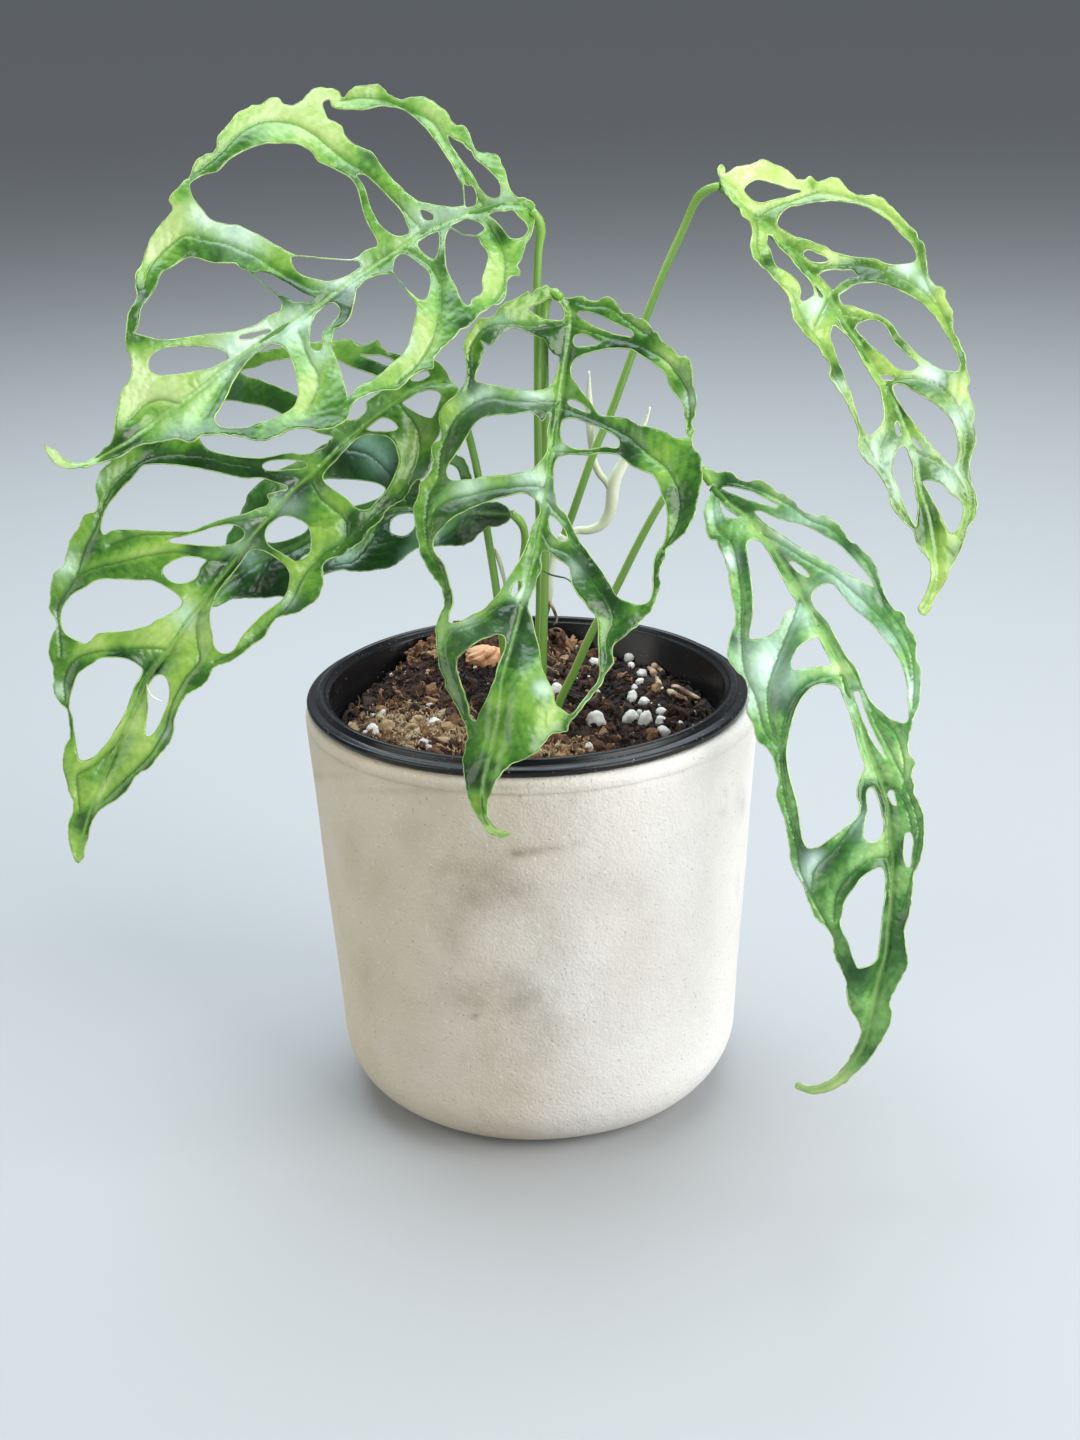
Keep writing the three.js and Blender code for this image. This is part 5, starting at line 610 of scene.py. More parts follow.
LOWER_RIGHT_LEAF = {
    "threads": [],
    "light": [868,1025,24, 840,1078,20, 775,500,10, 765,540,12, 815,640,14, 905,760,12, 840,670,10,
        890,700,10, 760,660,10],
    "shade": [742,560,12, 788,700,14, 728,480,10, 818,845,20, 872,800,18, 888,590,16, 858,970,14,
        905,850,12, 850,548,12, 885,900,14, 790,760,10, 735,640,8, 800,500,8],
    "sheen": [765,665,30, 728,560,10, 800,620,14, 800,532,24, 845,585,22, 880,645,16, 905,690,16,
        862,825,14, 842,750,14, 812,862,12, 868,930,12, 850,700,14, 745,700,14, 800,880,12, 715,515,8,
        855,610,12],
    "midrib": [712,487, 720,495, 730,505, 740,512, 750,520, 758,530, 766,540, 774,550, 780,560, 787,571,
        793,582, 799,593, 805,604, 811,614, 817,624, 823,635, 829,646, 835,657, 840,668, 844,680,
        848,692, 853,705, 858,718, 862,731, 866,744, 870,756, 875,768, 880,780, 884,792, 887,805,
        888,820, 889,835, 890,850, 891,865, 892,880, 891,895, 890,910, 888,925, 887,940, 885,955,
        881,970, 877,985, 874,1000, 871,1015, 868,1030, 862,1047, 853,1062, 843,1074, 830,1083,
        816,1089, 805,1089, 797,1082],
    "first": [706,482, 702,474, 702,467, 706,467, 711,471, 718,473, 725,472, 730,472, 734,475, 738,479,
        744,481, 750,482, 757,480, 763,481, 768,485, 773,489, 778,493, 784,495, 790,499, 795,504,
        799,509, 804,513, 811,516, 818,518, 824,516, 830,520, 837,525, 842,530, 845,536, 850,542,
        856,546, 860,551, 866,555, 871,561, 875,567, 877,573, 879,580, 881,587, 884,594, 888,601,
        892,607, 897,611, 901,612, 905,617, 906,624, 909,630, 913,636, 916,643, 916,650, 915,657,
        917,664, 920,670, 920,680, 920,692, 919,703, 916,713, 912,721, 911,728, 909,735, 908,745,
        909,755, 912,759, 915,765, 912,771, 911,778, 914,785, 914,793, 917,799, 920,806, 923,815,
        924,825, 924,835, 923,847, 921,857, 918,865, 914,872, 913,880, 912,892, 911,905, 909,915,
        906,923, 905,930, 906,940, 907,950, 908,962, 906,968, 903,974, 900,980, 896,987, 892,995,
        890,1003, 892,1010, 892,1017, 889,1026, 885,1034, 880,1043, 875,1051, 869,1059, 861,1067,
        852,1076, 843,1083, 832,1089, 820,1093, 810,1093, 801,1090, 796,1086],
    "second": [711,494, 709,500, 706,506, 704,513, 705,520, 706,527, 708,535, 711,540, 716,541, 718,547,
        722,553, 725,560, 728,570, 729,580, 731,590, 733,600, 736,610, 736,620, 734,630, 731,638,
        729,648, 728,658, 732,665, 738,672, 744,677, 748,683, 749,692, 749,702, 748,712, 751,720,
        755,728, 757,738, 761,744, 767,748, 772,753, 775,761, 777,770, 780,780, 779,788, 777,795,
        779,803, 783,812, 786,822, 788,835, 790,848, 791,860, 795,870, 799,878, 805,888, 808,897,
        812,908, 818,918, 826,926, 831,933, 834,942, 834,952, 838,962, 843,972, 847,982, 847,993,
        849,1003, 853,1011, 858,1019, 861,1027, 860,1036, 856,1046, 851,1056, 845,1066, 837,1074,
        827,1081, 815,1085, 807,1085, 801,1082],
    "first_windows": [
        [721,488, 724,486, 735,487, 744,489.5, 754,492, 763,497, 771,501, 779,505, 776,508, 768,506,
         757,503, 747,500, 737,496, 727,492],
        [755,512, 762,511, 770,515, 780,519, 790,522, 800,524, 808,527, 817,532, 826,537, 835,542,
         843,549, 851,558, 859,566, 867,575, 872,582, 874,588, 868,586, 860,582, 850,577, 840,572,
         830,566, 820,560, 810,554, 800,548, 790,541, 780,534, 770,527, 762,521],
        [789,562, 792,561, 797,563, 803,568, 808,573, 810,578, 806,577, 800,574, 794,568],
        [813,593, 816,589, 822,586, 830,584, 835,586, 840,592, 846,600, 853,608, 860,614, 868,621,
         877,631, 885,641, 893,651, 899,661, 904,673, 907,685, 908,700, 909,713, 907,722, 903,724,
         896,722, 888,718, 880,711, 872,703, 866,694, 861,683, 858,673, 854,666, 849,660, 843,651,
         838,641, 832,631, 827,622, 820,614, 815,608, 812,600],
        [852,692, 856,690, 860,692, 863,702, 867,714, 872,727, 878,740, 884,752, 888,760, 884,757,
         878,750, 871,739, 865,726, 859,711, 855,700],
        [887,793, 890,790, 894,791, 896,798, 898,806, 894,805, 889,799],
        [906,833, 911,832, 914,840, 913,850, 912,860, 910,868, 907,868, 904,858, 904,848, 905,840]],
    "second_windows": [
        [720,501, 724,506, 730,512, 737,517, 741,519, 736,520, 728,520, 724,518, 721,512],
        [746,545, 748,542, 753,540, 760,542, 765,548, 771,558, 777,569, 784,582, 790,593, 796,602,
         797,606, 793,610, 787,614, 783,621, 780,629, 774,634, 767,638, 757,640, 751,640, 749,636,
         751,627, 753,616, 753,604, 752,590, 750,575, 748,560],
        [818,637, 810,640, 801,645, 796,651, 792,659, 791,668, 794,672, 800,671, 810,669, 820,668,
         828,668, 831,665, 827,656, 822,646],
        [840,688, 836,686, 830,685, 820,685, 811,689, 805,695, 800,702, 796,710, 792,722, 789,735,
         787,750, 788,765, 791,780, 795,795, 798,808, 800,825, 803,840, 808,848, 815,848, 822,845,
         832,838, 842,830, 852,822, 859,815, 860,808, 859,802, 857,797, 857,788, 859,780, 863,772,
         864,765, 860,754, 856,740, 852,725, 848,710, 844,698],
        [867,790, 870,788, 874,790, 878,800, 881,812, 883,822, 883,832, 880,838, 875,842, 868,842,
         863,838, 863,828, 865,818, 867,808, 866,798],
        [884,870, 880,867, 873,869, 866,873, 860,878, 855,885, 849,893, 844,902, 842,912, 840,922,
         843,932, 848,942, 851,952, 855,962, 858,967, 864,966, 871,963, 876,957, 878,945, 880,930,
         882,912, 884,895, 885,880]],
    "veins": [
        [716,489, 724,483, 735,482, 750,486, 770,494, 790,505, 810,520, 830,528, 850,546, 865,562,
         875,580, 885,605, 900,625, 910,650, 914,680, 913,710],
        [762,534, 785,546, 810,562, 835,576, 860,597, 885,622, 903,650, 911,680],
        [814,614, 825,627, 840,650, 855,672, 868,700, 880,718, 895,732, 902,750, 905,770, 903,790],
        [850,688, 864,690, 875,720, 888,745, 900,770, 910,795, 919,825, 918,850, 911,880, 903,910],
        [884,785, 898,792, 908,810, 913,830],
        [716,492, 714,510, 718,530, 732,545, 738,570, 742,600, 742,640, 745,670, 757,700, 765,730,
         780,750],
        [799,600, 793,620, 785,640, 775,665, 768,690, 770,720, 780,750, 783,780, 788,810, 797,845,
         800,870, 812,895, 825,920, 837,950, 845,980, 853,1005],
        [840,675, 820,678, 800,690, 788,710, 782,735, 783,760],
        [884,792, 872,782, 862,788, 862,810, 850,828, 835,848, 815,870, 812,890],
        [888,858, 870,860, 850,875, 837,895, 834,920]],
    "depth": [712,485,-15, 702,468,-13, 763,481,-20, 824,516,-27, 877,573,-38, 906,624,-49, 920,680,-60,
        909,735,-71, 915,765,-77, 924,825,-87, 912,892,-94, 907,962,-98, 892,1010,-99, 869,1059,-97,
        797,1083,-86, 748,515,-24, 785,567,-36, 816,621,-48, 846,690,-62, 867,748,-73, 885,800,-82,
        890,880,-92, 884,960,-97, 870,1020,-98, 705,515,-24, 728,570,-33, 736,620,-42, 728,658,-48,
        749,700,-56, 757,738,-63, 780,780,-72, 788,835,-81, 808,897,-88, 831,933,-92, 847,990,-96,
        860,1030,-97],
}

# Stalks from the soil to the blade's base, as u, v, Y triples
STALKS = {
    "leaf_upper_left": [537,712,2, 539,640,2, 540,560,3, 538,450,6, 537.5,340,9.5, 537,285,11,
        538.5,250,11, 540.5,232,11, 538,219,10, 532,211,9.5],
    "leaf_lower_left": [509,706,6, 505,660,5, 497,595,4, 487,530,4, 478,475,3, 468,432,2, 459,402,0,
        453,389,-2, 447,381,-4],
    "leaf_back": [524,705,2, 522,640,1, 521.5,600,0, 523,560,-2, 525,543,-4, 523.5,528,-6, 518,519,-8,
        512,514,-9],
    "leaf_front": [541,714,-3.5, 543,650,-3.5, 545,560,-2.5, 545.5,500,-1.5, 545,400,0, 544.5,330,3,
        545.5,306,4.5, 549,295,4, 555,293,2.5, 561,297,1],
    "leaf_upper_right": [541,706,6.5, 541,640,6.5, 543.5,620,6.5, 548,598,6.5, 549,575,6.5, 555,552,7,
        564,535,8, 572,515,9, 594,452,12, 610,415,15, 633,352,19, 645,320,21, 665,270,23, 685,225,24,
        697,199,22, 709,189,19, 720,186,17],
    "leaf_lower_right": [557,717,-4, 575,670,-7, 593,630,-9, 614,592,-11, 640,540,-13, 663,499,-14,
        677,482,-14, 690,472,-13.5, 702,472,-14, 711,484,-15],
}
SHEATH = [547.5,603,6.5, 548.5,592,6.5, 549,575,6.5, 552,560,6.8, 556,550,7.1, 564,535,8]
SHEATH_RADII = [1.35, 1.6, 1.55, 1.6, 1.7, 1.45]
SHOOTS = [
    {"path": [567,541,9.9, 575,531,12.8, 589,530,14.5, 601,525,15.5, 609,514,16, 612,500,16.5,
        613,488,17, 617,474,17.5, 625,460,18, 634,441,18, 645,422,18, 650,407,18],
        "radii": [1.2, 1.35, 1.8, 2.15, 2.1, 1.5, 1.0, 0.35]},
    {"path": [611,492,16.8, 606,482,17, 599,473,17, 594,461,17, 592,446,17, 590.5,430,17, 589.5,410,17,
        589,390,17, 589,371,17],
        "radii": [0.9, 1.2, 1.15, 1.4, 1.35, 0.9, 0.35]},
]

BARK = {"x": -16.8, "y": 37.2, "z": 139, "length": 11, "depth": 9, "height": 7, "turn": 0.1}
# Perlite grains, as u, v and radius: the larger ones are in the solids too
PERLITE = [372,731,2, 382,714,1.4, 424,744,1.8, 434,722,1.5, 577,648,1.1, 595,663,1.8, 629,658,1.7,
    641,675,1.7, 640,683,1.5, 635,690,1.4, 632,697,1.8, 644,702,1.8, 631,718,2.5, 645,721,2.4,
    661,712,1.4, 661,723,1.9, 664,733,1.9, 596,722,3, 556,690,2, 589,748,1.4, 600,744,1.2, 410,654,0.9,
    391,675,0.7, 475,668,0.7, 481,703,0.7, 430,705,0.9, 598,692,0.7, 681,724,0.8, 693,727,0.6,
    358,730,0.6, 372,716,0.8, 631,666,1.2, 366,734,1.2, 429,748,1.1, 640,714,1.3]

# Chunky bark pieces that show at the back of the soil, as u, v and size
HEAP = [400,642,3, 408,636,3.2, 414,648,2.8, 419,640,3, 427,636,3.2, 434,642,3, 424,652,2.4,
    436,655,2.6, 404,655,2.4, 412,662,2.2, 551,638,2.6, 560,640,2.8, 568,646,2.6, 556,652,2.4,
    549,660,2.2, 563,660,2.6, 571,668,2.2, 555,674,2.2, 583,648,2.2, 590,656,2.0, 546,646,2.2,
    600,652,1.8, 575,640,2.4, 480,640,2.6, 495,641,2.4, 470,645,2.2]

# Strands laid on a blade's surface, as u, v pairs
THREAD_OF_FRONT_LEAF = [543,571, 546,572.5, 552,575, 558,576.5, 565,578, 570,581, 573,585]
TENDRIL_OF_LOWER_LEFT_LEAF = [147,684, 148,690, 151,695.5, 156,699, 162,701]
SCAR_OF_LOWER_LEFT_LEAF = [88,515.5, 92,517.5, 97,519]
# Strands in the air, as u, v, Y triples
WING_OF_LOWER_LEFT_STALK = [495,548,5, 499,560,4.6, 502,570,4.6, 504.5,581,4.7, 505.5,592,5.2]
AIR_ROOT = [549,601,5.5, 551,604.5,4.8, 553,608,4.6, 555,613,4.4, 557,619,4.4, 556,622.5,4.4,
    553.5,624.5,4.5]
# Strands laid on the soil, as u, v pairs
STRIPS = [
    [648,667, 653,672, 657,679, 661,685],
    [652,664, 658,669, 664,672],
    [668,690, 676,696, 686,700, 697,703],
    [672,686, 682,691, 693,696, 700,699],
]
ROOTS = [
    [547,640, 550,631, 557,628.5, 562,631, 567,637],
    [548,635, 545,641, 548,647, 552,650, 553,656],
    [560,640, 566,646, 570,655, 569,664],
    [530,645, 522,640, 512,644, 505,650],
]

rng = np.random.default_rng(41)


def pairs(flat):
    return np.array(flat, float).reshape(-1, 2)


def triples(flat):
    return np.array(flat, float).reshape(-1, 3)


# Directions of the sight lines through drawing points, in the part's frame
def sight_lines(uv):
    du = uv[:, 0] - DRAWING_WIDTH / 2
    dv = uv[:, 1] - DRAWING_HEIGHT / 2
    right = (math.cos(ROLL) * du + math.sin(ROLL) * dv) / VIEW["focal"]
    up = -(-math.sin(ROLL) * du + math.cos(ROLL) * dv) / VIEW["focal"]
    ahead = math.cos(PITCH) + up * math.sin(PITCH)
    rise = -math.sin(PITCH) + up * math.cos(PITCH)
    x = math.cos(YAW) * right + math.sin(YAW) * ahead
    y = -math.sin(YAW) * right + math.cos(YAW) * ahead
    return np.stack([x, y, rise], axis=1)


# Points on the sight lines at a given depth, Y, or height, Z
def points_at(uv, axis, value):
    lines = sight_lines(uv)
    reach = (value - VIEWPOINT[axis]) / lines[:, axis]
    return VIEWPOINT + lines * reach[:, None]


def path_points(flat):
    rows = triples(flat)
    return points_at(rows[:, :2], DEPTH, rows[:, 2])


# Drawing points at which places show
def drawn_at(places):
    x, y, z = (np.asarray(places, float) - VIEWPOINT).T
    x, y = math.cos(YAW) * x - math.sin(YAW) * y, math.sin(YAW) * x + math.cos(YAW) * y
    ahead = y * math.cos(PITCH) - z * math.sin(PITCH)
    right = VIEW["focal"] * x / ahead
    down = -VIEW["focal"] * (y * math.sin(PITCH) + z * math.cos(PITCH)) / ahead
    u = DRAWING_WIDTH / 2 + math.cos(ROLL) * right - math.sin(ROLL) * down
    v = DRAWING_HEIGHT / 2 + math.sin(ROLL) * right + math.cos(ROLL) * down
    return np.stack([u, v], axis=1)


# Thin-plate surface through the depth points
def depth_surface(rows):
    uv = rows[:, :2] / DEPTH_SCALE

    def kernel(a, b):
        squared = ((a[:, None, :] - b[None, :, :]) ** 2).sum(axis=2)
        return np.where(squared > 0, squared * np.log(np.maximum(squared, TINY)), 0)

    count = len(rows)
    matrix = np.zeros((count + 3, count + 3))
    matrix[:count, :count] = kernel(uv, uv) + DEPTH_SOFTNESS * np.eye(count)
    matrix[:count, count] = 1
    matrix[:count, count + 1:] = uv
    matrix[count:, :count] = matrix[:count, count:].T
    target = np.concatenate([rows[:, 2], np.zeros(3)])
    weights = np.linalg.solve(matrix, target)

    def depth(points):
        places = points / DEPTH_SCALE
        flat = weights[count] + places @ weights[count + 1:]
        return kernel(places, uv) @ weights[:count] + flat

    return depth


# Distance from many points to a line of segments, and how far along it the nearest place is
def distance_to_line(points, line):
    best = np.full(len(points), np.inf)
    along = np.zeros(len(points))
    last = len(line) - 1
    for i in range(last):
        a = line[i]
        run = line[i + 1] - a
        length = max(float(run @ run), SHORT)
        t = np.clip((points - a) @ run / length, 0, 1)
        distance = np.hypot(*(points - a - t[:, None] * run).T)
        nearer = distance < best
        best[nearer] = distance[nearer]
        along[nearer] = (i + t[nearer]) / last
    return best, along


def distance_to_lines(points, lines):
    best = np.full(len(points), np.inf)
    for line in lines:
        best = np.minimum(best, distance_to_line(points, line)[0])
    return best


# Places of a line's nodes that are nearest to shares of its length
def nodes_at(line, along):
    return line[np.round(along * (len(line) - 1)).astype(int)]


# Smooth curve through points: open, or closed when the loop flag is set
def smooth_line(points, spacing, loop=False):
    points = np.asarray(points, float)
    if loop:
        padded = np.concatenate([points[-1:], points, points[:2]])
    else:
        padded = np.concatenate([[2 * points[0] - points[1]], points, [2 * points[-1] - points[-2]]])
    curve = []
    for i in range(1, len(padded) - 2):
        p0, p1, p2, p3 = padded[i - 1:i + 3]
        gap = np.linalg.norm(p2 - p1)
        before = max(np.linalg.norm(p1 - p0), NARROW)
        after = max(np.linalg.norm(p3 - p2), NARROW)
        start = (p2 - p0) * gap / (gap + before)
        end = (p3 - p1) * gap / (gap + after)
        steps = max(1, int(round(gap / spacing)))
        for k in range(steps):
            t = k / steps
            curve.append((2 * t ** 3 - 3 * t ** 2 + 1) * p1 + (t ** 3 - 2 * t ** 2 + t) * start
                + (3 * t ** 2 - 2 * t ** 3) * p2 + (t ** 3 - t ** 2) * end)
    if not loop:
        curve.append(points[-1])
    return np.array(curve)


def inside_loops(points, loops):
    inside = np.zeros(len(points), bool)
    for loop in loops:
        for a, b in zip(loop, np.roll(loop, -1, axis=0)):
            if a[1] == b[1]:
                continue
            crosses = (a[1] > points[:, 1]) != (b[1] > points[:, 1])
            at = a[0] + (points[:, 1] - a[1]) * (b[0] - a[0]) / (b[1] - a[1])
            inside ^= crosses & (points[:, 0] < at)
    return inside


def waves(points, size, seed):
    return np.array([noise.noise(Vector((p[0] / size, p[1] / size, seed))) for p in points])


def crease(distance, reach):
    return 1 - np.exp(-distance / reach)


def bell(distance, reach):
    return np.exp(-(distance / reach) ** 2)


def closed(loop):
    return np.concatenate([loop, loop[:1]])


# Window edges drawn in towards a thread that hangs between two windows, so that only the thread is left
def thin_threads(points, threads):
    points = points.copy()
    for flat in threads:
        line = smooth_line(pairs(flat), 1)
        distance, along = distance_to_line(points, line)
        nearest = nodes_at(line, along)
        from_end = np.minimum(along, 1 - along)
        pull = np.clip((THREAD_REACH - distance) / THREAD_FADE, 0, 1) * np.clip(from_end / THREAD_END, 0, 1)
        short = np.minimum(distance, THREAD_HALF_WIDTH)
        target = nearest + (points - nearest) * (short / np.maximum(distance, NARROW))[:, None]
        points += (target - points) * pull[:, None]
    return points


# Outline with small uneven teeth, shallower where the blade is narrow
def toothed(outline, windows, seed):
    ahead = np.roll(outline, -1, axis=0) - np.roll(outline, 1, axis=0)
    out = np.stack([ahead[:, 1], -ahead[:, 0]], axis=1) / np.linalg.norm(ahead, axis=1)[:, None]
    room = distance_to_lines(outline, [closed(loop) for loop in windows])
    reach = np.minimum(TOOTH_SIZE, TOOTH_SHARE_OF_ROOM * room)
    return outline + out * (2 * reach * waves(outline, TOOTH_SPACING, seed))[:, None]


# Mesh points inside the loops, in staggered rows that keep clear of the loops and the lines
def inner_grid(loops, lines, outline):
    low = outline.min(axis=0)
    high = outline.max(axis=0)
    grid = []
    for k, v in enumerate(np.arange(low[1], high[1], MESH_ROW_STEP)):
        shift = MESH_STEP / 2 if k % 2 else 0
        grid.extend((u, v) for u in np.arange(low[0] + shift, high[0], MESH_STEP))
    grid = np.array(grid)
    grid = grid[inside_loops(grid, loops)]
    to_loops = distance_to_lines(grid, [closed(loop) for loop in loops])
    to_lines = distance_to_lines(grid, lines)
    return grid[(to_loops > MESH_CLEAR_OF_LOOPS) & (to_lines > MESH_CLEAR_OF_LINES)]


# Blade laid out in the drawing: a triangle mesh that follows its loops, its midrib and its veins
def blade_layout(leaf, seed):
    midrib = pairs(leaf["midrib"])
    sides = []
    for name in ("first", "second"):
        side = np.concatenate([midrib[:1], pairs(leaf[name]), midrib[-1:]])
        sides.append(smooth_line(side, MESH_STEP))
    outline = np.concatenate([sides[0], sides[1][::-1][1:-1]])
    windows = []
    for flat in leaf["first_windows"] + leaf["second_windows"]:
        windows.append(thin_threads(smooth_line(pairs(flat), MESH_STEP, loop=True), leaf["threads"]))
    loops = [toothed(outline, windows, seed), *windows]
    rib = smooth_line(midrib, MESH_STEP)
    veins = [smooth_line(pairs(flat), MESH_STEP) for flat in leaf["veins"]]
    points = []
    edges = []
    for loop in loops:
        start = len(points)
        points.extend(loop)
        edges.extend((start + i, start + (i + 1) % len(loop)) for i in range(len(loop)))
    for line in [rib[1:-1], *veins]:
        start = len(points)
        points.extend(line)
        edges.extend((start + i, start + i + 1) for i in range(len(line) - 1))
    points.extend(inner_grid(loops, [rib, *veins], outline))
    places = [Vector((p[0], p[1])) for p in points]
    result = geometry.delaunay_2d_cdt(places, edges, [], 0, MESH_MERGE_DISTANCE)
    corners = np.array([(p.x, p.y) for p in result[0]])
    triangles = np.array(result[2])
    triangles = triangles[inside_loops(corners[triangles].mean(axis=1), loops)]
    used = np.unique(triangles)
    renumber = np.full(len(corners), -1)
    renumber[used] = np.arange(len(used))
    return corners[used], renumber[triangles], loops, rib, veins


def boundary_edges(triangles):
    edges = set()
    for a, b, c in triangles.tolist():
        edges.update(((a, b), (b, c), (c, a)))
    return [(a, b) for a, b in sorted(edges) if (b, a) not in edges]


# Boundary edges strung into closed rings of corners
def boundary_rings(edges):
    follow = dict(edges)
    rings = []
    while follow:
        start, place = follow.popitem()
        ring = [start]
        while place != start and place in follow:
            ring.append(place)
            place = follow.pop(place)
        if place == start and len(ring) > 3:
            rings.append(ring)
    return rings


# Middle surface of a blade in millimetres, and its unit normals towards the viewpoint
def blade_surface(leaf):
    depth = depth_surface(triples(leaf["depth"]))
    midrib = pairs(leaf["midrib"])

    def surface(points):
        nearest, along = distance_to_line(points, midrib)
        fade = np.minimum(1, np.minimum(along / VALLEY_END, (1 - along) / VALLEY_END))
        valley = VALLEY_DEPTH * fade * np.exp(-nearest / VALLEY_REACH)
        return points_at(points, DEPTH, depth(points) + valley)

    def normals(points):
        across = surface(points + (NORMAL_STEP, 0)) - surface(points - (NORMAL_STEP, 0))
        down = surface(points + (0, NORMAL_STEP)) - surface(points - (0, NORMAL_STEP))
        facing = np.cross(down, across)
        return facing / np.linalg.norm(facing, axis=1)[:, None]

    return surface, normals


def make_object(name, vertices, faces, smooth=True):
    mesh = bpy.data.meshes.new(name)
    mesh.from_pydata([tuple(p) for p in np.asarray(vertices) * MM], [], [tuple(f) for f in faces])
    mesh.validate()
    mesh.update()
    if smooth:
        mesh.shade_smooth()
    piece = bpy.data.objects.new(name, mesh)
    bpy.context.scene.collection.objects.link(piece)
    return piece


def add_value(piece, name, values):
    attribute = piece.data.attributes.new(name, "FLOAT", "POINT")
    attribute.data.foreach_set("value", np.asarray(values, np.float32))


def finish_piece(piece, material, node):
    piece.data.materials.append(material)
    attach(piece, "root")
    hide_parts(node)
    return piece


# Cosines and sines of evenly spaced angles once round
def once_round(count):
    angles = [2 * math.pi * k / count for k in range(count)]
    return [(math.cos(angle), math.sin(angle)) for angle in angles]


def unit_rows(rows):
    return rows / np.maximum(np.linalg.norm(rows, axis=1), SHORT)[:, None]


# Thin rounded margin that runs round the outline and round each window
def make_margin(name, middle, facing, rings, radii, material):
    vertices = []
    faces = []
    for ring in rings:
        centres = middle[ring]
        ahead = unit_rows(np.roll(centres, -1, axis=0) - np.roll(centres, 1, axis=0))
        across = unit_rows(np.cross(ahead, facing[ring]))
        up = np.cross(across, ahead)
        start = len(vertices)
        count = len(ring)
        for aside, above in once_round(MARGIN_SIDES):
            vertices.extend(centres + radii[ring][:, None] * (aside * across + above * up))
        for k in range(MARGIN_SIDES):
            for i in range(count):
                a = start + k * count
                b = start + (k + 1) % MARGIN_SIDES * count
                j = (i + 1) % count
                faces.append((a + i, a + j, b + j, b + i))
    piece = make_object(name + "_margin", vertices, faces)
    return finish_piece(piece, material, name)


def spots(points, flat):
    total = np.zeros(len(points))
    for u, v, radius in triples(flat):
        total += np.exp(-((points[:, 0] - u) ** 2 + (points[:, 1] - v) ** 2) / radius ** 2)
    return np.minimum(total, 1)


# How far off the nearest vein corners are, how far along it, and 1 above to -1 below the veins around
def beside_veins(corners, veins):
    off = np.full(len(corners), np.inf)
    along = np.zeros(len(corners))
    above = np.zeros(len(corners))
    weights = np.full(len(corners), SHORT)
    for vein in veins:
        distance, share = distance_to_line(corners, vein)
        lean = (corners - nodes_at(vein, share)) @ np.array(UPWARD) / np.maximum(distance, NARROW)
        nearer = distance < off
        off[nearer] = distance[nearer]
        along[nearer] = (share * len(vein) * MESH_STEP)[nearer]
        weight = np.exp(-distance / VEIN_SIDE_BLEND)
        above += weight * lean
        weights += weight
    return off, along, np.clip(above / weights, -1, 1) * np.minimum(1, off / VEIN_SIDE_FADE)


# Two faces of a thin sheet and the walls round its boundary
def sheet_faces(triangles, count):
    front = [(c, b, a) for a, b, c in triangles.tolist()]
    back = [(a + count, b + count, c + count) for a, b, c in triangles.tolist()]
    walls = [(a, b, b + count, a + count) for a, b in boundary_edges(triangles)]
    return front + back + walls


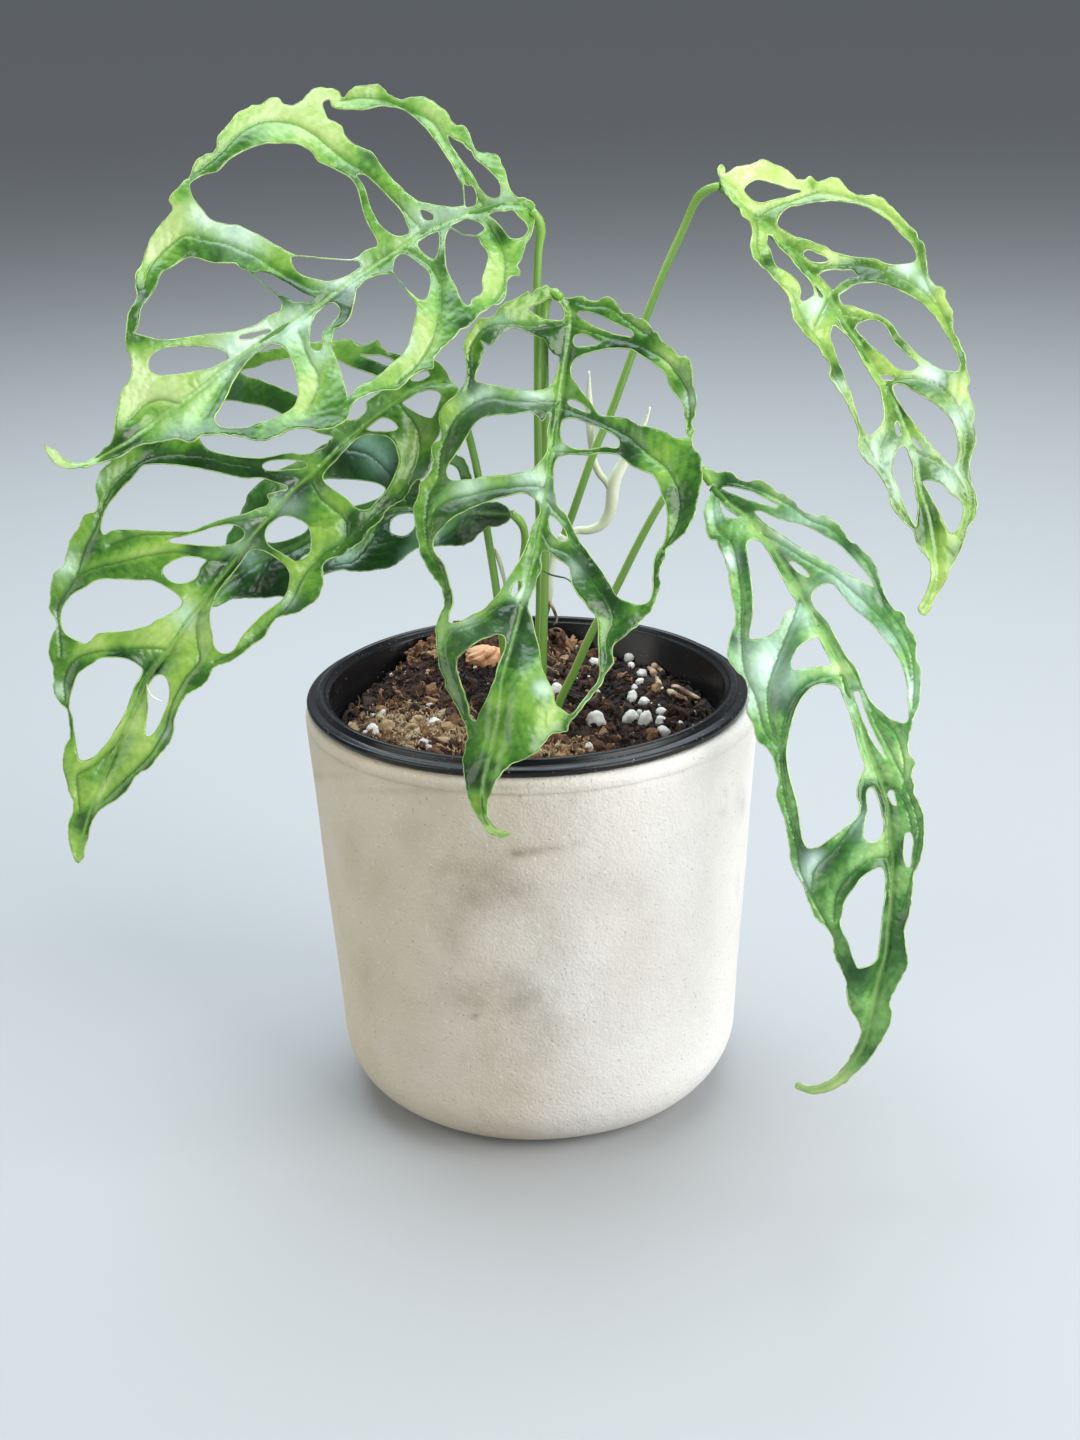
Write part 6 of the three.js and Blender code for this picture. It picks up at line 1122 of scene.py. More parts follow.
# Blade folded along its veins, quilted between fine side veins, with a raised midrib line
def make_blade(name, leaf, look, seed):
    corners, triangles, loops, rib, veins = blade_layout(leaf, seed)
    surface, normals = blade_surface(leaf)
    to_rib, along_rib = distance_to_line(corners, rib)
    to_vein, along_vein, above = beside_veins(corners, veins)
    to_edge = distance_to_lines(corners, [closed(loop) for loop in loops])

    def wave(size, shift):
        return waves(corners, size, seed + shift)

    wander = SIDE_VEIN_WANDER * wave(SIDE_VEIN_WANDER_SIZE, 2)
    phase = (along_vein + SIDE_VEIN_SLANT * to_vein + wander) / SIDE_VEIN_STEP
    side_vein = bell(phase % 1 - 0.5, SIDE_VEIN_WIDTH)
    side_vein = side_vein * crease(to_edge, EDGE_REACH) * crease(to_vein, SIDE_VEIN_CLEAR)
    fold = FOLD_HEIGHT * crease(to_vein, FOLD_REACH) * crease(to_rib, FOLD_REACH_AT_RIB)
    groove = -VEIN_GROOVE * np.exp(-to_vein / VEIN_GROOVE_REACH) - RIB_GROOVE * bell(to_rib, RIB_GROOVE_REACH)
    line = RIB_LINE * bell(to_rib, RIB_LINE_REACH)
    ripple = BROAD_RIPPLE * wave(BROAD_RIPPLE_SIZE, 0) + SMALL_RIPPLE * wave(SMALL_RIPPLE_SIZE, 5)
    ripple -= SIDE_VEIN_GROOVE * side_vein
    crisp = EDGE_RIPPLE * wave(EDGE_RIPPLE_SIZE, 3) * np.exp(-to_edge / EDGE_REACH)
    facing = normals(corners)
    middle = surface(corners) + facing * (fold + groove + line + ripple + crisp)[:, None]
    half = facing * (BLADE_THICKNESS / 2)
    sides = corners[triangles]
    areas = np.cross(sides[:, 1] - sides[:, 0], sides[:, 2] - sides[:, 0])
    turned_up = np.where((areas > 0)[:, None], triangles, triangles[:, ::-1])
    vertices = np.concatenate([middle + half, middle - half])
    blade = make_object(name, vertices, sheet_faces(turned_up, len(corners)))

    patch = TONE["middle"] + TONE["broad"] * wave(TONE_BROAD_SIZE, 9)
    patch += TONE["small"] * wave(TONE_SMALL_SIZE, 7)
    # Painted light and shade: lighter above each vein and darker below it, lighter on sunlit spots and darker
    # on shaded ones
    patch += TONE["above"] * above
    patch += TONE["light"] * spots(corners, leaf["light"]) - TONE["shade"] * spots(corners, leaf["shade"])
    patch -= TONE["side_vein"] * side_vein
    patch += TONE["tip"] * np.clip((along_rib - TIP_START) / TIP_FADE, 0, 1)
    # Painted sheen: a pale reflection on its spots, stronger on the side above each vein
    sheen = spots(corners, leaf["sheen"]) * (SHEEN["spot"] + SHEEN["above"] * above)
    sheen += SHEEN["wave"] * wave(SHEEN_WAVE_SIZE, 11) * (above > 0)
    # Painted shade along the vein grooves
    add_value(blade, "vein", np.tile(np.exp(-to_vein / VEIN_SHADE_REACH), 2))
    add_value(blade, "rib", np.tile(bell(to_rib, RIB_COLOUR_REACH), 2))
    add_value(blade, "patch", np.tile(patch, 2))
    add_value(blade, "sheen", np.tile(np.clip(sheen, 0, 1), 2))
    threads = [smooth_line(pairs(flat), 2) for flat in leaf["threads"]]
    to_threads = distance_to_lines(corners, threads)
    radii = MARGIN_RADIUS * (0.5 + 0.5 * np.minimum(1, to_threads / MARGIN_THREAD_REACH))
    make_margin(name, middle, facing, boundary_rings(boundary_edges(turned_up)), radii, look["margin"])
    return finish_piece(blade, look["blade"], name)


# Round tube through points in millimetres, with a radius at each
def tube_mesh(points, radii, sides):
    points = np.asarray(points)
    vertices = []
    across = np.array([1, 0.1, 0.2])
    last = len(points) - 1
    ring = once_round(sides)
    for i, point in enumerate(points):
        along = points[min(last, i + 1)] - points[max(0, i - 1)]
        along = along / np.linalg.norm(along)
        across = across - along * (across @ along)
        across = across / np.linalg.norm(across)
        other = np.cross(along, across)
        for aside, above in ring:
            vertices.append(point + radii[i] * (aside * across + above * other))
    return vertices, skin_faces(len(points), sides)


# Faces of a closed skin over rows of points, each row running once round
def skin_faces(rows, sides):
    faces = []
    for row in range(rows - 1):
        for side in range(sides):
            a = row * sides + side
            b = row * sides + (side + 1) % sides
            faces.append((a, b, b + sides, a + sides))
    faces.append(tuple(range(sides))[::-1])
    faces.append(tuple((rows - 1) * sides + side for side in range(sides)))
    return faces


# Tube with its height, 0 to 1 along it
def make_tube(name, route, radii, sides, material, node):
    vertices, faces = tube_mesh(route, radii, sides)
    piece = make_object(name, vertices, faces)
    add_value(piece, "height", np.repeat(np.linspace(0, 1, len(route)), sides))
    return finish_piece(piece, material, node)


# Tube along drawn points, whose radii are given at even steps along it
def make_drawn_tube(name, flat, spacing, radii, sides, material, node):
    route = smooth_line(path_points(flat), spacing)
    steps = np.linspace(0, 1, len(radii))
    return make_tube(name, route, np.interp(np.linspace(0, 1, len(route)), steps, radii), sides,
        material, node)


# Soil's surface, with gentle swells, as in the solids
def soil_height(x, y):
    swells = 0.7 * np.sin(x * 0.31 + 1.2) * np.sin(y * 0.27) + 0.5 * np.sin(x * 0.13 - y * 0.19)
    height = SOIL_LEVEL + swells
    for heap in SOIL_HEAPS:
        across = (x - heap["x"]) / heap["width"]
        back = (y - heap["y"]) / heap["depth"]
        height = height + heap["height"] * np.exp(-across ** 2 - back ** 2)
    return height


# Places just over the soil that show at drawing points
def places_over_soil(uv, lift):
    height = np.full(len(uv), float(SOIL_LEVEL))
    for step in range(SOIL_HEIGHT_STEPS):
        places = points_at(uv, HEIGHT, height)
        height = (height + soil_height(places[:, 0], places[:, 1]) + lift) / 2
    return points_at(uv, HEIGHT, height)


# Places on the soil that show at drawing points, or on the pot's back wall where that hides the soil
def places_on_soil(uv, lift):
    places = places_over_soil(uv, lift)
    limit = nursery_inner_radius(SOIL_LEVEL) - lift
    for step in range(WALL_STEPS):
        beyond = np.hypot(places[:, 0] - NURSERY_OFFSET_X, places[:, 1]) > limit
        if not beyond.any():
            break
        places[beyond] = points_at(uv[beyond], DEPTH, places[beyond, 1] - WALL_STEP)
    return places


# Stalk's route: up from under the soil, then along the drawn points that are clear of it
def stalk_route(flat):
    path = path_points(flat)
    x, y = path[0][:2]
    mouth = soil_height(x, y)
    above = [p for p in path[1:] if p[2] > mouth + STALK_CLEAR]
    return np.array([(x, y, mouth - STALK_DEPTH), (x, y, mouth + STALK_MOUTH), *above])


def make_stalk(node, material, knee):
    route = smooth_line(stalk_route(STALKS[node]), 2.0)
    share = np.linspace(0, 1, len(route))
    radii = STALK_RADIUS * (1 - STALK_TAPER * share) + knee * bell(share - KNEE_PLACE, KNEE_LENGTH)
    stalk = make_tube(node + "_stalk", route, radii, STALK_SIDES, material, node)
    add_value(stalk, "around", np.tile(np.arange(STALK_SIDES) / STALK_SIDES, len(route)))


# Round midrib that stands out of the blade's back and ends a little before its tip
def make_back_rib(node, leaf, material):
    rib = smooth_line(pairs(leaf["midrib"]), BACK_RIB_STEP)
    surface, normals = blade_surface(leaf)
    share = np.linspace(0, 1, len(rib))
    path = surface(rib) - normals(rib) * (BACK_RIB_DEPTH + BACK_RIB_ADDED_AT_BASE * (1 - share))[:, None]
    radii = BACK_RIB_RADIUS * (1 - share) + BACK_RIB_TIP_RADIUS * share
    keep = slice(0, int(len(rib) * BACK_RIB_LENGTH))
    vertices, faces = tube_mesh(path[keep], radii[keep], BACK_RIB_SIDES)
    finish_piece(make_object(node + "_midrib", vertices, faces), material, node)


def new_material(name, colour, roughness):
    material = bpy.data.materials.new(name)
    material.use_nodes = True
    shader = material.node_tree.nodes["Principled BSDF"]
    shader.inputs["Base Color"].default_value = (*colour, 1)
    shader.inputs["Roughness"].default_value = roughness
    return material, material.node_tree, shader


def value_of(tree, name):
    node = tree.nodes.new("ShaderNodeAttribute")
    node.attribute_name = name
    return node.outputs["Fac"]


def noise_of(tree, scale, detail):
    place = tree.nodes.new("ShaderNodeTexCoord")
    node = tree.nodes.new("ShaderNodeTexNoise")
    node.inputs["Scale"].default_value = scale
    node.inputs["Detail"].default_value = detail
    tree.links.new(place.outputs["Object"], node.inputs["Vector"])
    return node.outputs["Fac"]


def ramp_of(tree, source, stops):
    node = tree.nodes.new("ShaderNodeValToRGB")
    ramp = node.color_ramp
    while len(ramp.elements) < len(stops):
        ramp.elements.new(0.5)
    for element, (place, colour) in zip(ramp.elements, stops):
        element.position = place
        element.color = (*colour, 1)
    tree.links.new(source, node.inputs["Fac"])
    return node.outputs["Color"]


def ramp_value(tree, source, low, high):
    return ramp_of(tree, source, [(low, (0, 0, 0)), (high, (1, 1, 1))])


# Sum or product of a socket with another socket or with a number
def math_of(tree, kind, first, second):
    node = tree.nodes.new("ShaderNodeMath")
    node.operation = kind
    tree.links.new(first, node.inputs[0])
    if isinstance(second, bpy.types.NodeSocket):
        tree.links.new(second, node.inputs[1])
    else:
        node.inputs[1].default_value = second
    return node.outputs[0]


def sum_of(tree, first, second):
    return math_of(tree, "ADD", first, second)


def product_of(tree, first, second):
    return math_of(tree, "MULTIPLY", first, second)


def mix_colour(tree, factor, first, second):
    node = tree.nodes.new("ShaderNodeMix")
    node.data_type = "RGBA"
    tree.links.new(factor, node.inputs["Factor"])
    for socket, value in ((node.inputs[6], first), (node.inputs[7], second)):
        if isinstance(value, tuple):
            socket.default_value = (*value, 1)
        else:
            tree.links.new(value, socket)
    return node.outputs[2]


def add_bump(tree, shader, height, strength, distance):
    node = tree.nodes.new("ShaderNodeBump")
    node.inputs["Strength"].default_value = strength
    node.inputs["Distance"].default_value = distance
    tree.links.new(height, node.inputs["Height"])
    tree.links.new(node.outputs["Normal"], shader.inputs["Normal"])


def paint(tree, shader, colour):
    tree.links.new(colour, shader.inputs["Base Color"])


# Leaf skin: mottled green with a painted pale sheen, veins darkened by painted shade in their grooves,
# a coloured midrib and small cells
def leaf_material(name, colours, rib, pale, strength):
    material, tree, shader = new_material(name, colours[2], 0.28)
    broad = product_of(tree, noise_of(tree, 110, 5), 0.2)
    fine = product_of(tree, noise_of(tree, 420, 4), 0.3)
    mottled = sum_of(tree, sum_of(tree, broad, fine), -0.25)
    tone = sum_of(tree, value_of(tree, "patch"), mottled)
    green = ramp_of(tree, tone, list(zip(GREEN_STOPS, colours)))
    # Painted sheen: the pale colour mixed in by the sheen value
    green = mix_colour(tree, product_of(tree, value_of(tree, "sheen"), strength), green, pale)
    # Painted shade in the vein grooves
    green = mix_colour(tree, product_of(tree, value_of(tree, "vein"), 0.6), green, colours[1])
    green = mix_colour(tree, product_of(tree, value_of(tree, "rib"), 0.85), green, rib)
    paint(tree, shader, green)
    shader.inputs["Specular IOR Level"].default_value = 0.5
    shader.inputs["Coat Weight"].default_value = 0.08
    shader.inputs["Coat Roughness"].default_value = 0.15
    cells = tree.nodes.new("ShaderNodeTexVoronoi")
    cells.feature = "SMOOTH_F1"
    cells.inputs["Scale"].default_value = 620
    place = tree.nodes.new("ShaderNodeTexCoord")
    tree.links.new(place.outputs["Object"], cells.inputs["Vector"])
    add_bump(tree, shader, cells.outputs["Distance"], 0.3, 0.0005)
    return material


def margin_material(name, colour):
    material, tree, shader = new_material(name, colour, 0.4)
    tint = tuple(0.5 * c for c in colour)
    paint(tree, shader, ramp_of(tree, noise_of(tree, 260, 3), [(0.35, tint), (0.6, colour)]))
    return material


# Stalk with a painted highlight down one side and painted shade round the other, plain green near the blade
def stalk_material():
    material, tree, shader = new_material("stalk", (0.12, 0.3, 0.05), 0.38)
    lit_and_shaded = ramp_of(tree, value_of(tree, "around"), STALK_SHADE_TO_HIGHLIGHT)
    near_blade = ramp_value(tree, value_of(tree, "height"), 0.82, 0.95)
    paint(tree, shader, mix_colour(tree, near_blade, lit_and_shaded, (0.2, 0.4, 0.06)))
    add_bump(tree, shader, noise_of(tree, 700, 2), 0.1, 0.0003)
    return material


# Unglazed clay: mottled, smudged at its marks and darkened by painted shade under the rim, cream at the left,
# painted lighter at the right where the light falls, with specks and grains
def clay_material():
    material, tree, shader = new_material("clay", (0.6, 0.56, 0.49), 0.85)
    shader.inputs["Specular IOR Level"].default_value = 0.2
    clay = ramp_of(tree, noise_of(tree, 22, 7),
        [(0.3, (0.46, 0.41, 0.33)), (0.46, (0.58, 0.54, 0.47)), (0.68, (0.66, 0.64, 0.6))])
    rough = product_of(tree, sum_of(tree, noise_of(tree, 130, 9), noise_of(tree, 30, 4)), 0.5)
    # Real smudges and painted shade under the rim, roughened by the grain
    smudged_and_shaded = product_of(tree, value_of(tree, "smudge_and_shade"), ramp_value(tree, rough, 0.3, 0.62))
    cloudy = sum_of(tree, sum_of(tree, smudged_and_shaded, product_of(tree, noise_of(tree, 38, 8), 0.5)), -0.2)
    clay = mix_colour(tree, ramp_value(tree, cloudy, 0.05, 1.0), clay, (0.13, 0.11, 0.08))
    clay = mix_colour(tree, value_of(tree, "cream"), clay, (0.63, 0.535, 0.365))
    # Painted light: the right side lighter
    clay = mix_colour(tree, value_of(tree, "pale"), clay, (0.8, 0.8, 0.8))
    specks = ramp_value(tree, noise_of(tree, 900, 3), 0.66, 0.72)
    clay = mix_colour(tree, product_of(tree, specks, 0.5), clay, (0.2, 0.16, 0.12))
    grains = ramp_value(tree, noise_of(tree, 700, 4), 0.62, 0.72)
    clay = mix_colour(tree, product_of(tree, grains, 0.4), clay, (0.76, 0.74, 0.69))
    paint(tree, shader, clay)
    grain = sum_of(tree, noise_of(tree, 1100, 5), product_of(tree, noise_of(tree, 240, 6), 1.2))
    add_bump(tree, shader, grain, 0.6, 0.0007)
    return material


# Glossy black plastic with patches of dust
def nursery_material():
    black = (0.006, 0.006, 0.007)
    material, tree, shader = new_material("black_plastic", black, 0.3)
    shader.inputs["Specular IOR Level"].default_value = 0.3
    specks = ramp_value(tree, noise_of(tree, 1500, 2), 0.7, 0.74)
    patches = ramp_value(tree, noise_of(tree, 60, 3), 0.4, 0.62)
    dust = mix_colour(tree, patches, (0.0, 0.0, 0.0), specks)
    paint(tree, shader, mix_colour(tree, dust, black, (0.5, 0.48, 0.44)))
    gloss = ramp_of(tree, noise_of(tree, 45, 4), [(0.3, (0.16,) * 3), (0.7, (0.34,) * 3)])
    tree.links.new(gloss, shader.inputs["Roughness"])
    add_bump(tree, shader, noise_of(tree, 300, 3), 0.08, 0.0003)
    return material


# Rough stuff coloured by each piece's tone, with dirt in its grain
def tone_material(name, stops, roughness, dirt):
    material, tree, shader = new_material(name, stops[0][1], roughness)
    tone = ramp_of(tree, value_of(tree, "tone"), stops)
    paint(tree, shader, mix_colour(tree, product_of(tree, noise_of(tree, 600, 4), dirt), tone, DIRT))
    add_bump(tree, shader, noise_of(tree, 900, 4), 0.5, 0.0008)
    return material


def shoot_material(name, low, high):
    material, tree, shader = new_material(name, low, 0.42)
    paint(tree, shader, ramp_of(tree, value_of(tree, "height"), [(0.0, low), (0.6, high), (1.0, high)]))
    shader.inputs["Subsurface Weight"].default_value = 0.1
    shader.inputs["Subsurface Scale"].default_value = 0.001
    return material


# Skin of a profile of radii and heights, spun round an upright axis
def spin(profile, segments, centre_x=0.0, wobble=0.0):
    vertices = []
    ring = once_round(segments)
    for radius, height in profile:
        for along_x, along_y in ring:
            uneven = wobble * noise.noise(Vector((along_x * 2, along_y * 2, height / 30)))
            real = radius + (uneven if radius > 1 else 0)
            vertices.append((centre_x + real * along_x, real * along_y, height))
    return vertices, skin_faces(len(profile), segments)


# Points on an arc from one angle to another round a centre
def arc(centre, radius, start, end, steps):
    angles = np.radians(np.linspace(start, end, steps))
    return [(centre[0] + radius * math.cos(a), centre[1] + radius * math.sin(a)) for a in angles]


# Points between two ends, without the ends
def between(start, end, steps):
    return [tuple(p) for p in np.linspace(start, end, steps)[1:-1]]


def make_clay():
    corner = arc((CLAY_FOOT_RADIUS - CLAY_CORNER, CLAY_CORNER), CLAY_CORNER, -90, 0, 14)
    lip_foot = CLAY_HEIGHT - CLAY_LIP_ROUND
    lip = arc((CLAY_TOP_RADIUS - CLAY_LIP_ROUND, lip_foot), CLAY_LIP_ROUND, 0, 90, 9)
    inner = [(CLAY_INNER_TOP + 1, CLAY_HEIGHT), (CLAY_INNER_TOP, CLAY_HEIGHT - 1), (CLAY_INNER_FOOT, 30),
        (CLAY_INNER_FOOT - 1, CLAY_FLOOR + 11), (CLAY_INNER_FOOT - 5.5, CLAY_FLOOR + 2.5),
        (CLAY_INNER_FOOT - 12, CLAY_FLOOR)]
    line = CLAY_HEIGHT - CLAY_LINE_UNDER_TOP
    radius = np.interp(line, (CLAY_CORNER, lip_foot), (CLAY_FOOT_RADIUS, CLAY_TOP_RADIUS))
    depth = radius - CLAY_LINE_DEPTH
    groove = [(radius, line - 0.6), (depth, line - 0.2), (depth, line + 0.2), (radius, line + 0.5)]
    wall = [*between(corner[-1], groove[0], 84), *groove, *between(groove[-1], lip[0], 4)]
    profile = [(AXIS_GAP, 0), *corner, *wall, *lip, *inner, (AXIS_GAP, CLAY_FLOOR)]
    vertices, faces = spin(profile, CLAY_SEGMENTS, wobble=CLAY_WOBBLE)
    pot = make_object("clay_cover_pot_body", vertices, faces)
    places = np.array(vertices)
    shown = drawn_at(places)
    # Painted shade along the groove under the lip, added to the smudges
    smudge_and_shade = 0.35 * bell(places[:, 2] - line, 0.7)
    for u, v, wide, high, amount in np.array(CLAY_MARKS, float).reshape(-1, 5):
        smudge_and_shade += amount * np.exp(-((shown[:, 0] - u) / wide) ** 2 - ((shown[:, 1] - v) / high) ** 2)
    outside = np.hypot(places[:, 0], places[:, 1]) > CLAY_FOOT_RADIUS - CLAY_CORNER
    add_value(pot, "smudge_and_shade", np.where((places[:, 1] < 0) & outside, smudge_and_shade, 0))
    add_value(pot, "cream", 0.55 * np.clip(0.2 - places[:, 0] / 75, 0, 1))
    # Painted light: lighter towards the right, where the light falls
    add_value(pot, "pale", 0.55 * np.clip(places[:, 0] / 60 + 0.1, 0, 1))
    finish_piece(pot, clay_material(), "clay_cover_pot")


def nursery_inner_radius(height):
    floor = NURSERY_FLOOR_UNDER + NURSERY_WALL
    share = (height - floor) / (NURSERY_BEAD_TOP - floor)
    return NURSERY_INNER_FLOOR + (NURSERY_INNER_TOP - NURSERY_INNER_FLOOR) * share


def make_nursery():
    under = CLAY_HEIGHT + 0.35
    floor = NURSERY_FLOOR_UNDER

    def outer_radius(height):
        return nursery_inner_radius(height) + NURSERY_WALL

    bead = arc((NURSERY_BEAD_RADIUS - 1.4, NURSERY_BEAD_TOP - 1.3), 1.3, 0, 180, 9)
    flange = arc((NURSERY_FLANGE_RADIUS - 1.1, under + 1.2), 1.1, -45, 90, 6)
    profile = [(AXIS_GAP, floor), (outer_radius(floor) - 2, floor), (outer_radius(floor + 3), floor + 3),
        (outer_radius(under), under), (NURSERY_FLANGE_RADIUS - 0.6, under), *flange,
        (NURSERY_BEAD_RADIUS + 0.6, NURSERY_FLANGE_TOP), (NURSERY_BEAD_RADIUS, NURSERY_FLANGE_TOP + 0.3),
        *bead, (NURSERY_INNER_TOP + 0.4, NURSERY_BEAD_TOP - 1.6), (NURSERY_INNER_TOP, NURSERY_BEAD_TOP - 2.4),
        (nursery_inner_radius(floor + NURSERY_WALL), floor + NURSERY_WALL), (AXIS_GAP, floor + NURSERY_WALL)]
    vertices, faces = spin(profile, 160, NURSERY_OFFSET_X)
    pot = make_object("black_nursery_pot_body", vertices, faces)
    finish_piece(pot, nursery_material(), "black_nursery_pot")


# Closed ball of triangles that the lumps are shaped from
def lump_template(detail):
    bpy.ops.mesh.primitive_ico_sphere_add(subdivisions=detail, radius=1)
    ball = bpy.context.object
    vertices = np.array([v.co[:] for v in ball.data.vertices])
    faces = [tuple(p.vertices) for p in ball.data.polygons]
    bpy.data.objects.remove(ball)
    return vertices, faces


def turned(vertices, angles):
    turn = Matrix.Identity(3)
    for angle, axis in zip(angles, "XYZ"):
        turn = turn @ Matrix.Rotation(angle, 3, axis)
    return vertices @ np.array(turn)


# Template pushed in and out by bumps, each an amount, a fineness and a shift, then squashed and turned
def rough_lump(template, size, bumps, squash):
    uneven = np.array([size + sum(amount * noise.noise(Vector(v) * fineness + Vector(shift))
        for amount, fineness, shift in bumps) for v in template])
    return turned(template * uneven[:, None] * squash, rng.uniform(0, FULL_TURN, 3))


def join_lumps(name, lumps, tones, material, smooth=False):
    vertices = []
    faces = []
    values = []
    for (points, own_faces), tone in zip(lumps, tones):
        start = len(vertices)
        vertices.extend(points)
        faces.extend(tuple(start + i for i in face) for face in own_faces)
        values.extend([tone] * len(points))
    piece = make_object(name, vertices, faces, smooth)
    add_value(piece, "tone", values)
    finish_piece(piece, material, "soil")


# Body of soil: a rough top of rings that sinks at the pot's wall, and a plain foot, toned darker than the
# lumps as painted shade in the gaps between them
def make_soil(material):
    edge = nursery_inner_radius(SOIL_LEVEL - 2) - 0.6
    ring_places = once_round(SOIL_SIDES)
    vertices = [(NURSERY_OFFSET_X, 0, soil_height(NURSERY_OFFSET_X, 0))]
    for ring in range(1, SOIL_RINGS + 1):
        radius = edge * ring / SOIL_RINGS
        sink = 15 * max(0, ring / SOIL_RINGS - 0.9)
        for along_x, along_y in ring_places:
            x = NURSERY_OFFSET_X + radius * along_x
            y = radius * along_y
            rough = 1.5 * noise.noise(Vector((x / 3.2, y / 3.2, 0))) + noise.noise(Vector((x, y, 3)))
            vertices.append((x, y, soil_height(x, y) + rough - sink))
    bottom = NURSERY_FLOOR_UNDER + NURSERY_WALL + 0.35
    foot_radius = nursery_inner_radius(bottom) - 0.95
    for along_x, along_y in ring_places:
        vertices.append((NURSERY_OFFSET_X + foot_radius * along_x, foot_radius * along_y, bottom))
    faces = [(0, 1 + side, 1 + (side + 1) % SOIL_SIDES) for side in range(SOIL_SIDES)]
    for ring in range(SOIL_RINGS):
        for side in range(SOIL_SIDES):
            a = 1 + ring * SOIL_SIDES + side
            b = 1 + ring * SOIL_SIDES + (side + 1) % SOIL_SIDES
            faces.append((a, a + SOIL_SIDES, b + SOIL_SIDES, b))
    foot = 1 + SOIL_RINGS * SOIL_SIDES
    faces.append(tuple(foot + side for side in range(SOIL_SIDES))[::-1])
    soil = make_object("soil_body", vertices, faces, False)
    # Painted shade: the body's tone is darker than the lumps', for the shade in the gaps between them
    add_value(soil, "tone", [ground_tone(v[0], v[1]) - 0.12 for v in vertices])
    finish_piece(soil, material, "soil")


# How pale the soil is, 0 to 1: golden moss at the front left, chunky bark at the back, dark at the right
def ground_tone(x, y):
    def patch(middle_x, middle_y, wide, deep):
        return math.exp(-((x - middle_x) / wide) ** 2 - ((y - middle_y) / deep) ** 2)

    golden = patch(-38, -10, 24, 28) + 0.9 * patch(9, -32, 13, 14)
    rosy = patch(-38, 50, 15, 17) + 0.8 * patch(10, 50, 15, 24)
    dark = patch(30, 18, 16, 30) + patch(-17, 18, 14, 14)
    uneven = 0.3 * noise.noise(Vector((x / 5, y / 5, 2)))
    return 0.22 + 0.58 * min(1, golden) + 0.32 * rosy - 0.12 * dark + uneven


def soil_place():
    radius = (nursery_inner_radius(SOIL_LEVEL) - 3) * math.sqrt(rng.random())
    angle = 2 * math.pi * rng.random()
    x = NURSERY_OFFSET_X + radius * math.cos(angle)
    y = radius * math.sin(angle)
    return np.array([x, y, soil_height(x, y)])


def soil_tone(place, spread):
    return float(np.clip(ground_tone(place[0], place[1]) + rng.normal(0, spread), 0, 1))


# How far a place on the soil is from the pot's wall
def room_to_wall(place):
    return nursery_inner_radius(SOIL_LEVEL) - math.hypot(place[0] - NURSERY_OFFSET_X, place[1])


# Lumps of one size range, squashed, turned and half sunk in the soil
def make_lumps(name, count, sizes, knobs, detail, material):
    template, faces = lump_template(detail)
    lumps = []
    tones = []
    for k in range(count):
        size = rng.uniform(*sizes)
        place = soil_place()
        if size > LARGE_LUMP and room_to_wall(place) < LARGE_LUMP_ROOM:
            continue
        squash = (size, size * rng.uniform(0.4, 1), size * rng.uniform(0.3, 0.8))
        lump = rough_lump(template, 1, [(knobs, 2, (k, 0, 7))], squash)
        lumps.append((lump + place + (0, 0, size * 0.2), faces))
        tones.append(soil_tone(place, 0.2))
    join_lumps(name, lumps, tones, material)


# Place drawn in from the nursery pot's wall, so that a lump of a given size lies on the soil beside the wall
def inside_wall(place, size):
    x = place[0] - NURSERY_OFFSET_X
    y = place[1]
    share = (nursery_inner_radius(SOIL_LEVEL) - size - 1) / math.hypot(x, y)
    if share >= 1:
        return place
    x = NURSERY_OFFSET_X + x * share
    y = y * share
    return np.array([x, y, soil_height(x, y) + 0.7 * size])


# Chunky bark pieces piled at the back left and along the back
def make_heap(material):
    template, faces = lump_template(3)
    lumps = []
    tones = []
    for k, (u, v, size) in enumerate(triples(HEAP)):
        place = inside_wall(places_over_soil(np.array([[u, v]]), np.array([0.3 * size]))[0], size)
        squash = (size, size * rng.uniform(0.6, 0.9), size * rng.uniform(0.45, 0.7))
        lump = rough_lump(template, 1, [(0.7, 1.4, (k, 3, 7)), (0.3, 4, (k, 5, 1))], squash)
        lumps.append((lump + place, faces))
        tones.append(rng.uniform(0.42, 0.78))
    join_lumps("heap_chips", lumps, tones, material)


# Curled fibres: long loose ones everywhere, and short tight moss where the soil is golden
def make_fibres(material):
    lumps = []
    tones = []
    for k in range(FIBRE_COUNT):
        start = soil_place()
        tone = soil_tone(start, 0.1)
        mossy = tone > 0.55
        if not mossy and k % 4:
            continue
        heading = rng.uniform(0, 2 * math.pi)
        length = rng.uniform(2, 5) if mossy else rng.uniform(3, 11)
        bend = rng.uniform(-1.4, 1.4) if mossy else rng.uniform(-0.5, 0.5)
        stride = length / FIBRE_STEPS
        path = [start + (0, 0, 0.5)]
        for step in range(FIBRE_STEPS):
            heading += bend + rng.uniform(-0.3, 0.3)
            nearby = path[-1] + (stride * math.cos(heading), stride * math.sin(heading), 0)
            nearby[2] = soil_height(nearby[0], nearby[1]) + rng.uniform(0.4, 2.2 if mossy else 1.3)
            path.append(nearby)
        if room_to_wall(path[-1]) < 1.5:
            continue
        thickness = rng.uniform(0.14, 0.28) if mossy else rng.uniform(0.1, 0.22)
        lumps.append(tube_mesh(path, [thickness] * len(path), 4))
        tones.append(min(1, tone + (0.2 if mossy else 0.12)))
    join_lumps("soil_fibres", lumps, tones, material)


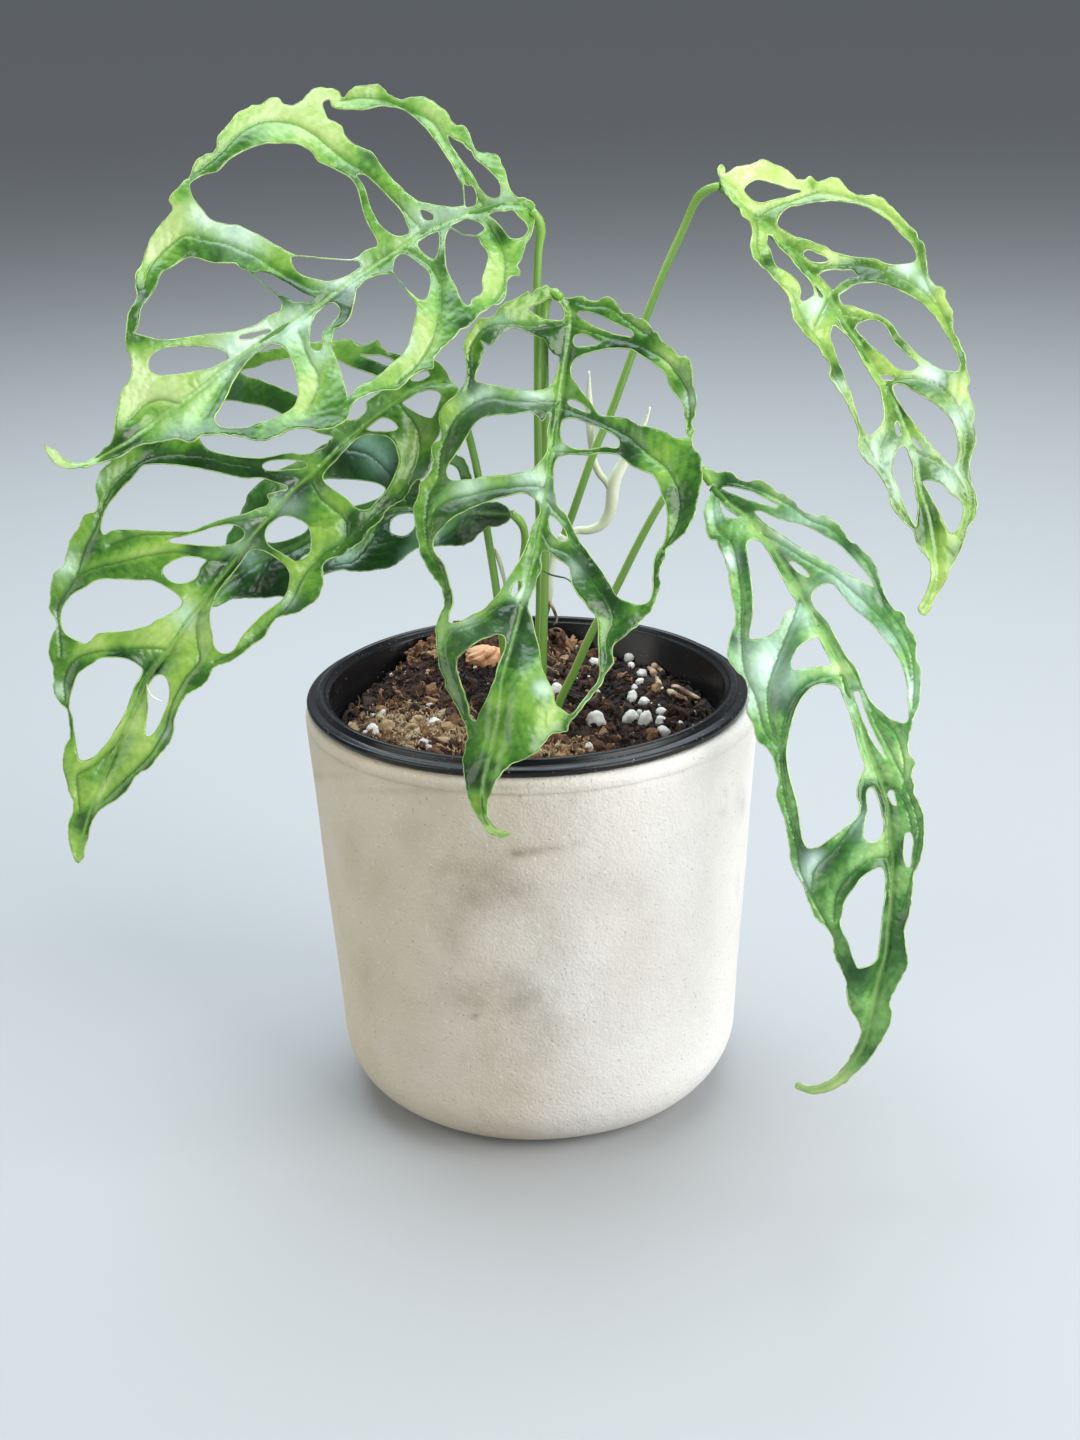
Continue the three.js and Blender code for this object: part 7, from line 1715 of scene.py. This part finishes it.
# White grains: those of the table, and small ones strewn over the soil
def make_perlite(material):
    template, faces = lump_template(3)
    lumps = []
    tones = []
    rows = triples(PERLITE)
    grains = list(zip(places_over_soil(rows[:, :2], 0.5 * rows[:, 2]), rows[:, 2]))
    for k in range(SMALL_GRAINS):
        grains.append((soil_place() + (0, 0, 0.4), rng.uniform(0.3, 0.7)))
    for k, (place, radius) in enumerate(grains):
        squash = (radius * rng.uniform(1.0, 1.3), radius, radius * 0.85)
        lump = rough_lump(template, 1.12, [(0.3, 1.1, (k, 0, 0)), (0.2, 2.4, (0, k, 0))], squash)
        lumps.append((lump + place, faces))
        tones.append(rng.random())
    join_lumps("perlite", lumps, tones, material, True)


# Bark chip: a rounded block with slanting layers and rough ends
def make_bark(material):
    bpy.ops.mesh.primitive_cube_add(size=1)
    cube = bpy.context.object
    modifier = cube.modifiers.new("finer", "SUBSURF")
    modifier.subdivision_type = "SIMPLE"
    modifier.levels = 5
    finer = cube.evaluated_get(bpy.context.evaluated_depsgraph_get()).to_mesh()
    points = np.array([v.co[:] for v in finer.vertices])
    faces = [tuple(p.vertices) for p in finer.polygons]
    bpy.data.objects.remove(cube)
    reach = (np.abs(points * 2) ** BARK_ROUNDNESS).sum(axis=1)
    round_off = 1 / np.maximum(1, reach) ** (1 / BARK_ROUNDNESS)
    size = (BARK["length"] * 1.12, BARK["depth"] * 1.12, BARK["height"] * 1.15)
    points = points * round_off[:, None] * size
    points[:, 1] *= np.where(points[:, 0] > 0, 0.85, 1)
    tones = []
    for k, p in enumerate(points):
        layer = noise.noise(Vector((p[0] * 0.14, p[1] * 0.15, p[2] * 0.9 - p[0] * 0.45)))
        lump = noise.noise(Vector(p) * 0.3)
        splinter = noise.noise(Vector((p[0] * 0.3, p[1] * 1.2, p[2] * 2.4)))
        points[k] = p * (1 + 0.12 * layer + 0.14 * lump) + splinter * np.array([0.5, 0.3, 0.2])
        # Painted light: the tone rises with height, so the chip is lighter on top where the light falls
        tones.append(0.6 + 0.5 * layer + 0.3 * lump + 0.06 * points[k][2])
    spun = points @ np.array(Matrix.Rotation(-BARK["turn"], 3, "Z"))
    piece = make_object("bark_chip_body", spun + (BARK["x"], BARK["y"], BARK["z"]), faces)
    add_value(piece, "tone", np.clip(tones, 0, 1))
    finish_piece(piece, material, "bark_chip")


# Thin tapering strand through places in millimetres
def make_strand(name, places, radius, material, node):
    route = smooth_line(places, 0.8)
    share = np.linspace(0, 1, len(route))
    radii = radius * np.clip(np.minimum(0.4 + 4 * share, 1.15 - 0.75 * share ** 2), 0.2, 1)
    piece = make_tube(name, route, radii, STRAND_SIDES, material, node)
    add_value(piece, "tone", np.repeat(0.5 + 0.5 * np.sin(share * 9), STRAND_SIDES))


def on_blade(leaf, flat):
    return blade_surface(leaf)[0](pairs(flat))


def make_strands(dark_green, pale_green, brown):
    thread = on_blade(FRONT_LEAF, THREAD_OF_FRONT_LEAF)
    tendril = on_blade(LOWER_LEFT_LEAF, TENDRIL_OF_LOWER_LEFT_LEAF)
    scar = on_blade(LOWER_LEFT_LEAF, SCAR_OF_LOWER_LEFT_LEAF)
    wing = path_points(WING_OF_LOWER_LEFT_STALK)
    for name, places, radius, material, node in (
        ("leaf_front_thread", thread, 0.3, dark_green, "leaf_front"),
        ("leaf_lower_left_tendril", tendril, 0.35, pale_green, "leaf_lower_left"),
        ("leaf_lower_left_scar", scar, 0.75, brown, "leaf_lower_left"),
        ("leaf_lower_left_wing", wing, 0.75, pale_green, "leaf_lower_left"),
        ("air_root", path_points(AIR_ROOT), 0.55, brown, "leaf_upper_right"),
    ):
        make_strand(name, places, radius, material, node)
    for kind, table, lift, radius in (("soil_root_", ROOTS, 0.8, 0.5), ("bark_strip_", STRIPS, 0.9, 1.3)):
        for letter, flat in zip("abcd", table):
            make_strand(kind + letter, places_on_soil(pairs(flat), lift), radius, brown, "soil")


def make_camera():
    centre = np.array([[DRAWING_WIDTH / 2, DRAWING_HEIGHT / 2]])
    ahead = Vector(sight_lines(centre)[0]).normalized()
    right = Vector(sight_lines(centre + (100, 0))[0] - sight_lines(centre - (100, 0))[0]).normalized()
    up = right.cross(ahead)
    data = bpy.data.cameras.new("camera")
    data.sensor_fit = "VERTICAL"
    data.sensor_height = SENSOR_HEIGHT
    data.lens = VIEW["focal"] / DRAWING_HEIGHT * SENSOR_HEIGHT
    data.clip_start = 0.01
    camera = bpy.data.objects.new("camera", data)
    turn = Matrix((right, up, -ahead)).transposed().to_4x4()
    camera.matrix_world = Matrix.Translation(Vector(VIEWPOINT * MM)) @ turn
    bpy.context.scene.collection.objects.link(camera)
    bpy.context.scene.camera = camera


def make_light(name, place, aim, size, power, colour):
    data = bpy.data.lights.new(name, "AREA")
    data.size = size
    data.energy = power
    data.color = colour
    light = bpy.data.objects.new(name, data)
    light.location = place
    light.rotation_euler = (Vector(aim) - Vector(place)).to_track_quat("-Z", "Y").to_euler()
    bpy.context.scene.collection.objects.link(light)


def make_stage():
    bpy.ops.mesh.primitive_plane_add(size=60)
    floor = bpy.context.object
    floor.name = "floor"
    floor.data.materials.append(new_material("floor", (0.4, 0.41, 0.42), 0.9)[0])
    world = bpy.data.worlds.new("studio")
    bpy.context.scene.world = world
    world.use_nodes = True
    background = world.node_tree.nodes["Background"]
    background.inputs["Color"].default_value = (0.78, 0.84, 0.9, 1)
    background.inputs["Strength"].default_value = 0.3
    make_light("key", (1.0, -0.6, 0.65), (0.0, 0.0, 0.15), 1.1, 23, (1.0, 0.99, 0.97))
    make_light("fill", (-0.9, -0.5, 0.6), (0.0, 0.0, 0.15), 0.9, 6, (1.0, 0.97, 0.9))
    make_light("sky", (-0.05, 0.45, 1.25), (0.0, 0.0, 0.2), 1.3, 26, (0.82, 0.93, 1.0))


# Blade colours from shade to sun, the midrib's colour, the painted sheen's pale colour, its strength, the
# margin's colour.
# The looks are painted light and shade: lighter greens for the leaves in the light, darker ones for those in
# shade, with deep for the back leaf in the others' shade, and sheened with the strongest painted sheen.
LEAF_LOOKS = {
    "light": (
        [(0.012, 0.06, 0.004), (0.05, 0.17, 0.012), (0.16, 0.35, 0.05), (0.34, 0.5, 0.14), (0.5, 0.62, 0.28)],
        (0.26, 0.46, 0.12), (0.56, 0.74, 0.62), 0.8, (0.4, 0.57, 0.2)),
    "middle": (
        [(0.006, 0.036, 0.003), (0.024, 0.1, 0.008), (0.09, 0.24, 0.025), (0.23, 0.41, 0.06),
            (0.42, 0.57, 0.16)],
        (0.2, 0.4, 0.08), (0.5, 0.7, 0.56), 0.8, (0.34, 0.52, 0.16)),
    "yellow": (
        [(0.02, 0.075, 0.006), (0.075, 0.19, 0.02), (0.21, 0.37, 0.065), (0.38, 0.53, 0.13),
            (0.54, 0.66, 0.26)],
        (0.16, 0.35, 0.07), (0.58, 0.78, 0.68), 0.95, (0.44, 0.6, 0.24)),
    "sheened": (
        [(0.012, 0.07, 0.01), (0.05, 0.18, 0.03), (0.18, 0.4, 0.1), (0.4, 0.6, 0.22), (0.62, 0.72, 0.26)],
        (0.28, 0.5, 0.13), (0.62, 0.82, 0.76), 1.0, (0.46, 0.64, 0.28)),
    "deep": (
        [(0.004, 0.025, 0.003), (0.012, 0.065, 0.009), (0.045, 0.16, 0.025), (0.12, 0.3, 0.06),
            (0.3, 0.48, 0.16)],
        (0.14, 0.3, 0.07), (0.32, 0.56, 0.46), 0.8, (0.28, 0.46, 0.17)),
}

# Each leaf's node, shape, look, slot, seed and the knee at its stalk's end
PLANT = [
    ("leaf_upper_left", UPPER_LEFT_LEAF, "light", "leaf_green", 1, 0.45),
    ("leaf_lower_left", LOWER_LEFT_LEAF, "middle", "leaf_green", 12, 0.25),
    ("leaf_back", BACK_LEAF, "deep", "leaf_dark", 23, 0.2),
    ("leaf_front", FRONT_LEAF, "middle", "leaf_green", 34, 0.35),
    ("leaf_upper_right", UPPER_RIGHT_LEAF, "yellow", "leaf_green", 45, 0.3),
    ("leaf_lower_right", LOWER_RIGHT_LEAF, "sheened", "leaf_green", 56, 0.3),
]

bpy.context.scene.view_settings.view_transform = "Standard"
make_camera()
make_stage()
looks = {}
for look, (colours, rib, sheen, strength, margin) in LEAF_LOOKS.items():
    looks[look] = {"blade": leaf_material("leaf_" + look, colours, rib, sheen, strength),
        "margin": margin_material("margin_" + look, margin)}
green_stalk = stalk_material()
cream = shoot_material("shoot", (0.6, 0.66, 0.42), (0.84, 0.87, 0.7))
pale = shoot_material("sheath", (0.58, 0.6, 0.42), (0.78, 0.8, 0.64))
soil_stops = [(0.0, (0.006, 0.003, 0.003)), (0.3, (0.035, 0.014, 0.009)), (0.5, (0.12, 0.05, 0.026)),
    (0.68, (0.33, 0.17, 0.085)), (0.82, (0.55, 0.38, 0.2)), (1.0, (0.75, 0.62, 0.42))]
bark_stops = [(0.1, (0.2, 0.06, 0.025)), (0.5, (0.56, 0.25, 0.11)), (0.9, (0.72, 0.42, 0.24))]
root_stops = [(0.0, (0.12, 0.05, 0.025)), (0.5, (0.4, 0.22, 0.12)), (1.0, (0.66, 0.5, 0.34))]
earth = tone_material("soil", soil_stops, 0.9, 0.6)
white = tone_material("perlite", [(0.0, (0.74, 0.72, 0.67)), (1.0, (0.9, 0.89, 0.85))], 0.85, 0.3)
bark = tone_material("bark", bark_stops, 0.8, 0.2)
root_brown = tone_material("root", root_stops, 0.7, 0.3)
thread_green = new_material("thread", (0.02, 0.07, 0.02), 0.4)[0]

for node, leaf, look, slot, seed, knee in PLANT:
    make_blade(node, leaf, looks[look], seed)
    make_back_rib(node, leaf, green_stalk)
    make_stalk(node, green_stalk, knee)
make_drawn_tube("stalk_sheath", SHEATH, 1.5, SHEATH_RADII, 16, pale, "leaf_upper_right")
for letter, shoot in zip("ab", SHOOTS):
    make_drawn_tube("young_shoot_" + letter, shoot["path"], 1.0, shoot["radii"], 14, cream,
        "young_shoots")
make_strands(thread_green, pale, root_brown)
make_clay()
make_nursery()
make_soil(earth)
make_lumps("soil_crumbs", 3000, (0.4, 1.5), 0.6, 1, earth)
make_lumps("bark_bits", 520, (1.2, 3.2), 0.8, 2, earth)
make_heap(earth)
make_fibres(earth)
make_perlite(white)
make_bark(bark)
